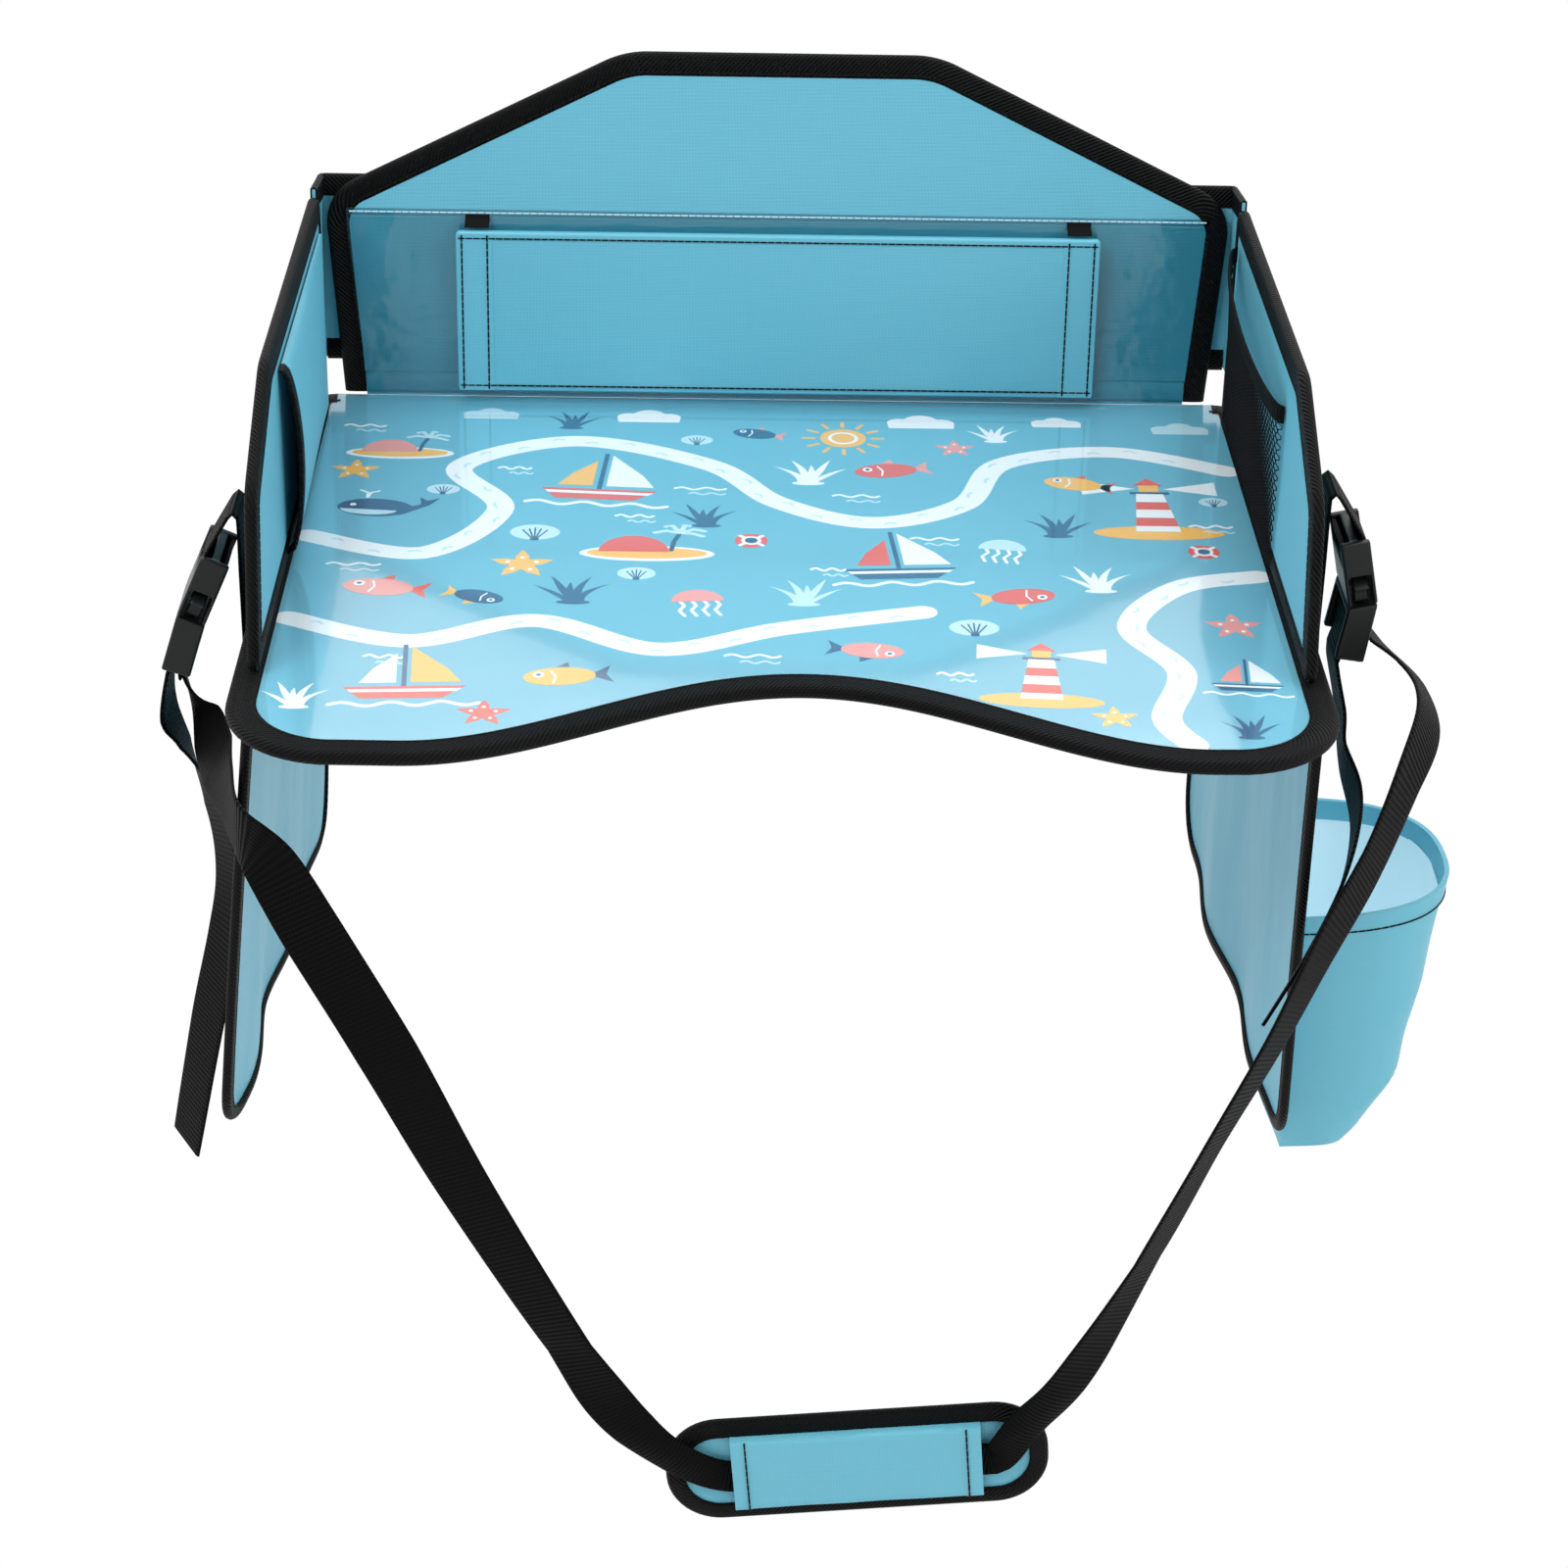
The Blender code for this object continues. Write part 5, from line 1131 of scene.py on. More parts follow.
def build_net(body):
    """Threads in cells like a honeycomb's, and the elastic along their top."""
    sizes = bpy.context.scene.tray_sizes
    columns = round((NET_REAR - NET_FRONT) / (sizes.net_cell / 2))
    rows = round((NET_TOP - NET_FOOT) / (sizes.net_cell * NET_ROW_SHARE))
    points, edges = [], []
    for i in range(columns + 1):
        y = NET_FRONT + (NET_REAR - NET_FRONT) * i / columns
        top = net_crown(y) - NET_BAND / 2
        for j in range(rows + 1):
            zigzag = NET_ZIGZAG_SHARE * (1 if (i + j) % 2 else -1) if 0 < j < rows else 0
            points.append(net_place(y, NET_FOOT + (top - NET_FOOT) * (j + zigzag) / rows))
            here = i * (rows + 1) + j
            if i < columns:
                edges.append((here, here + rows + 1))
            if j < rows and (i + j) % 2:
                edges.append((here, here + 1))
    net = grown("right_net", points, edges, TREES["net_threads"], {"Thread": sizes.net_thread}, "net")
    assign(net, body, "elastic_black", "right_mesh_pocket")
    edge, wall, crown, back = 0.0004, 0.0006, 0.0009, -0.0007
    section = [(0.0, 0.0), (edge, wall), (NET_BAND / 2, crown), (NET_BAND - edge, wall),
               (NET_BAND, 0.0), (NET_BAND - edge, -wall), (NET_BAND / 2, back), (edge, -wall)]
    steps = 70
    along = [NET_FRONT + (NET_REAR - NET_FRONT) * i / steps for i in range(steps + 1)]
    rings = [[net_place(y, net_crown(y) - down, out) for y in along] for down, out in section]
    band = loft("right_net_band", rings, False, ("elastic",))
    assign(band, body, "elastic_black", "right_pocket_elastic")


# Flaps and the cup pouch


FLAP_OVERRUN = 0.002
FLAP_CLOTH_INSET = 0.0020
FLAP_TAPE_WALL = 0.0014
FLAP_PUCKER = 0.0011


def flap_fold(y, z, side):
    """Soft upright folds that grow from nothing at the seam to the hem."""
    down = min(max(-z / FLAP_FRONT_HEIGHT, 0), 1)
    phase = 2 * pi * y / FLAP_FOLD_LENGTH
    rearward = sin(pi / 2 * min(max((y - FLAP_FRONT) / (BACK_EDGE - FLAP_FRONT), 0), 1))
    main_fold = MAIN_FOLD_SHARE * sin(phase + side)
    slow_fold = (1 - MAIN_FOLD_SHARE) * sin(phase / 2 + 2 * side)
    return down * (FLAP_FOLD * (main_fold + slow_fold) - side * FLAPS[side][1] * rearward)


def flap_place(side):
    splay = FLAPS[side][0]
    hinge = Matrix.Translation((side * FLAP_HINGE, 0, -SEAM_GAP - FLAP_STACK * sin(splay)))
    return hinge @ Matrix.Rotation(-side * splay, 4, "Y")


def on_flap(side, y, z, out):
    """A place on the flap: along it, down it, and out from its middle."""
    across = side * FLAP_STACK / 2 + flap_fold(y, z, side) + out
    return flap_place(side) @ Vector((across, y, z))


def flap_rim(margin):
    """The flap's free edge from the front seam round the hem to the rear seam, moved in by the margin."""
    steps = 8
    over = FLAP_TAPE_WIDTH + FLAP_OVERRUN
    lean = FLAP_SLANT / FLAP_FRONT_HEIGHT
    corners = [(FLAP_FRONT - lean * over, over, 0),
               (FLAP_FRONT + FLAP_SLANT, -FLAP_FRONT_HEIGHT, FLAP_RADIUS),
               (FLAP_REAR, -FLAP_REAR_HEIGHT, FLAP_RADIUS), (FLAP_REAR, over, 0)]
    points = rounded(corners, steps, margin)[steps:-steps]
    for end, beside in ((0, 1), (-1, -2)):
        a, b = points[end], points[beside]
        points[end] = a.lerp(b, (a.y + SEAM_GAP) / (a.y - b.y))
    return points


def flap_cloth(side, name):
    """The cloth as one sheet, with small puckers that fade out where it is sewn."""
    columns, rows = 110, 72

    def place(face, i, j):
        p = flap_spot(i / columns, j / rows)
        rim = min(i, columns - i, rows - j) / 5
        pucker = noise.noise(Vector((p.x * 26, p.y * 9, side * 3.0)))
        pucker += 0.5 * noise.noise(Vector((p.x * 60, p.y * 22, side * 5.0)))
        crease = FLAP_PUCKER * pucker * min(rim, 1) * min(-p.y / 0.03, 1)
        return on_flap(side, p.x, p.y, crease - FLAP_CLOTH / 2 if face else crease + FLAP_CLOTH / 2)

    return two_skins(name, columns, rows, place)


def flap_spot(along, down):
    """A place on the flap from two shares: along from front to rear, and down from seam to hem."""
    front, rear = FLAP_FRONT + FLAP_CLOTH_INSET, FLAP_REAR - FLAP_CLOTH_INSET
    near = FLAP_RADIUS
    reach = rear - near - front - FLAP_SLANT
    share = (near + (reach - near) * along) / (reach + near)
    hem = FLAP_FRONT_HEIGHT + (FLAP_REAR_HEIGHT - FLAP_FRONT_HEIGHT) * share - FLAP_CLOTH_INSET
    depth = hem * down
    over = max(depth - (hem - near), 0)
    bite = near - sqrt(max(near * near - over * over, 0))
    left = front + FLAP_SLANT * depth / FLAP_FRONT_HEIGHT + bite
    right = rear - bite
    return Vector((left + (right - left) * along, -SEAM_GAP - depth * (1 - SEAM_GAP / hem)))


def build_flap(side):
    body = BODY_OF_SIDE[side] + "_flap"
    cloth = assign(flap_cloth(side, body + "_sheet"), body, "fabric_blue", body + "_cloth")
    half = FLAP_CLOTH / 2 + FLAP_TAPE_WALL

    def place(p):
        return on_flap(side, p.x, p.y, p.z)

    tape = tape_round(body + "_tape", flap_rim, tape_section(FLAP_TAPE_WIDTH, half), place, body,
                      body + "_binding", closed=False, spacing=0.005)
    seam = divided([flap_rim(FLAP_TAPE_WIDTH - STITCH_INSET)], 0.006, False)[0]
    sewing = lip_stitches(body + "_stitches", seam, half, place, body)


CUP_FOOT_SHARE = 0.76
CUP_CURL_START_SHARE = 0.66
CUP_DRAW_SHARES = (0.34, 0.20)
CUP_SQUARENESS = 2.4
CUP_WALL = 0.0014
CUP_HEM_WALL = 0.0020
CUP_PUCKER = 0.080
CUP_STITCH_DROP = 0.0078


def cup_ring(down):
    """One ring of the pouch: flat against the flap, round outside, and squarer and smaller lower down."""
    steps, back_steps = 44, 30
    width = CUP_WIDTH / 2 * (1 + (CUP_FOOT_SHARE - 1) * down)
    curl = max(down - CUP_CURL_START_SHARE, 0) / (1 - CUP_CURL_START_SHARE)
    reach = CUP_REACH * (1 - CUP_DRAW_SHARES[0] * down - CUP_DRAW_SHARES[1] * curl * curl)
    power = 2 / (CUP_SQUARENESS * (1 + down))
    points = []
    for k in range(steps + 1):
        a = pi * k / steps
        across, out = -cos(a), sin(a)
        y = abs(across) ** power * (1 if across > 0 else -1) * width
        points.append(Vector((max(out, 0) ** power * reach, y)))
    return points + [Vector((0, width * (1 - 2 * k / back_steps))) for k in range(1, back_steps)]


def cup_place(p, z, puff=0.0):
    """A place on the pouch, which follows the folds of the flap that it is sewn to."""
    y, z = p.y - CUP_CENTRE, z - CUP_DROP
    across = FLAP_STACK + CUP_CLEARANCE + p.x * (1 + puff) + flap_fold(y, z, 1)
    return flap_place(1) @ Vector((across, y, z))


def cup_folds(ring, down, puff):
    """How far each place of a ring stands out or in, as a share: soft folds with sharper crumples."""
    folds = []
    for p in ring:
        soft = min(p.x / 0.02, 1) * puff * (0.25 + 1.6 * down * down)
        fold = noise.noise(Vector((p.x * 22 + 2 * down, p.y * 22, down * 2.1)))
        crimp = abs(noise.noise(Vector((p.x * 24, p.y * 38 + 3 * down, down * 2.6 + 4))))
        folds.append(soft * (fold - 0.8 * crimp))
    return folds


def cup_skin(top, foot, wall, rows, puff):
    """The pouch's wall between two heights, as its outer rings and its inner ones."""
    outer, inner = [], []
    for r in range(rows + 1):
        down = top + (foot - top) * r / rows
        ring = cup_ring(down)
        folds = cup_folds(ring, down, puff)
        z = -CUP_HEIGHT * down
        outer.append([cup_place(p, z, fold) for p, fold in zip(ring, folds)])
        inner.append([cup_place(p, z, fold) for p, fold in zip(along_curve(ring, wall), folds)])
    return outer, inner


def cup_floor():
    """The soft floor's rings: its underside from the wall to the middle, and its upper side back out."""
    ring = cup_ring(1)
    middle = sum(ring, Vector((0, 0))) / len(ring)
    under = ((0.97, -0.0008), (0.75, -0.0002), (0.4, 0.0), (0.0, 0.0))
    upper = tuple((share, CUP_WALL) for share in (0.0, 0.4, 0.75, 0.95))
    return [[[cup_place(middle.lerp(p, share), rise - CUP_HEIGHT) for p in ring] for share, rise in side]
            for side in (under, upper)]


def build_cup():
    share = CUP_HEM_HEIGHT / CUP_HEIGHT
    outer, inner = cup_skin(share - 0.004, 1, CUP_WALL, 48, CUP_PUCKER)
    under, upper = cup_floor()
    rings = outer + under + upper + inner[:-1][::-1]
    # The inside faces take the paler cloth with its glow: painted light for the light that comes through the
    # pouch
    pouch = loft("cup_pouch_cloth", rings, True, ("soft_cloth", "lining"), 60, len(outer + under))
    assign(pouch, "right_flap", "fabric_blue", "cup_pouch")
    outer, inner = cup_skin(0, share, CUP_HEM_WALL, 4, 0.0)
    hem = loft("cup_hem_cloth", outer + inner[::-1], True, ("soft_cloth",), 60)
    assign(hem, "right_flap", "fabric_blue", "cup_hem")
    ring = along_curve(cup_ring(CUP_STITCH_DROP / CUP_HEIGHT), -0.0001)
    seam = [cup_place(p, -CUP_STITCH_DROP) for p in ring]
    stitches("cup_stitches", [seam], "right_flap", "webbing_black", closed=True)


# Webbing, buckles and the shoulder pad


def smooth_route(stations, spacing):
    """Points and face directions along a smooth curve through the stations."""
    points = [s[0] for s in stations]
    normals = [s[1] for s in stations]
    made = []
    last = len(points) - 1
    for i in range(last):
        p0, p1, p2, p3 = points[max(i - 1, 0)], points[i], points[i + 1], points[min(i + 2, last)]
        steps = max(1, round((p2 - p1).length / spacing))
        for k in range(steps):
            t = k / steps
            spot = (2 * p1 + (p2 - p0) * t + (2 * p0 - 5 * p1 + 4 * p2 - p3) * t * t
                    + (3 * p1 - 3 * p2 + p3 - p0) * t ** 3) / 2
            made.append((spot, normals[i].lerp(normals[i + 1], t).normalized()))
    made.append((points[-1], normals[-1]))
    return made


GATHER_START = 0.020
GATHER_LENGTH = 0.055
GATHER_SHARE = 0.64
GATHER_ARCH = 0.0024
GATHER_ARCH_LENGTH = 0.060


def gathered(beyond, side):
    """Width share and arch of a strap drawn together at the mouth of the pad's band, by the way beyond it."""
    ease = min(max((beyond - GATHER_START) / GATHER_LENGTH, 0), 1)
    share = GATHER_SHARE + (1 - GATHER_SHARE) * ease * ease * (3 - 2 * ease)
    arch = GATHER_ARCH * sin(pi * min(max(beyond / GATHER_ARCH_LENGTH, 0), 1))
    return share, side * arch


def webbing(name, stations, body, node, mouth=None, side=1):
    """Woven strap along its stations, each a place and the way the strap's face looks there."""
    route = smooth_route(stations, 0.0025)
    half, thick = WEBBING_WIDTH / 2, WEBBING_THICKNESS / 2
    edge = [(half - 0.0018, thick), (half - 0.0005, thick * 0.8), (half, 0)]
    flat = [(half * k / 5, thick) for k in range(-3, 4)]
    upper = [(-a, b) for a, b in reversed(edge)] + flat + edge
    section = upper + [(a, -b) for a, b in reversed(upper[1:-1])]
    rings = [[] for _ in section]
    run = 0.0
    for i, (spot, normal) in enumerate(route):
        run += (spot - route[max(i - 1, 0)][0]).length
        share, arch = gathered(run - mouth, side) if mouth else (1, 0)
        ahead = route[min(i + 1, len(route) - 1)][0] - route[max(i - 1, 0)][0]
        across = normal.cross(ahead.normalized()).normalized()
        face = ahead.normalized().cross(across).normalized()
        for ring, (a, b) in zip(rings, section):
            ring.append(spot + across * (a * share) + face * (b + arch * (1 - (a / half) ** 2)))
    return assign(loft(name, rings, False, ("webbing",), 50), body, "webbing_black", node)


def buckle_frame(side):
    across, height = BAR_PLACES[side]
    origin = Matrix.Translation((side * across, -BUCKLE_PLACE, height))
    return origin @ Matrix.Rotation(-side * SOCKET_LEANS[side], 4, "Y")


def clip_frame(side):
    """The clip's outer half turns back towards the tray at the socket's mouth."""
    mouth = Matrix.Translation((0, 0, -SOCKET_END))
    return buckle_frame(side) @ mouth @ Matrix.Rotation(side * CLIP_BENDS[side], 4, "Y") @ mouth.inverted()


def loop_stations(bar, radius, first, last, steps):
    """A turn of webbing round a bar, from one angle to another, in the buckle's own frame."""
    made = []
    for k in range(steps + 1):
        a = first + (last - first) * k / steps
        away = Vector((cos(a), 0, sin(a)))
        made.append((bar + away * radius, away))
    return made


def in_world(stations, matrix, side):
    """Stations of the buckle's frame in world places, mirrored for the left side."""
    turn = matrix.to_3x3()
    made = []
    for spot, normal in stations:
        spot = Vector((side * spot.x, spot.y, spot.z))
        normal = Vector((side * normal.x, normal.y, normal.z))
        made.append((matrix @ spot, (turn @ normal).normalized()))
    return made


def build_anchor(side):
    label = BODY_OF_SIDE[side]
    frame_of_buckle = buckle_frame(side)
    radius = BAR_RADIUS + SEAM_GAP + WEBBING_THICKNESS / 2
    turn = loop_stations(Vector((0, 0, 0)), radius, 0, -pi, 9)
    turn.append((Vector((-radius, 0, ANCHOR_END)), Vector((-1, 0, 0))))
    face = TRAY_WIDTH / 2 + ANCHOR_GAP + WEBBING_THICKNESS / 2
    crown = frame_of_buckle.to_translation().z + ANCHOR_RISE
    leg = [(face, -ANCHOR_TAIL, -1, 0), (face, 0, -1, 0), (face, crown / 2, -1, 0),
           (face, crown - ANCHOR_FOLD, -1, 0), (face + ANCHOR_FOLD, crown, 0, 1),
           (face + 2 * ANCHOR_FOLD, crown - ANCHOR_FOLD, 1, 0)]
    stations = [(Vector((side * x, -BUCKLE_PLACE, z)), Vector((side * nx, 0, nz))) for x, z, nx, nz in leg]
    stations += in_world(turn, frame_of_buckle, side)
    webbing(label + "_anchor", stations, "harness", label + "_anchor_webbing")


def clip_turn(side):
    """The webbing's turn over the clip's first bar."""
    bar = Vector((0, 0, -CLIP_BAR_DROP))
    radius = CLIP_BAR_THICKNESS / 2 + 2 * SEAM_GAP + WEBBING_THICKNESS / 2
    first, last = (pi, 0) if side < 0 else (0, pi)
    turn = loop_stations(bar, radius, first, last, 7)
    feet = (-CLIP_END - STRAP_LEAD, -CLIP_END)
    inner = [(Vector((-radius, 0, z)), Vector((-1, 0, 0))) for z in feet]
    outer = [(Vector((radius, 0, z)), Vector((1, 0, 0))) for z in feet]
    if side < 0:
        stations = inner + turn + outer[::-1]
    else:
        way_out = Vector((CLIP_THICKNESS, 0, -CLIP_THICKNESS))
        stations = [(bar + way_out, Vector((1, 0, 1)).normalized())] + turn + inner[::-1]
    return in_world(stations, clip_frame(side), side)


# The straps' routes, from the pad to the clip and on to the tail's end. Each place is a share of half the
# panels' span, of the strap's reach in front at the pad and of the pad's drop, with the way its face looks
RUN_SHARES = {
    -1: (
        ((-0.27, -1.025, -0.93), (0, 1, 0)),
        ((-0.395, -1.03, -0.80), (0.35, 0.85, 0.35)),
        ((-0.59, -1.00, -0.57), (0.2, 0.95, 0.15)),
        ((-0.73, -1.00, -0.37), (0, 1, 0)),
        ((-0.855, -0.99, -0.21), (0, 1, 0)),
        ((-0.93, -0.96, -0.125), (0.2, 1, 0)),
        ((-0.99, -0.90, -0.10), (0.6, 0.8, 0)),
        ((-1.035, -0.70, -0.11), (0.93, 0.3, -0.2)),
        ((-1.08, -0.48, -0.135), (0.85, 0.2, -0.5)),
        ((-1.12, -0.33, -0.13), (0.9, 0, -0.45)),
    ),
    1: (
        ((0.50, -1.02, -0.92), (0, -1, 0)),
        ((0.585, -1.045, -0.83), (0.35, -0.85, -0.35)),
        ((0.715, -1.00, -0.67), (0.6, -0.6, -0.5)),
        ((0.82, -1.00, -0.50), (0.78, -0.55, -0.2)),
        ((0.93, -0.95, -0.36), (0.8, -0.52, -0.05)),
        ((1.02, -0.87, -0.25), (0.8, -0.55, 0.05)),
        ((1.11, -0.76, -0.17), (0.78, -0.52, 0.05)),
        ((1.18, -0.65, -0.09), (0.78, -0.5, 0.15)),
        ((1.235, -0.50, -0.05), (0.8, -0.35, 0.35)),
        ((1.22, -0.36, -0.03), (0.8, -0.1, 0.6)),
    ),
}
TAIL_SHARES = {
    -1: (
        ((-1.20, -0.265, -0.13), (-1, 0.1, 0)),
        ((-1.17, -0.275, -0.175), (-1, 0, 0)),
        ((-1.115, -0.32, -0.25), (-1, -0.5, 0)),
        ((-1.09, -0.36, -0.33), (-1, -0.6, 0)),
        ((-1.10, -0.40, -0.42), (-1, -0.7, 0)),
        ((-1.145, -0.41, -0.555), (-1, -0.7, 0)),
        ((-1.20, -0.42, -0.735), (-1, -0.6, 0)),
    ),
    1: (
        ((1.10, -0.30, -0.10), (-1, 0, 0)),
        ((1.105, -0.35, -0.15), (-0.96, 0.1, 0)),
        ((1.12, -0.48, -0.19), (-0.95, 0.2, 0.1)),
        ((1.075, -0.68, -0.22), (-0.92, 0.3, 0.2)),
        ((1.00, -0.80, -0.285), (-0.88, 0.35, 0.32)),
        ((0.92, -0.855, -0.37), (-0.84, 0.39, 0.37)),
    ),
}
STRAP_STARTS = {-1: 0.013, 1: 0.039}


def from_shares(shares):
    """Stations in world places from a table of shares."""
    made = []
    for (across, forward, up), normal in shares:
        here = Vector((across * PANEL_SPAN / 2, forward * STRAP_FORWARD, up * PAD_DROP))
        made.append((here, Vector(normal).normalized()))
    return made


def pad_frame():
    """The pad's own frame: X along it, Y up it and Z to the front."""
    spot = Matrix.Translation((PAD_ACROSS, -PAD_FORWARD, -PAD_DROP))
    return spot @ Matrix.Rotation(-PAD_TILT, 4, "Y") @ UPRIGHT


def build_strap(side):
    label = BODY_OF_SIDE[side]
    place = pad_frame()
    toward = (place.to_3x3() @ Vector((0, 0, side))).normalized()
    start, mouth = STRAP_STARTS[side], side * (SLEEVE_LENGTH / 2 + STRAP_LEAD)
    stations = [(place @ Vector((x, 0, STRAP_LAYER)), toward) for x in (start, (start + mouth) / 2, mouth)]
    stations += from_shares(RUN_SHARES[side]) + clip_turn(side) + from_shares(TAIL_SHARES[side])
    inside = abs(mouth - start)
    webbing(label + "_strap_webbing", stations, label + "_release", label + "_strap", inside, side)


MOULDING_GRAIN = 0.00045


def moulding(node, name, rounds):
    """A copy of a solid with the soft edges of a moulding: a fine skin, smoothed by so many rounds."""
    rough = finish_mesh(merged_copy(node), name + "_rough", ("plastic",))
    skin = rough.modifiers.new("skin", "REMESH")
    skin.mode = "VOXEL"
    skin.voxel_size = MOULDING_GRAIN
    skin.use_smooth_shade = True
    soft = rough.modifiers.new("soft", "SMOOTH")
    soft.factor = 0.5
    soft.iterations = rounds
    bpy.context.view_layer.update()
    mesh = bpy.data.meshes.new_from_object(rough.evaluated_get(bpy.context.evaluated_depsgraph_get()))
    bpy.data.objects.remove(rough, do_unlink=True)
    mesh.name = name
    mesh.materials.clear()
    mesh.materials.append(MATERIALS["plastic"])
    piece = bpy.data.objects.new(name, mesh)
    bpy.context.scene.collection.objects.link(piece)
    return piece


def build_buckle(side):
    """Socket, clip and prongs with the soft edges of a moulding."""
    label = BODY_OF_SIDE[side]
    parts = (("buckle_socket", "harness", 12), ("buckle_clip", label + "_release", 12),
             ("prong_front", label + "_front_prong", 3), ("prong_rear", label + "_rear_prong", 3))
    for node, body, rounds in parts:
        piece = moulding(f"{label}_{node}", f"{label}_{node}_moulding", rounds)
        assign(piece, body, "buckle_black", f"{label}_{node}")


PAD_CROWN = 0.0080
PAD_COVER = 0.0012
SLEEVE_WALL = 0.0010
SLEEVE_SLACK = 0.0008
SLEEVE_HEM = 0.0070
SLEEVE_STITCH_INSET = 0.0060


def pad_outline(margin):
    """The pad's rim with its round ends, moved in by the margin."""
    length, height = PAD_LENGTH / 2, PAD_HEIGHT / 2
    turn = PAD_HEIGHT * PAD_END_SHARE
    quarters = ((-1, -1), (1, -1), (1, 1), (-1, 1))
    return rounded([(x * length, y * height, turn) for x, y in quarters], 12, margin)


def pad_cushion():
    """The foam behind the backing: crowned, drawn in at its ends and between its corners."""
    length = PAD_LENGTH / 2 - PAD_TAPE_WIDTH - SEAM_GAP
    height = PAD_HEIGHT / 2 - PAD_TAPE_WIDTH - SEAM_GAP
    base = -PAD_CORE / 2 - SEAM_GAP
    columns, rows = 60, 22
    matrix = pad_frame()

    def place(face, i, j):
        x, y = 2 * i / columns - 1, 2 * j / rows - 1
        edge = max((1 - x ** 8) * (1 - abs(y) ** 5), 0)
        crown = PAD_CROWN * edge ** 0.42 * (1 - 0.35 * x * x)
        crown += 0.0005 * edge * noise.noise(Vector((x * 4, y * 2, 1)))
        along = x * length * (1 - 0.06 * y * y) * (1 - 0.03 * (1 - y * y))
        up = y * height * (1 - 0.12 * x * x) * (1 - 0.02 * cos(pi * x / 2))
        return matrix @ Vector((along, up, base - (PAD_COVER + crown if face else 0)))

    return two_skins("pad_foam", columns, rows, place)


def pad_sleeve():
    """The band over the strap: two turned ends, soft folds between them, open at both ends."""
    half = PAD_HEIGHT / 2 - PAD_TAPE_WIDTH - SEAM_GAP
    foot = PAD_CORE / 2 + SEAM_GAP
    inner = PAD_CORE / 2 + 3 * SEAM_GAP + TAPE_WALL + WEBBING_THICKNESS + SLEEVE_SLACK
    wall = SLEEVE_WALL
    outer = inner + wall
    soft = 0.0016
    within = half - wall
    profile = [(-half, foot), (-within, foot), (-within, inner - soft), (-within + soft, inner)]
    profile += [(within - soft, inner), (within, inner - soft), (within, foot), (half, foot)]
    profile += [(half, outer - soft), (half - soft * 0.3, outer - soft * 0.3), (half - soft, outer)]
    count = 14
    profile += [(half - soft - (2 * half - 2 * soft) * k / count, outer) for k in range(1, count)]
    profile += [(-half + soft, outer), (-half + soft * 0.3, outer - soft * 0.3), (-half, outer - soft)]
    steps = 80
    matrix = pad_frame()
    rings = []
    for y, z in profile:
        ring = []
        for i in range(steps + 1):
            x = SLEEVE_LENGTH * (i / steps - 0.5)
            lift = 0.0
            if z > outer - soft * 0.5:
                lift = 0.0006 * noise.noise(Vector((x * 38, y * 25, 7)))
                lift += 0.00035 if abs(x) > SLEEVE_LENGTH / 2 - SLEEVE_HEM else 0.0
            ring.append(matrix @ Vector((x, y, z + lift)))
        rings.append(ring)
    sleeve = loft("pad_band", rings, False, ("soft_cloth",), 45)
    lines = []
    for end in (-1, 1):
        x = end * (SLEEVE_LENGTH / 2 - SLEEVE_STITCH_INSET)
        lines.append([matrix @ Vector((x, y, outer + 0.0007)) for y in (-half + soft, half - soft)])
    stitches("pad_stitches", lines, "left_release", "webbing_black")
    return sleeve


def build_pad():
    paint(("pad_backing",), "cloth")
    matrix = pad_frame()
    half = PAD_CORE / 2 + SEAM_GAP + TAPE_WALL
    tape_round("pad_tape", pad_outline, tape_section(PAD_TAPE_WIDTH + TAPE_OVERLAP, half),
               lambda p: matrix @ p, "left_release", "pad_binding", spacing=0.006)
    cushion = assign(pad_cushion(), "left_release", "fabric_blue", "pad_cushion")
    assign(pad_sleeve(), "left_release", "fabric_blue", "pad_sleeve")


# Artwork under the film: a made-up sea, as flat inks in thin layers


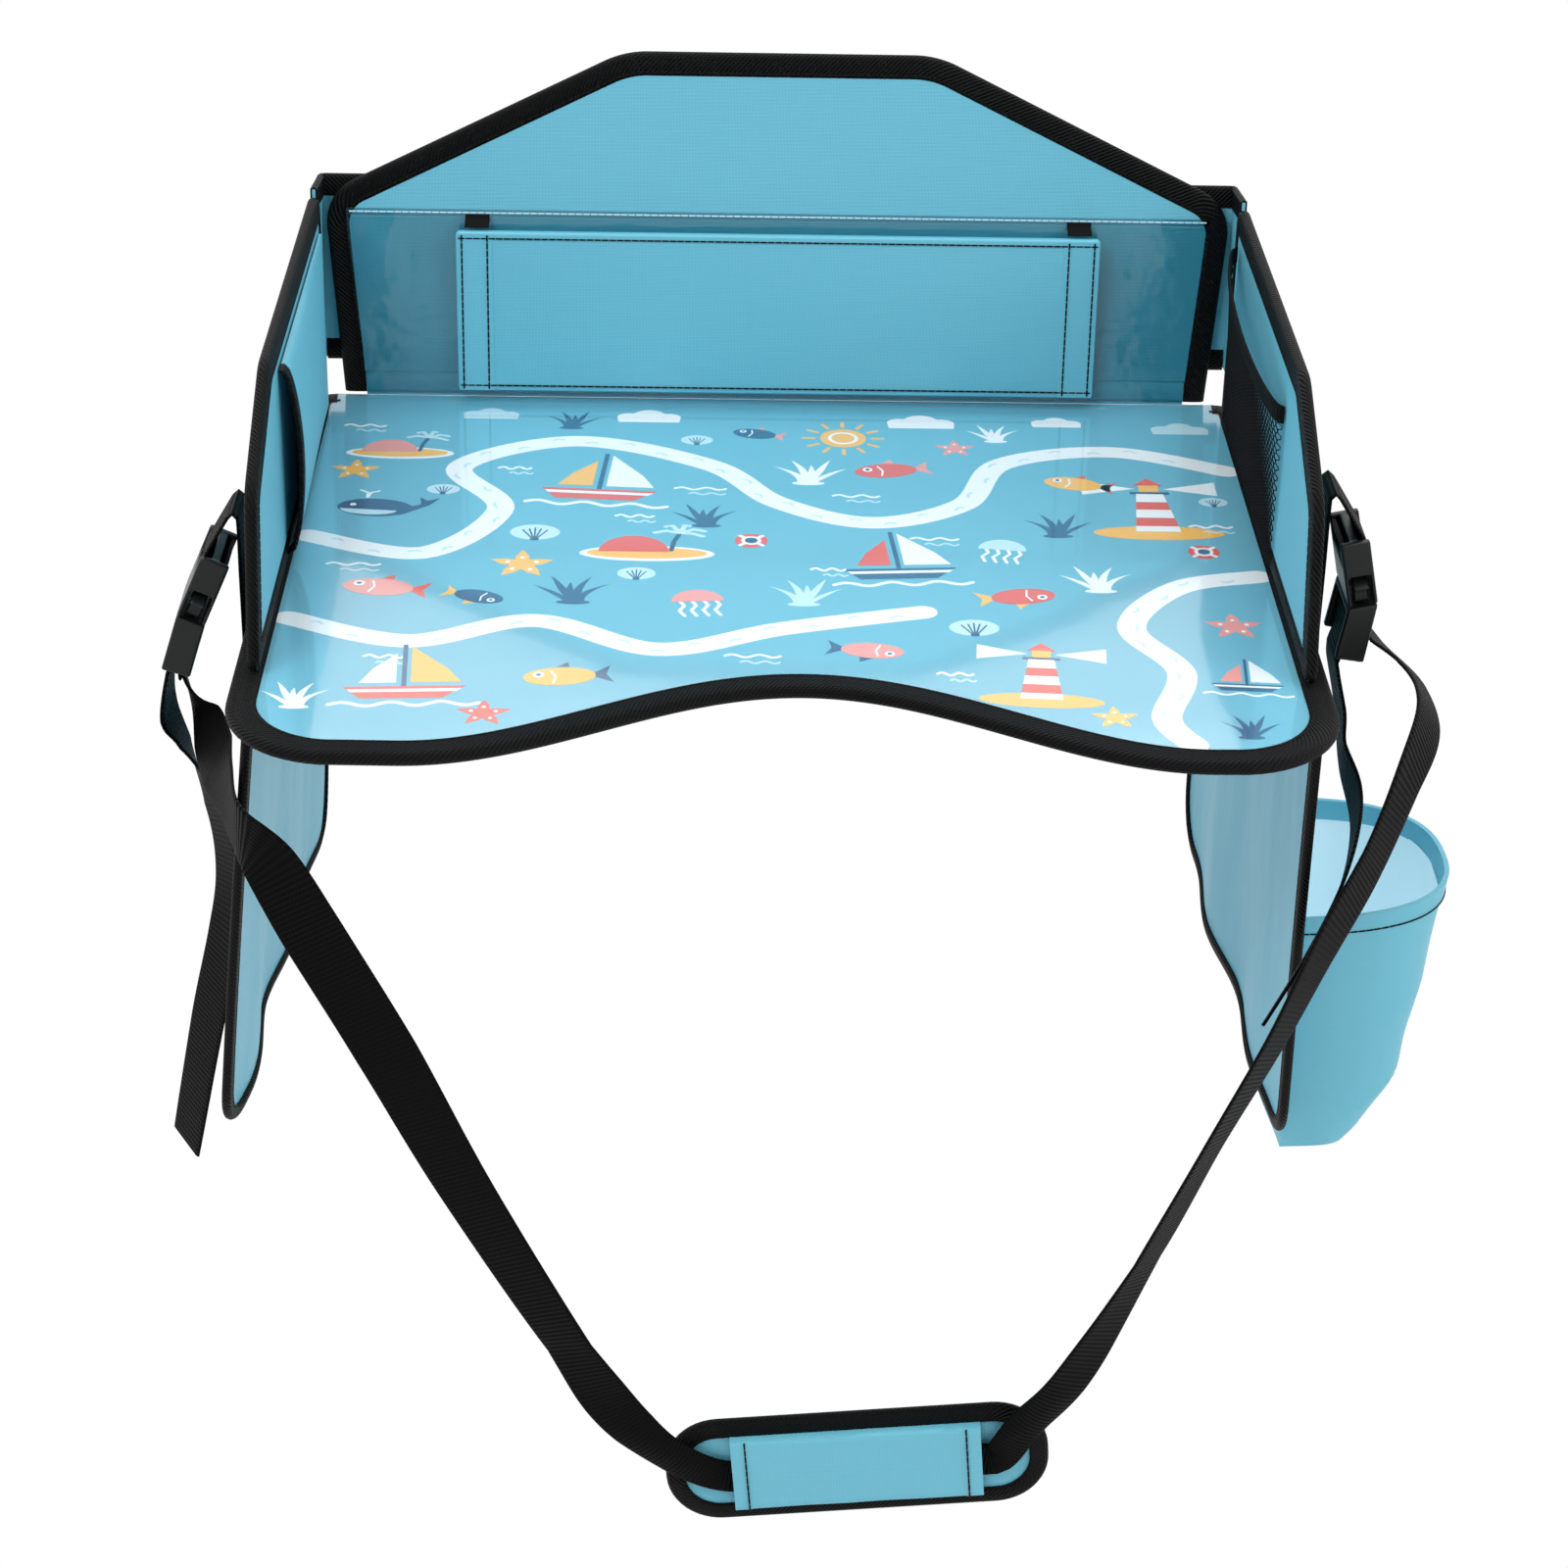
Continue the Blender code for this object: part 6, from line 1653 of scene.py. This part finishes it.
class Sheet:
    """Flat inks gathered into one mesh: each shape is a closed outline, an ink and a layer."""

    def __init__(self, name):
        self.name = name
        self.bm = bmesh.new()
        self.spot, self.size, self.turn = (0.0, 0.0), 1.0, 0.0
        self.count = 0

    def at(self, x, y, size, turn=0.0):
        self.spot, self.size, self.turn = (x, y), size, radians(turn)
        return self

    def shape(self, ink, points, layer=0):
        c, s = self.size * cos(self.turn), self.size * sin(self.turn)
        placed = [(self.spot[0] + x * c - y * s, self.spot[1] + x * s + y * c) for x, y in points]
        self.count = (self.count + 1) % 10
        top = ART_FOOT + ART_LAYER * (layer + 1 + self.count / 12)
        head = [self.bm.verts.new((x, y, top)) for x, y in placed]
        foot = [self.bm.verts.new((x, y, ART_FOOT)) for x, y in placed]
        faces = [self.bm.faces.new(head), self.bm.faces.new(foot[::-1])]
        for i in range(len(head)):
            j = (i + 1) % len(head)
            faces.append(self.bm.faces.new((head[i], foot[i], foot[j], head[j])))
        bmesh.ops.recalc_face_normals(self.bm, faces=faces)
        for face in faces:
            face.material_index = INKS.index(ink)

    def round(self, ink, x, y, rx, ry=None, layer=0, steps=28, start=0.0, end=360.0):
        ry = rx if ry is None else ry
        full = end - start >= 360
        count = steps if full else steps + 1
        angles = [radians(start + (end - start) * k / steps) for k in range(count)]
        self.shape(ink, [(x + rx * cos(a), y + ry * sin(a)) for a in angles], layer)

    def stroke(self, ink, points, width, layer=0):
        """A line of even width with round ends."""
        points = [Vector(p) for p in points]
        left, right = [], []
        for i, p in enumerate(points):
            ahead = (points[min(i + 1, len(points) - 1)] - points[max(i - 1, 0)]).normalized()
            side = Vector((-ahead.y, ahead.x)) * width / 2
            left.append(p + side)
            right.append(p - side)
        ends = []
        for tip, beside in ((points[-1], right[-1]), (points[0], left[0])):
            ends.append([tip + Matrix.Rotation(pi * k / 6, 2) @ (beside - tip) for k in range(1, 6)])
        outline = right + ends[0] + left[::-1] + ends[1]
        self.shape(ink, [tuple(p) for p in outline], layer)

    def wave(self, ink, x, y, length, height, width, humps):
        """A level row of humps, centred on its place."""
        steps = humps * 12
        points = []
        for k in range(steps + 1):
            share = k / steps
            points.append((x + length * (share - 0.5), y + height * sin(2 * pi * humps * share)))
        self.stroke(ink, points, width)

    def done(self):
        return finish_mesh(self.bm, self.name, INKS, 30)


ART_FOOT = 0.00538
ART_LAYER = 0.00006
CURRENT_WIDTH = 0.0118


def sailboat(art, hull, sail, jib):
    art.shape(hull, [(-1.0, 0.0), (-0.72, -0.42), (0.62, -0.42), (1.0, 0.0)])
    art.shape("white", [(-0.93, -0.10), (-0.86, -0.20), (0.84, -0.20), (0.93, -0.10)], 1)
    art.shape("navy", [(-0.05, 0.0), (0.03, 0.0), (0.03, 1.52), (-0.05, 1.52)], 1)
    art.shape(sail, [(0.10, 0.14), (0.92, 0.14), (0.70, 0.62), (0.10, 1.46)])
    art.shape(jib, [(-0.14, 0.14), (-0.14, 1.20), (-0.52, 0.66), (-0.74, 0.14)])
    art.wave("white", 0, -0.62, 2.4, 0.07, 0.09, 3)


def fish(art, body, fin):
    art.shape(fin, [(0.66, 0.0), (1.20, 0.42), (1.06, 0.0), (1.20, -0.42)])
    art.shape(fin, [(-0.20, 0.30), (0.30, 0.30), (0.26, 0.70)])
    art.round(body, 0, 0, 0.82, 0.44, layer=1)
    art.round("white", -0.46, 0.12, 0.13, layer=2)
    art.round("navy", -0.46, 0.12, 0.06, layer=3, steps=14)
    art.stroke("white", [(-0.16, -0.30), (-0.08, 0.0), (-0.16, 0.28)], 0.05, 2)


def lighthouse(art):
    art.round("mustard", 0.0, -0.86, 1.05, 0.26)
    art.shape("white", [(-0.36, -0.80), (0.36, -0.80), (0.22, 0.66), (-0.22, 0.66)], 1)
    for low, high in ((-0.60, -0.28), (0.04, 0.34)):
        wide, narrow = 0.36 - 0.096 * (low + 0.80), 0.36 - 0.096 * (high + 0.80)
        art.shape("coral", [(-wide, low), (wide, low), (narrow, high), (-narrow, high)], 2)
    art.shape("navy", [(-0.32, 0.66), (0.32, 0.66), (0.32, 0.74), (-0.32, 0.74)], 2)
    art.shape("mustard", [(-0.16, 0.74), (0.16, 0.74), (0.16, 1.00), (-0.16, 1.00)], 2)
    art.shape("coral", [(-0.24, 1.00), (0.24, 1.00), (0.0, 1.30)], 2)
    for end in (-1, 1):
        art.shape("white", [(end * 0.24, 0.87), (end * 1.10, 1.16), (end * 1.10, 0.62)])


def cloud(art, ink):
    """Three round heads over a level foot, as one outline."""
    heads = ((-0.56, -0.02, 0.34), (0.0, 0.10, 0.46), (0.56, -0.04, 0.34))
    points = [(-0.84, -0.30), (0.84, -0.30)]
    for k in range(41):
        x = 0.88 - 1.76 * k / 40
        tops = [y + sqrt(r * r - (x - c) ** 2) for c, y, r in heads if abs(x - c) < r]
        points.append((x, max(tops + [-0.16])))
    art.shape(ink, points)


def sun(art):
    art.round("mustard", 0, 0, 0.52)
    for k in range(12):
        a = 2 * pi * k / 12
        art.stroke("mustard", [(0.66 * cos(a), 0.66 * sin(a)), (0.90 * cos(a), 0.90 * sin(a))], 0.09)
    art.round("white", 0, 0, 0.34, layer=1)
    art.round("mustard", 0, 0, 0.26, layer=2)


def island(art, hill):
    art.round("white", 0, -0.32, 1.12, 0.30)
    art.round("mustard", 0, -0.30, 1.00, 0.22, layer=1)
    art.round(hill, -0.22, -0.26, 0.58, 0.62, layer=2, start=0, end=180)
    art.stroke("navy", [(0.40, -0.20), (0.44, 0.16), (0.54, 0.50)], 0.08, 2)
    for a in (15, 70, 125, 180, -25):
        turn = radians(a)
        tip = (0.54 + 0.42 * cos(turn), 0.50 + 0.30 * sin(turn))
        middle = (0.54 + 0.24 * cos(turn), 0.58 + 0.26 * sin(turn))
        art.stroke("pale", [(0.54, 0.50), middle, tip], 0.09, 2)


def starfish(art, ink):
    points = []
    for k in range(20):
        reach = 0.92 if k % 4 == 0 else 0.34 if k % 4 == 2 else 0.58
        a = 2 * pi * k / 20 + pi / 2
        points.append((reach * cos(a), reach * sin(a)))
    art.shape(ink, points)
    for k in range(5):
        a = 2 * pi * k / 5 + pi / 2
        art.round("white", 0.42 * cos(a), 0.42 * sin(a), 0.07, layer=1, steps=12)


def whale(art):
    art.round("navy", 0, -0.02, 0.94, 0.52)
    tail = [(0.72, 0.02), (1.10, 0.30), (1.00, 0.72), (1.22, 0.52), (1.50, 0.70), (1.32, 0.28), (0.92, -0.16)]
    art.shape("navy", tail)
    art.round("pale", -0.14, -0.16, 0.70, 0.30, layer=1, start=180, end=360)
    art.round("white", -0.56, 0.10, 0.08, layer=1, steps=14)
    art.stroke("white", [(-0.30, 0.58), (-0.32, 0.86), (-0.52, 0.98)], 0.07)
    art.stroke("white", [(-0.28, 0.58), (-0.24, 0.86), (-0.06, 0.98)], 0.07)


def buoy(art, ink):
    art.round(ink, 0, 0, 0.56)
    art.round("white", 0, 0, 0.34, layer=1)
    art.round("navy", 0, 0, 0.22, layer=2)
    for k in range(4):
        a = pi / 4 + pi / 2 * k
        art.stroke("white", [(0.36 * cos(a), 0.36 * sin(a)), (0.54 * cos(a), 0.54 * sin(a))], 0.14, 1)


def current(art, points, width):
    """A winding white band with short pale ripples along it."""
    stations = [(Vector((x, y, 0)), Vector((0, 0, 1))) for x, y in points]
    middle = [(p.x, p.y) for p, _ in smooth_route(stations, 0.004)]
    art.at(0, 0, 1).stroke("white", middle, width)
    for i in range(4, len(middle) - 4, 4):
        ahead = (Vector(middle[i + 1]) - Vector(middle[i - 1])).normalized() * width
        side = Vector((-ahead.y, ahead.x)) * 0.16 * (1 if i % 8 else -1)
        centre = Vector(middle[i]) + side
        bow = Vector((-ahead.y, ahead.x)) * 0.09
        art.stroke("pale", [centre - ahead * 0.20, centre + bow, centre + ahead * 0.20], width * 0.11, 1)


def jellyfish(art, ink, arms):
    art.round(ink, 0, 0.1, 0.62, 0.62, layer=1, start=0, end=180)
    for x in (-0.42, -0.14, 0.14, 0.42):
        art.stroke(arms, [(x, 0.14), (x + 0.08, -0.12), (x - 0.06, -0.38), (x + 0.04, -0.66)], 0.09)


def kelp(art, ink, turn):
    """A tuft of soft blades that part from one foot."""
    for lean, tall in ((-0.62, 1.05), (-0.26, 1.45), (0.14, 1.15), (0.54, 1.50), (0.86, 0.95)):
        near, far = [], []
        for k in range(9):
            share = k / 8
            x = turn * (lean * (0.25 + share * share) + 0.10 * sin(pi * share))
            y = -0.75 + tall * share
            half = 0.105 * sin(pi * (0.12 + 0.86 * share))
            near.append((x - half, y))
            far.append((x + half, y))
        art.shape(ink, near + far[::-1])
    art.round(ink, 0.08 * turn, -0.75, 0.42, 0.12)


def shell(art, ink, rib):
    art.round(ink, 0, 0, 0.85, 0.62, layer=0)
    for x in (-0.42, -0.2, 0.0, 0.2, 0.42):
        art.stroke(rib, [(x * 0.2, -0.5), (x, 0.34 - abs(x) * 0.4)], 0.06, 1)
    art.round(rib, 0, -0.56, 0.16, 0.10, layer=1)


CURRENTS = (
    ((-0.200, 0.020), (-0.150, 0.004), (-0.120, 0.050), (-0.140, 0.095), (-0.090, 0.125), (-0.030, 0.100),
     (0.000, 0.060), (0.040, 0.040), (0.080, 0.060), (0.100, 0.105), (0.150, 0.120), (0.200, 0.100)),
    ((-0.200, -0.060), (-0.150, -0.080), (-0.100, -0.060), (-0.050, -0.085), (0.000, -0.065),
     (0.058, -0.048)),
    ((0.200, -0.010), (0.165, -0.022), (0.142, -0.060), (0.158, -0.100), (0.148, -0.140),
     (0.156, -0.162)),
)
SAILBOATS = (
    (-0.078, 0.072, 0.0255, -4, ("coral", "white", "mustard")),
    (0.050, -0.006, 0.0240, 4, ("navy", "white", "coral")),
    (-0.148, -0.120, 0.0240, 3, ("coral", "mustard", "white")),
    (0.183, -0.110, 0.0145, -4, ("navy", "white", "rose")),
)
FISHES = (
    (0.048, 0.096, 0.0170, 10, ("coral", "rose")), (0.130, 0.084, 0.0155, -14, ("mustard", "coral")),
    (-0.166, -0.030, 0.0180, -8, ("rose", "coral")), (-0.088, -0.110, 0.0175, 8, ("mustard", "navy")),
    (0.100, -0.032, 0.0165, 190, ("coral", "mustard")), (0.036, -0.084, 0.0155, 172, ("rose", "navy")),
    (-0.010, 0.136, 0.0120, -12, ("navy", "rose")), (-0.124, -0.038, 0.0130, 160, ("navy", "mustard")),
)
CLOUDS = (
    (-0.058, 0.153, 0.0165, "white"), (0.066, 0.150, 0.0175, "white"), (0.184, 0.146, 0.0150, "pale"),
    (-0.130, 0.154, 0.0145, "pale"), (0.128, 0.152, 0.0130, "white"),
)
STARS = (
    (-0.108, -0.006, 0.0150, "mustard"), (-0.116, -0.142, 0.0120, "coral"), (0.184, -0.058, 0.0135, "rose"),
    (0.128, -0.140, 0.0105, "mustard"), (-0.186, 0.090, 0.0125, "mustard"), (0.080, 0.122, 0.0105, "rose"),
)
KELPS = (
    (0.012, 0.094, 0.0170, "white"), (-0.084, -0.030, 0.0165, "navy"), (0.008, -0.030, 0.0160, "pale"),
    (0.134, -0.014, 0.0160, "white"), (0.178, -0.146, 0.0125, "navy"), (-0.188, -0.128, 0.0140, "white"),
    (-0.094, 0.150, 0.0130, "navy"), (-0.030, 0.046, 0.0150, "navy"), (0.118, 0.040, 0.0155, "navy"),
    (0.100, 0.140, 0.0125, "white"),
)
SHELLS = (
    (-0.104, 0.026, 0.0125), (-0.060, -0.014, 0.0095), (0.078, -0.062, 0.0120), (-0.146, 0.070, 0.0085),
    (-0.036, 0.128, 0.0085), (0.190, 0.066, 0.0075),
)
RIPPLES = (
    (-0.178, -0.008, 0.022), (-0.034, 0.074, 0.022), (0.034, 0.068, 0.020), (0.066, 0.024, 0.020),
    (0.186, 0.040, 0.018), (-0.012, -0.090, 0.022), (-0.186, 0.140, 0.018), (-0.116, 0.094, 0.014),
    (0.020, -0.008, 0.014), (-0.062, 0.044, 0.016), (0.068, -0.104, 0.014), (-0.158, -0.094, 0.016),
)


def build_art():
    art = Sheet("tray_artwork")
    for points in CURRENTS:
        current(art, points, CURRENT_WIDTH)
    for x, y, size, turn, inks in SAILBOATS:
        sailboat(art.at(x, y, size, turn), *inks)
    for x, y, size, turn, inks in FISHES:
        fish(art.at(x, y, size, turn), *inks)
    for x, y, size, ink in CLOUDS:
        cloud(art.at(x, y, size), ink)
    for x, y, size, ink in STARS:
        starfish(art.at(x, y, size), ink)
    lighthouse(art.at(0.163, 0.056, 0.0270))
    lighthouse(art.at(0.102, -0.106, 0.0235, -4))
    sun(art.at(0.030, 0.132, 0.0200))
    island(art.at(-0.056, 0.014, 0.0255), "coral")
    island(art.at(-0.168, 0.116, 0.0215), "rose")
    whale(art.at(-0.174, 0.050, 0.0175, -5))
    buoy(art.at(-0.012, 0.020, 0.0125), "coral")
    buoy(art.at(0.180, 0.014, 0.0120), "coral")
    jellyfish(art.at(-0.034, -0.042, 0.0175, 6), "rose", "white")
    jellyfish(art.at(0.094, 0.012, 0.0165, -8), "pale", "white")
    for i, (x, y, size, ink) in enumerate(KELPS):
        kelp(art.at(x, y, size), ink, 1 - 2 * (i % 2))
    for x, y, size in SHELLS:
        shell(art.at(x, y, size), "pale", "navy")
    art.at(0, 0, 1)
    for x, y, length in RIPPLES:
        art.wave("white", x, y, length, 0.0012, 0.0015, 2)
        art.wave("pale", x + 0.003, y - 0.0055, length * 0.7, 0.0010, 0.0012, 2)
    assign(art.done(), "tray", "print_blue")


# Studio


CAMERA_PLACE = Vector((-0.0284, -1.3832, 0.6477))
CAMERA_YAW = 0.0232
CAMERA_PITCH = 0.4959
CAMERA_ROLL = 0.0219
CAMERA_LENS = 83.25
SENSOR_WIDTH = 36
CAMERA_REACH = 20
WHITE_RAYS = ("Is Camera Ray", "Is Glossy Ray", "Is Transmission Ray")
FLOOR_REACH = 6.0
FLOOR_HEIGHT = -0.400


def build_camera():
    level = cos(CAMERA_PITCH)
    ahead = Vector((sin(CAMERA_YAW) * level, cos(CAMERA_YAW) * level, -sin(CAMERA_PITCH)))
    right = Vector((cos(CAMERA_YAW), -sin(CAMERA_YAW), 0))
    up = right.cross(ahead)
    across = right * cos(CAMERA_ROLL) + up * sin(CAMERA_ROLL)
    top = up * cos(CAMERA_ROLL) - right * sin(CAMERA_ROLL)
    lens = bpy.data.cameras.new("camera")
    lens.lens = CAMERA_LENS
    lens.sensor_width = SENSOR_WIDTH
    lens.clip_end = CAMERA_REACH
    camera = bpy.data.objects.new("camera", lens)
    turn = Matrix((across, top, -ahead)).transposed().to_4x4()
    camera.matrix_world = Matrix.Translation(CAMERA_PLACE) @ turn
    bpy.context.scene.collection.objects.link(camera)
    bpy.context.scene.camera = camera


def white_where_seen(tree, shader, output):
    """Pure white to the white rays, and the shader to every other ray."""
    path = tree.nodes.new("ShaderNodeLightPath")
    seen = path.outputs[WHITE_RAYS[0]]
    for label in WHITE_RAYS[1:]:
        seen = maths(tree, "MAXIMUM", seen, path.outputs[label])
    white = tree.nodes.new("ShaderNodeEmission")
    mix = tree.nodes.new("ShaderNodeMixShader")
    tree.links.new(seen, mix.inputs[0])
    tree.links.new(shader, mix.inputs[1])
    tree.links.new(white.outputs[0], mix.inputs[2])
    tree.links.new(mix.outputs[0], tree.nodes[output].inputs["Surface"])


def build_floor():
    material = plain_material("floor_white", (0.85, 0.85, 0.85), 0.9, 0.1)
    white_where_seen(material.node_tree, shader_of(material).outputs[0], "Material Output")
    mesh = bpy.data.meshes.new("floor")
    quarters = ((-1, -1), (1, -1), (1, 1), (-1, 1))
    corners = [(x * FLOOR_REACH, y * FLOOR_REACH, FLOOR_HEIGHT) for x, y in quarters]
    mesh.from_pydata(corners, [], [(0, 1, 2, 3)])
    mesh.materials.append(material)
    ground = bpy.data.objects.new("floor", mesh)
    bpy.context.scene.collection.objects.link(ground)


# Each lamp: name, place, size and power. All of them look at the tray's middle
LAMPS = (
    ("key", (-1.3, -1.3, 2.1), (1.4, 1.0), 34),
    ("fill", (1.7, -1.0, 1.1), (1.4, 1.4), 16),
    ("top", (0.1, 0.5, 2.2), (2.0, 1.2), 22),
    ("behind", (0.0, 1.5, 1.29), (2.2, 0.7), 7),
)


def build_light():
    """The even light of the studio's walls, and its lamps."""
    scene = bpy.context.scene
    world = bpy.data.worlds.new("studio")
    world.use_nodes = True
    scene.world = world
    back = world.node_tree.nodes["Background"]
    back.inputs["Color"].default_value = (0.93, 0.97, 1.0, 1)
    back.inputs["Strength"].default_value = 0.55
    white_where_seen(world.node_tree, back.outputs[0], "World Output")
    for name, place, size, power in LAMPS:
        lamp = bpy.data.lights.new(name, "AREA")
        lamp.shape = "RECTANGLE"
        lamp.size, lamp.size_y = size
        lamp.energy = power
        holder = bpy.data.objects.new(name, lamp)
        turn = (-Vector(place)).to_track_quat("-Z", "Y").to_matrix().to_4x4()
        holder.matrix_world = Matrix.Translation(place) @ turn
        scene.collection.objects.link(holder)


# Operators, panel and run


class TRAY_OT_finishes(bpy.types.Operator):
    """Make the finishes and the trees for stitches and net"""

    bl_idname = "tray.finishes"
    bl_label = "Make the finishes"

    def execute(self, context):
        make_materials(context.scene.tray_colours, context.scene.tray_sizes)
        TREES.update(stitches=stitch_tree(), net_threads=net_tree())
        return {"FINISHED"}


class TRAY_OT_stage(bpy.types.Operator):
    """Make the floor, the light and the camera"""

    bl_idname = "tray.stage"
    bl_label = "Make the stage"

    def execute(self, context):
        context.scene.view_settings.view_transform = "Standard"
        build_floor()
        build_light()
        build_camera()
        return {"FINISHED"}


class TRAY_OT_tray(bpy.types.Operator):
    """Make the printed sheet, clear film, tape and stitches of the tray"""

    bl_idname = "tray.tray"
    bl_label = "Make the tray"

    def execute(self, context):
        build_tray()
        return {"FINISHED"}


class TRAY_OT_artwork(bpy.types.Operator):
    """Draw the flat inks on the printed sheet"""

    bl_idname = "tray.artwork"
    bl_label = "Make the artwork"

    def execute(self, context):
        build_art()
        return {"FINISHED"}


class TRAY_OT_back(bpy.types.Operator):
    """Make the tape, pocket, corner wraps and stitches of the back panel"""

    bl_idname = "tray.back"
    bl_label = "Make the back panel"

    def execute(self, context):
        build_back()
        return {"FINISHED"}


class TRAY_OT_band(bpy.types.Operator):
    """Make the band, its hems and its elastic tabs"""

    bl_idname = "tray.band"
    bl_label = "Make the tablet band"

    def execute(self, context):
        build_band()
        return {"FINISHED"}


class TRAY_OT_sides(bpy.types.Operator):
    """Make the tape and the pocket of each side panel"""

    bl_idname = "tray.sides"
    bl_label = "Make the side panels"

    def execute(self, context):
        for side in (-1, 1):
            build_side(side)
        return {"FINISHED"}


class TRAY_OT_flaps(bpy.types.Operator):
    """Make the hanging cloth, tape and stitches of each flap"""

    bl_idname = "tray.flaps"
    bl_label = "Make the flaps"

    def execute(self, context):
        for side in (-1, 1):
            build_flap(side)
        return {"FINISHED"}


class TRAY_OT_cup(bpy.types.Operator):
    """Make the pouch, its hem and its stitches on the right flap"""

    bl_idname = "tray.cup"
    bl_label = "Make the cup pouch"

    def execute(self, context):
        build_cup()
        return {"FINISHED"}


class TRAY_OT_anchors(bpy.types.Operator):
    """Make the webbing from the tray's seams to the sockets"""

    bl_idname = "tray.anchors"
    bl_label = "Make the anchors"

    def execute(self, context):
        for side in (-1, 1):
            build_anchor(side)
        return {"FINISHED"}


class TRAY_OT_straps(bpy.types.Operator):
    """Make the webbing from the pad through each clip to its tail"""

    bl_idname = "tray.straps"
    bl_label = "Make the straps"

    def execute(self, context):
        for side in (-1, 1):
            build_strap(side)
        return {"FINISHED"}


class TRAY_OT_buckles(bpy.types.Operator):
    """Give sockets, clips and prongs the soft edges of mouldings"""

    bl_idname = "tray.buckles"
    bl_label = "Make the buckles"

    def execute(self, context):
        for side in (-1, 1):
            build_buckle(side)
        return {"FINISHED"}


class TRAY_OT_pad(bpy.types.Operator):
    """Make the backing, tape, foam and band of the shoulder pad"""

    bl_idname = "tray.pad"
    bl_label = "Make the shoulder pad"

    def execute(self, context):
        build_pad()
        return {"FINISHED"}


OPERATORS = (
    TRAY_OT_finishes, TRAY_OT_stage, TRAY_OT_tray, TRAY_OT_artwork, TRAY_OT_back, TRAY_OT_band,
    TRAY_OT_sides, TRAY_OT_flaps, TRAY_OT_cup, TRAY_OT_anchors, TRAY_OT_straps, TRAY_OT_buckles,
    TRAY_OT_pad,
)


class TRAY_PT_parts(bpy.types.Panel):
    """Lists the steps that dress the tray"""

    bl_idname = "TRAY_PT_parts"
    bl_label = "Car seat tray table"
    bl_space_type = "VIEW_3D"
    bl_region_type = "UI"
    bl_category = "Tray"

    def draw(self, context):
        layout = self.layout
        for group in (context.scene.tray_colours, context.scene.tray_sizes):
            for label in group.__annotations__:
                layout.prop(group, label)
        for step in OPERATORS:
            layout.operator(step.bl_idname)


CLASSES = (TrayColours, TraySizes, *OPERATORS, TRAY_PT_parts)


def register():
    for item in CLASSES:
        bpy.utils.register_class(item)
    bpy.types.Scene.tray_colours = PointerProperty(type=TrayColours)
    bpy.types.Scene.tray_sizes = PointerProperty(type=TraySizes)


def unregister():
    del bpy.types.Scene.tray_sizes
    del bpy.types.Scene.tray_colours
    for item in reversed(CLASSES):
        bpy.utils.unregister_class(item)


def main():
    register()
    bpy.ops.tray.finishes()
    bpy.ops.tray.stage()
    bpy.ops.tray.tray()
    bpy.ops.tray.artwork()
    bpy.ops.tray.back()
    bpy.ops.tray.band()
    bpy.ops.tray.sides()
    bpy.ops.tray.flaps()
    bpy.ops.tray.cup()
    bpy.ops.tray.anchors()
    bpy.ops.tray.straps()
    bpy.ops.tray.buckles()
    bpy.ops.tray.pad()


if __name__ == "__main__":
    main()
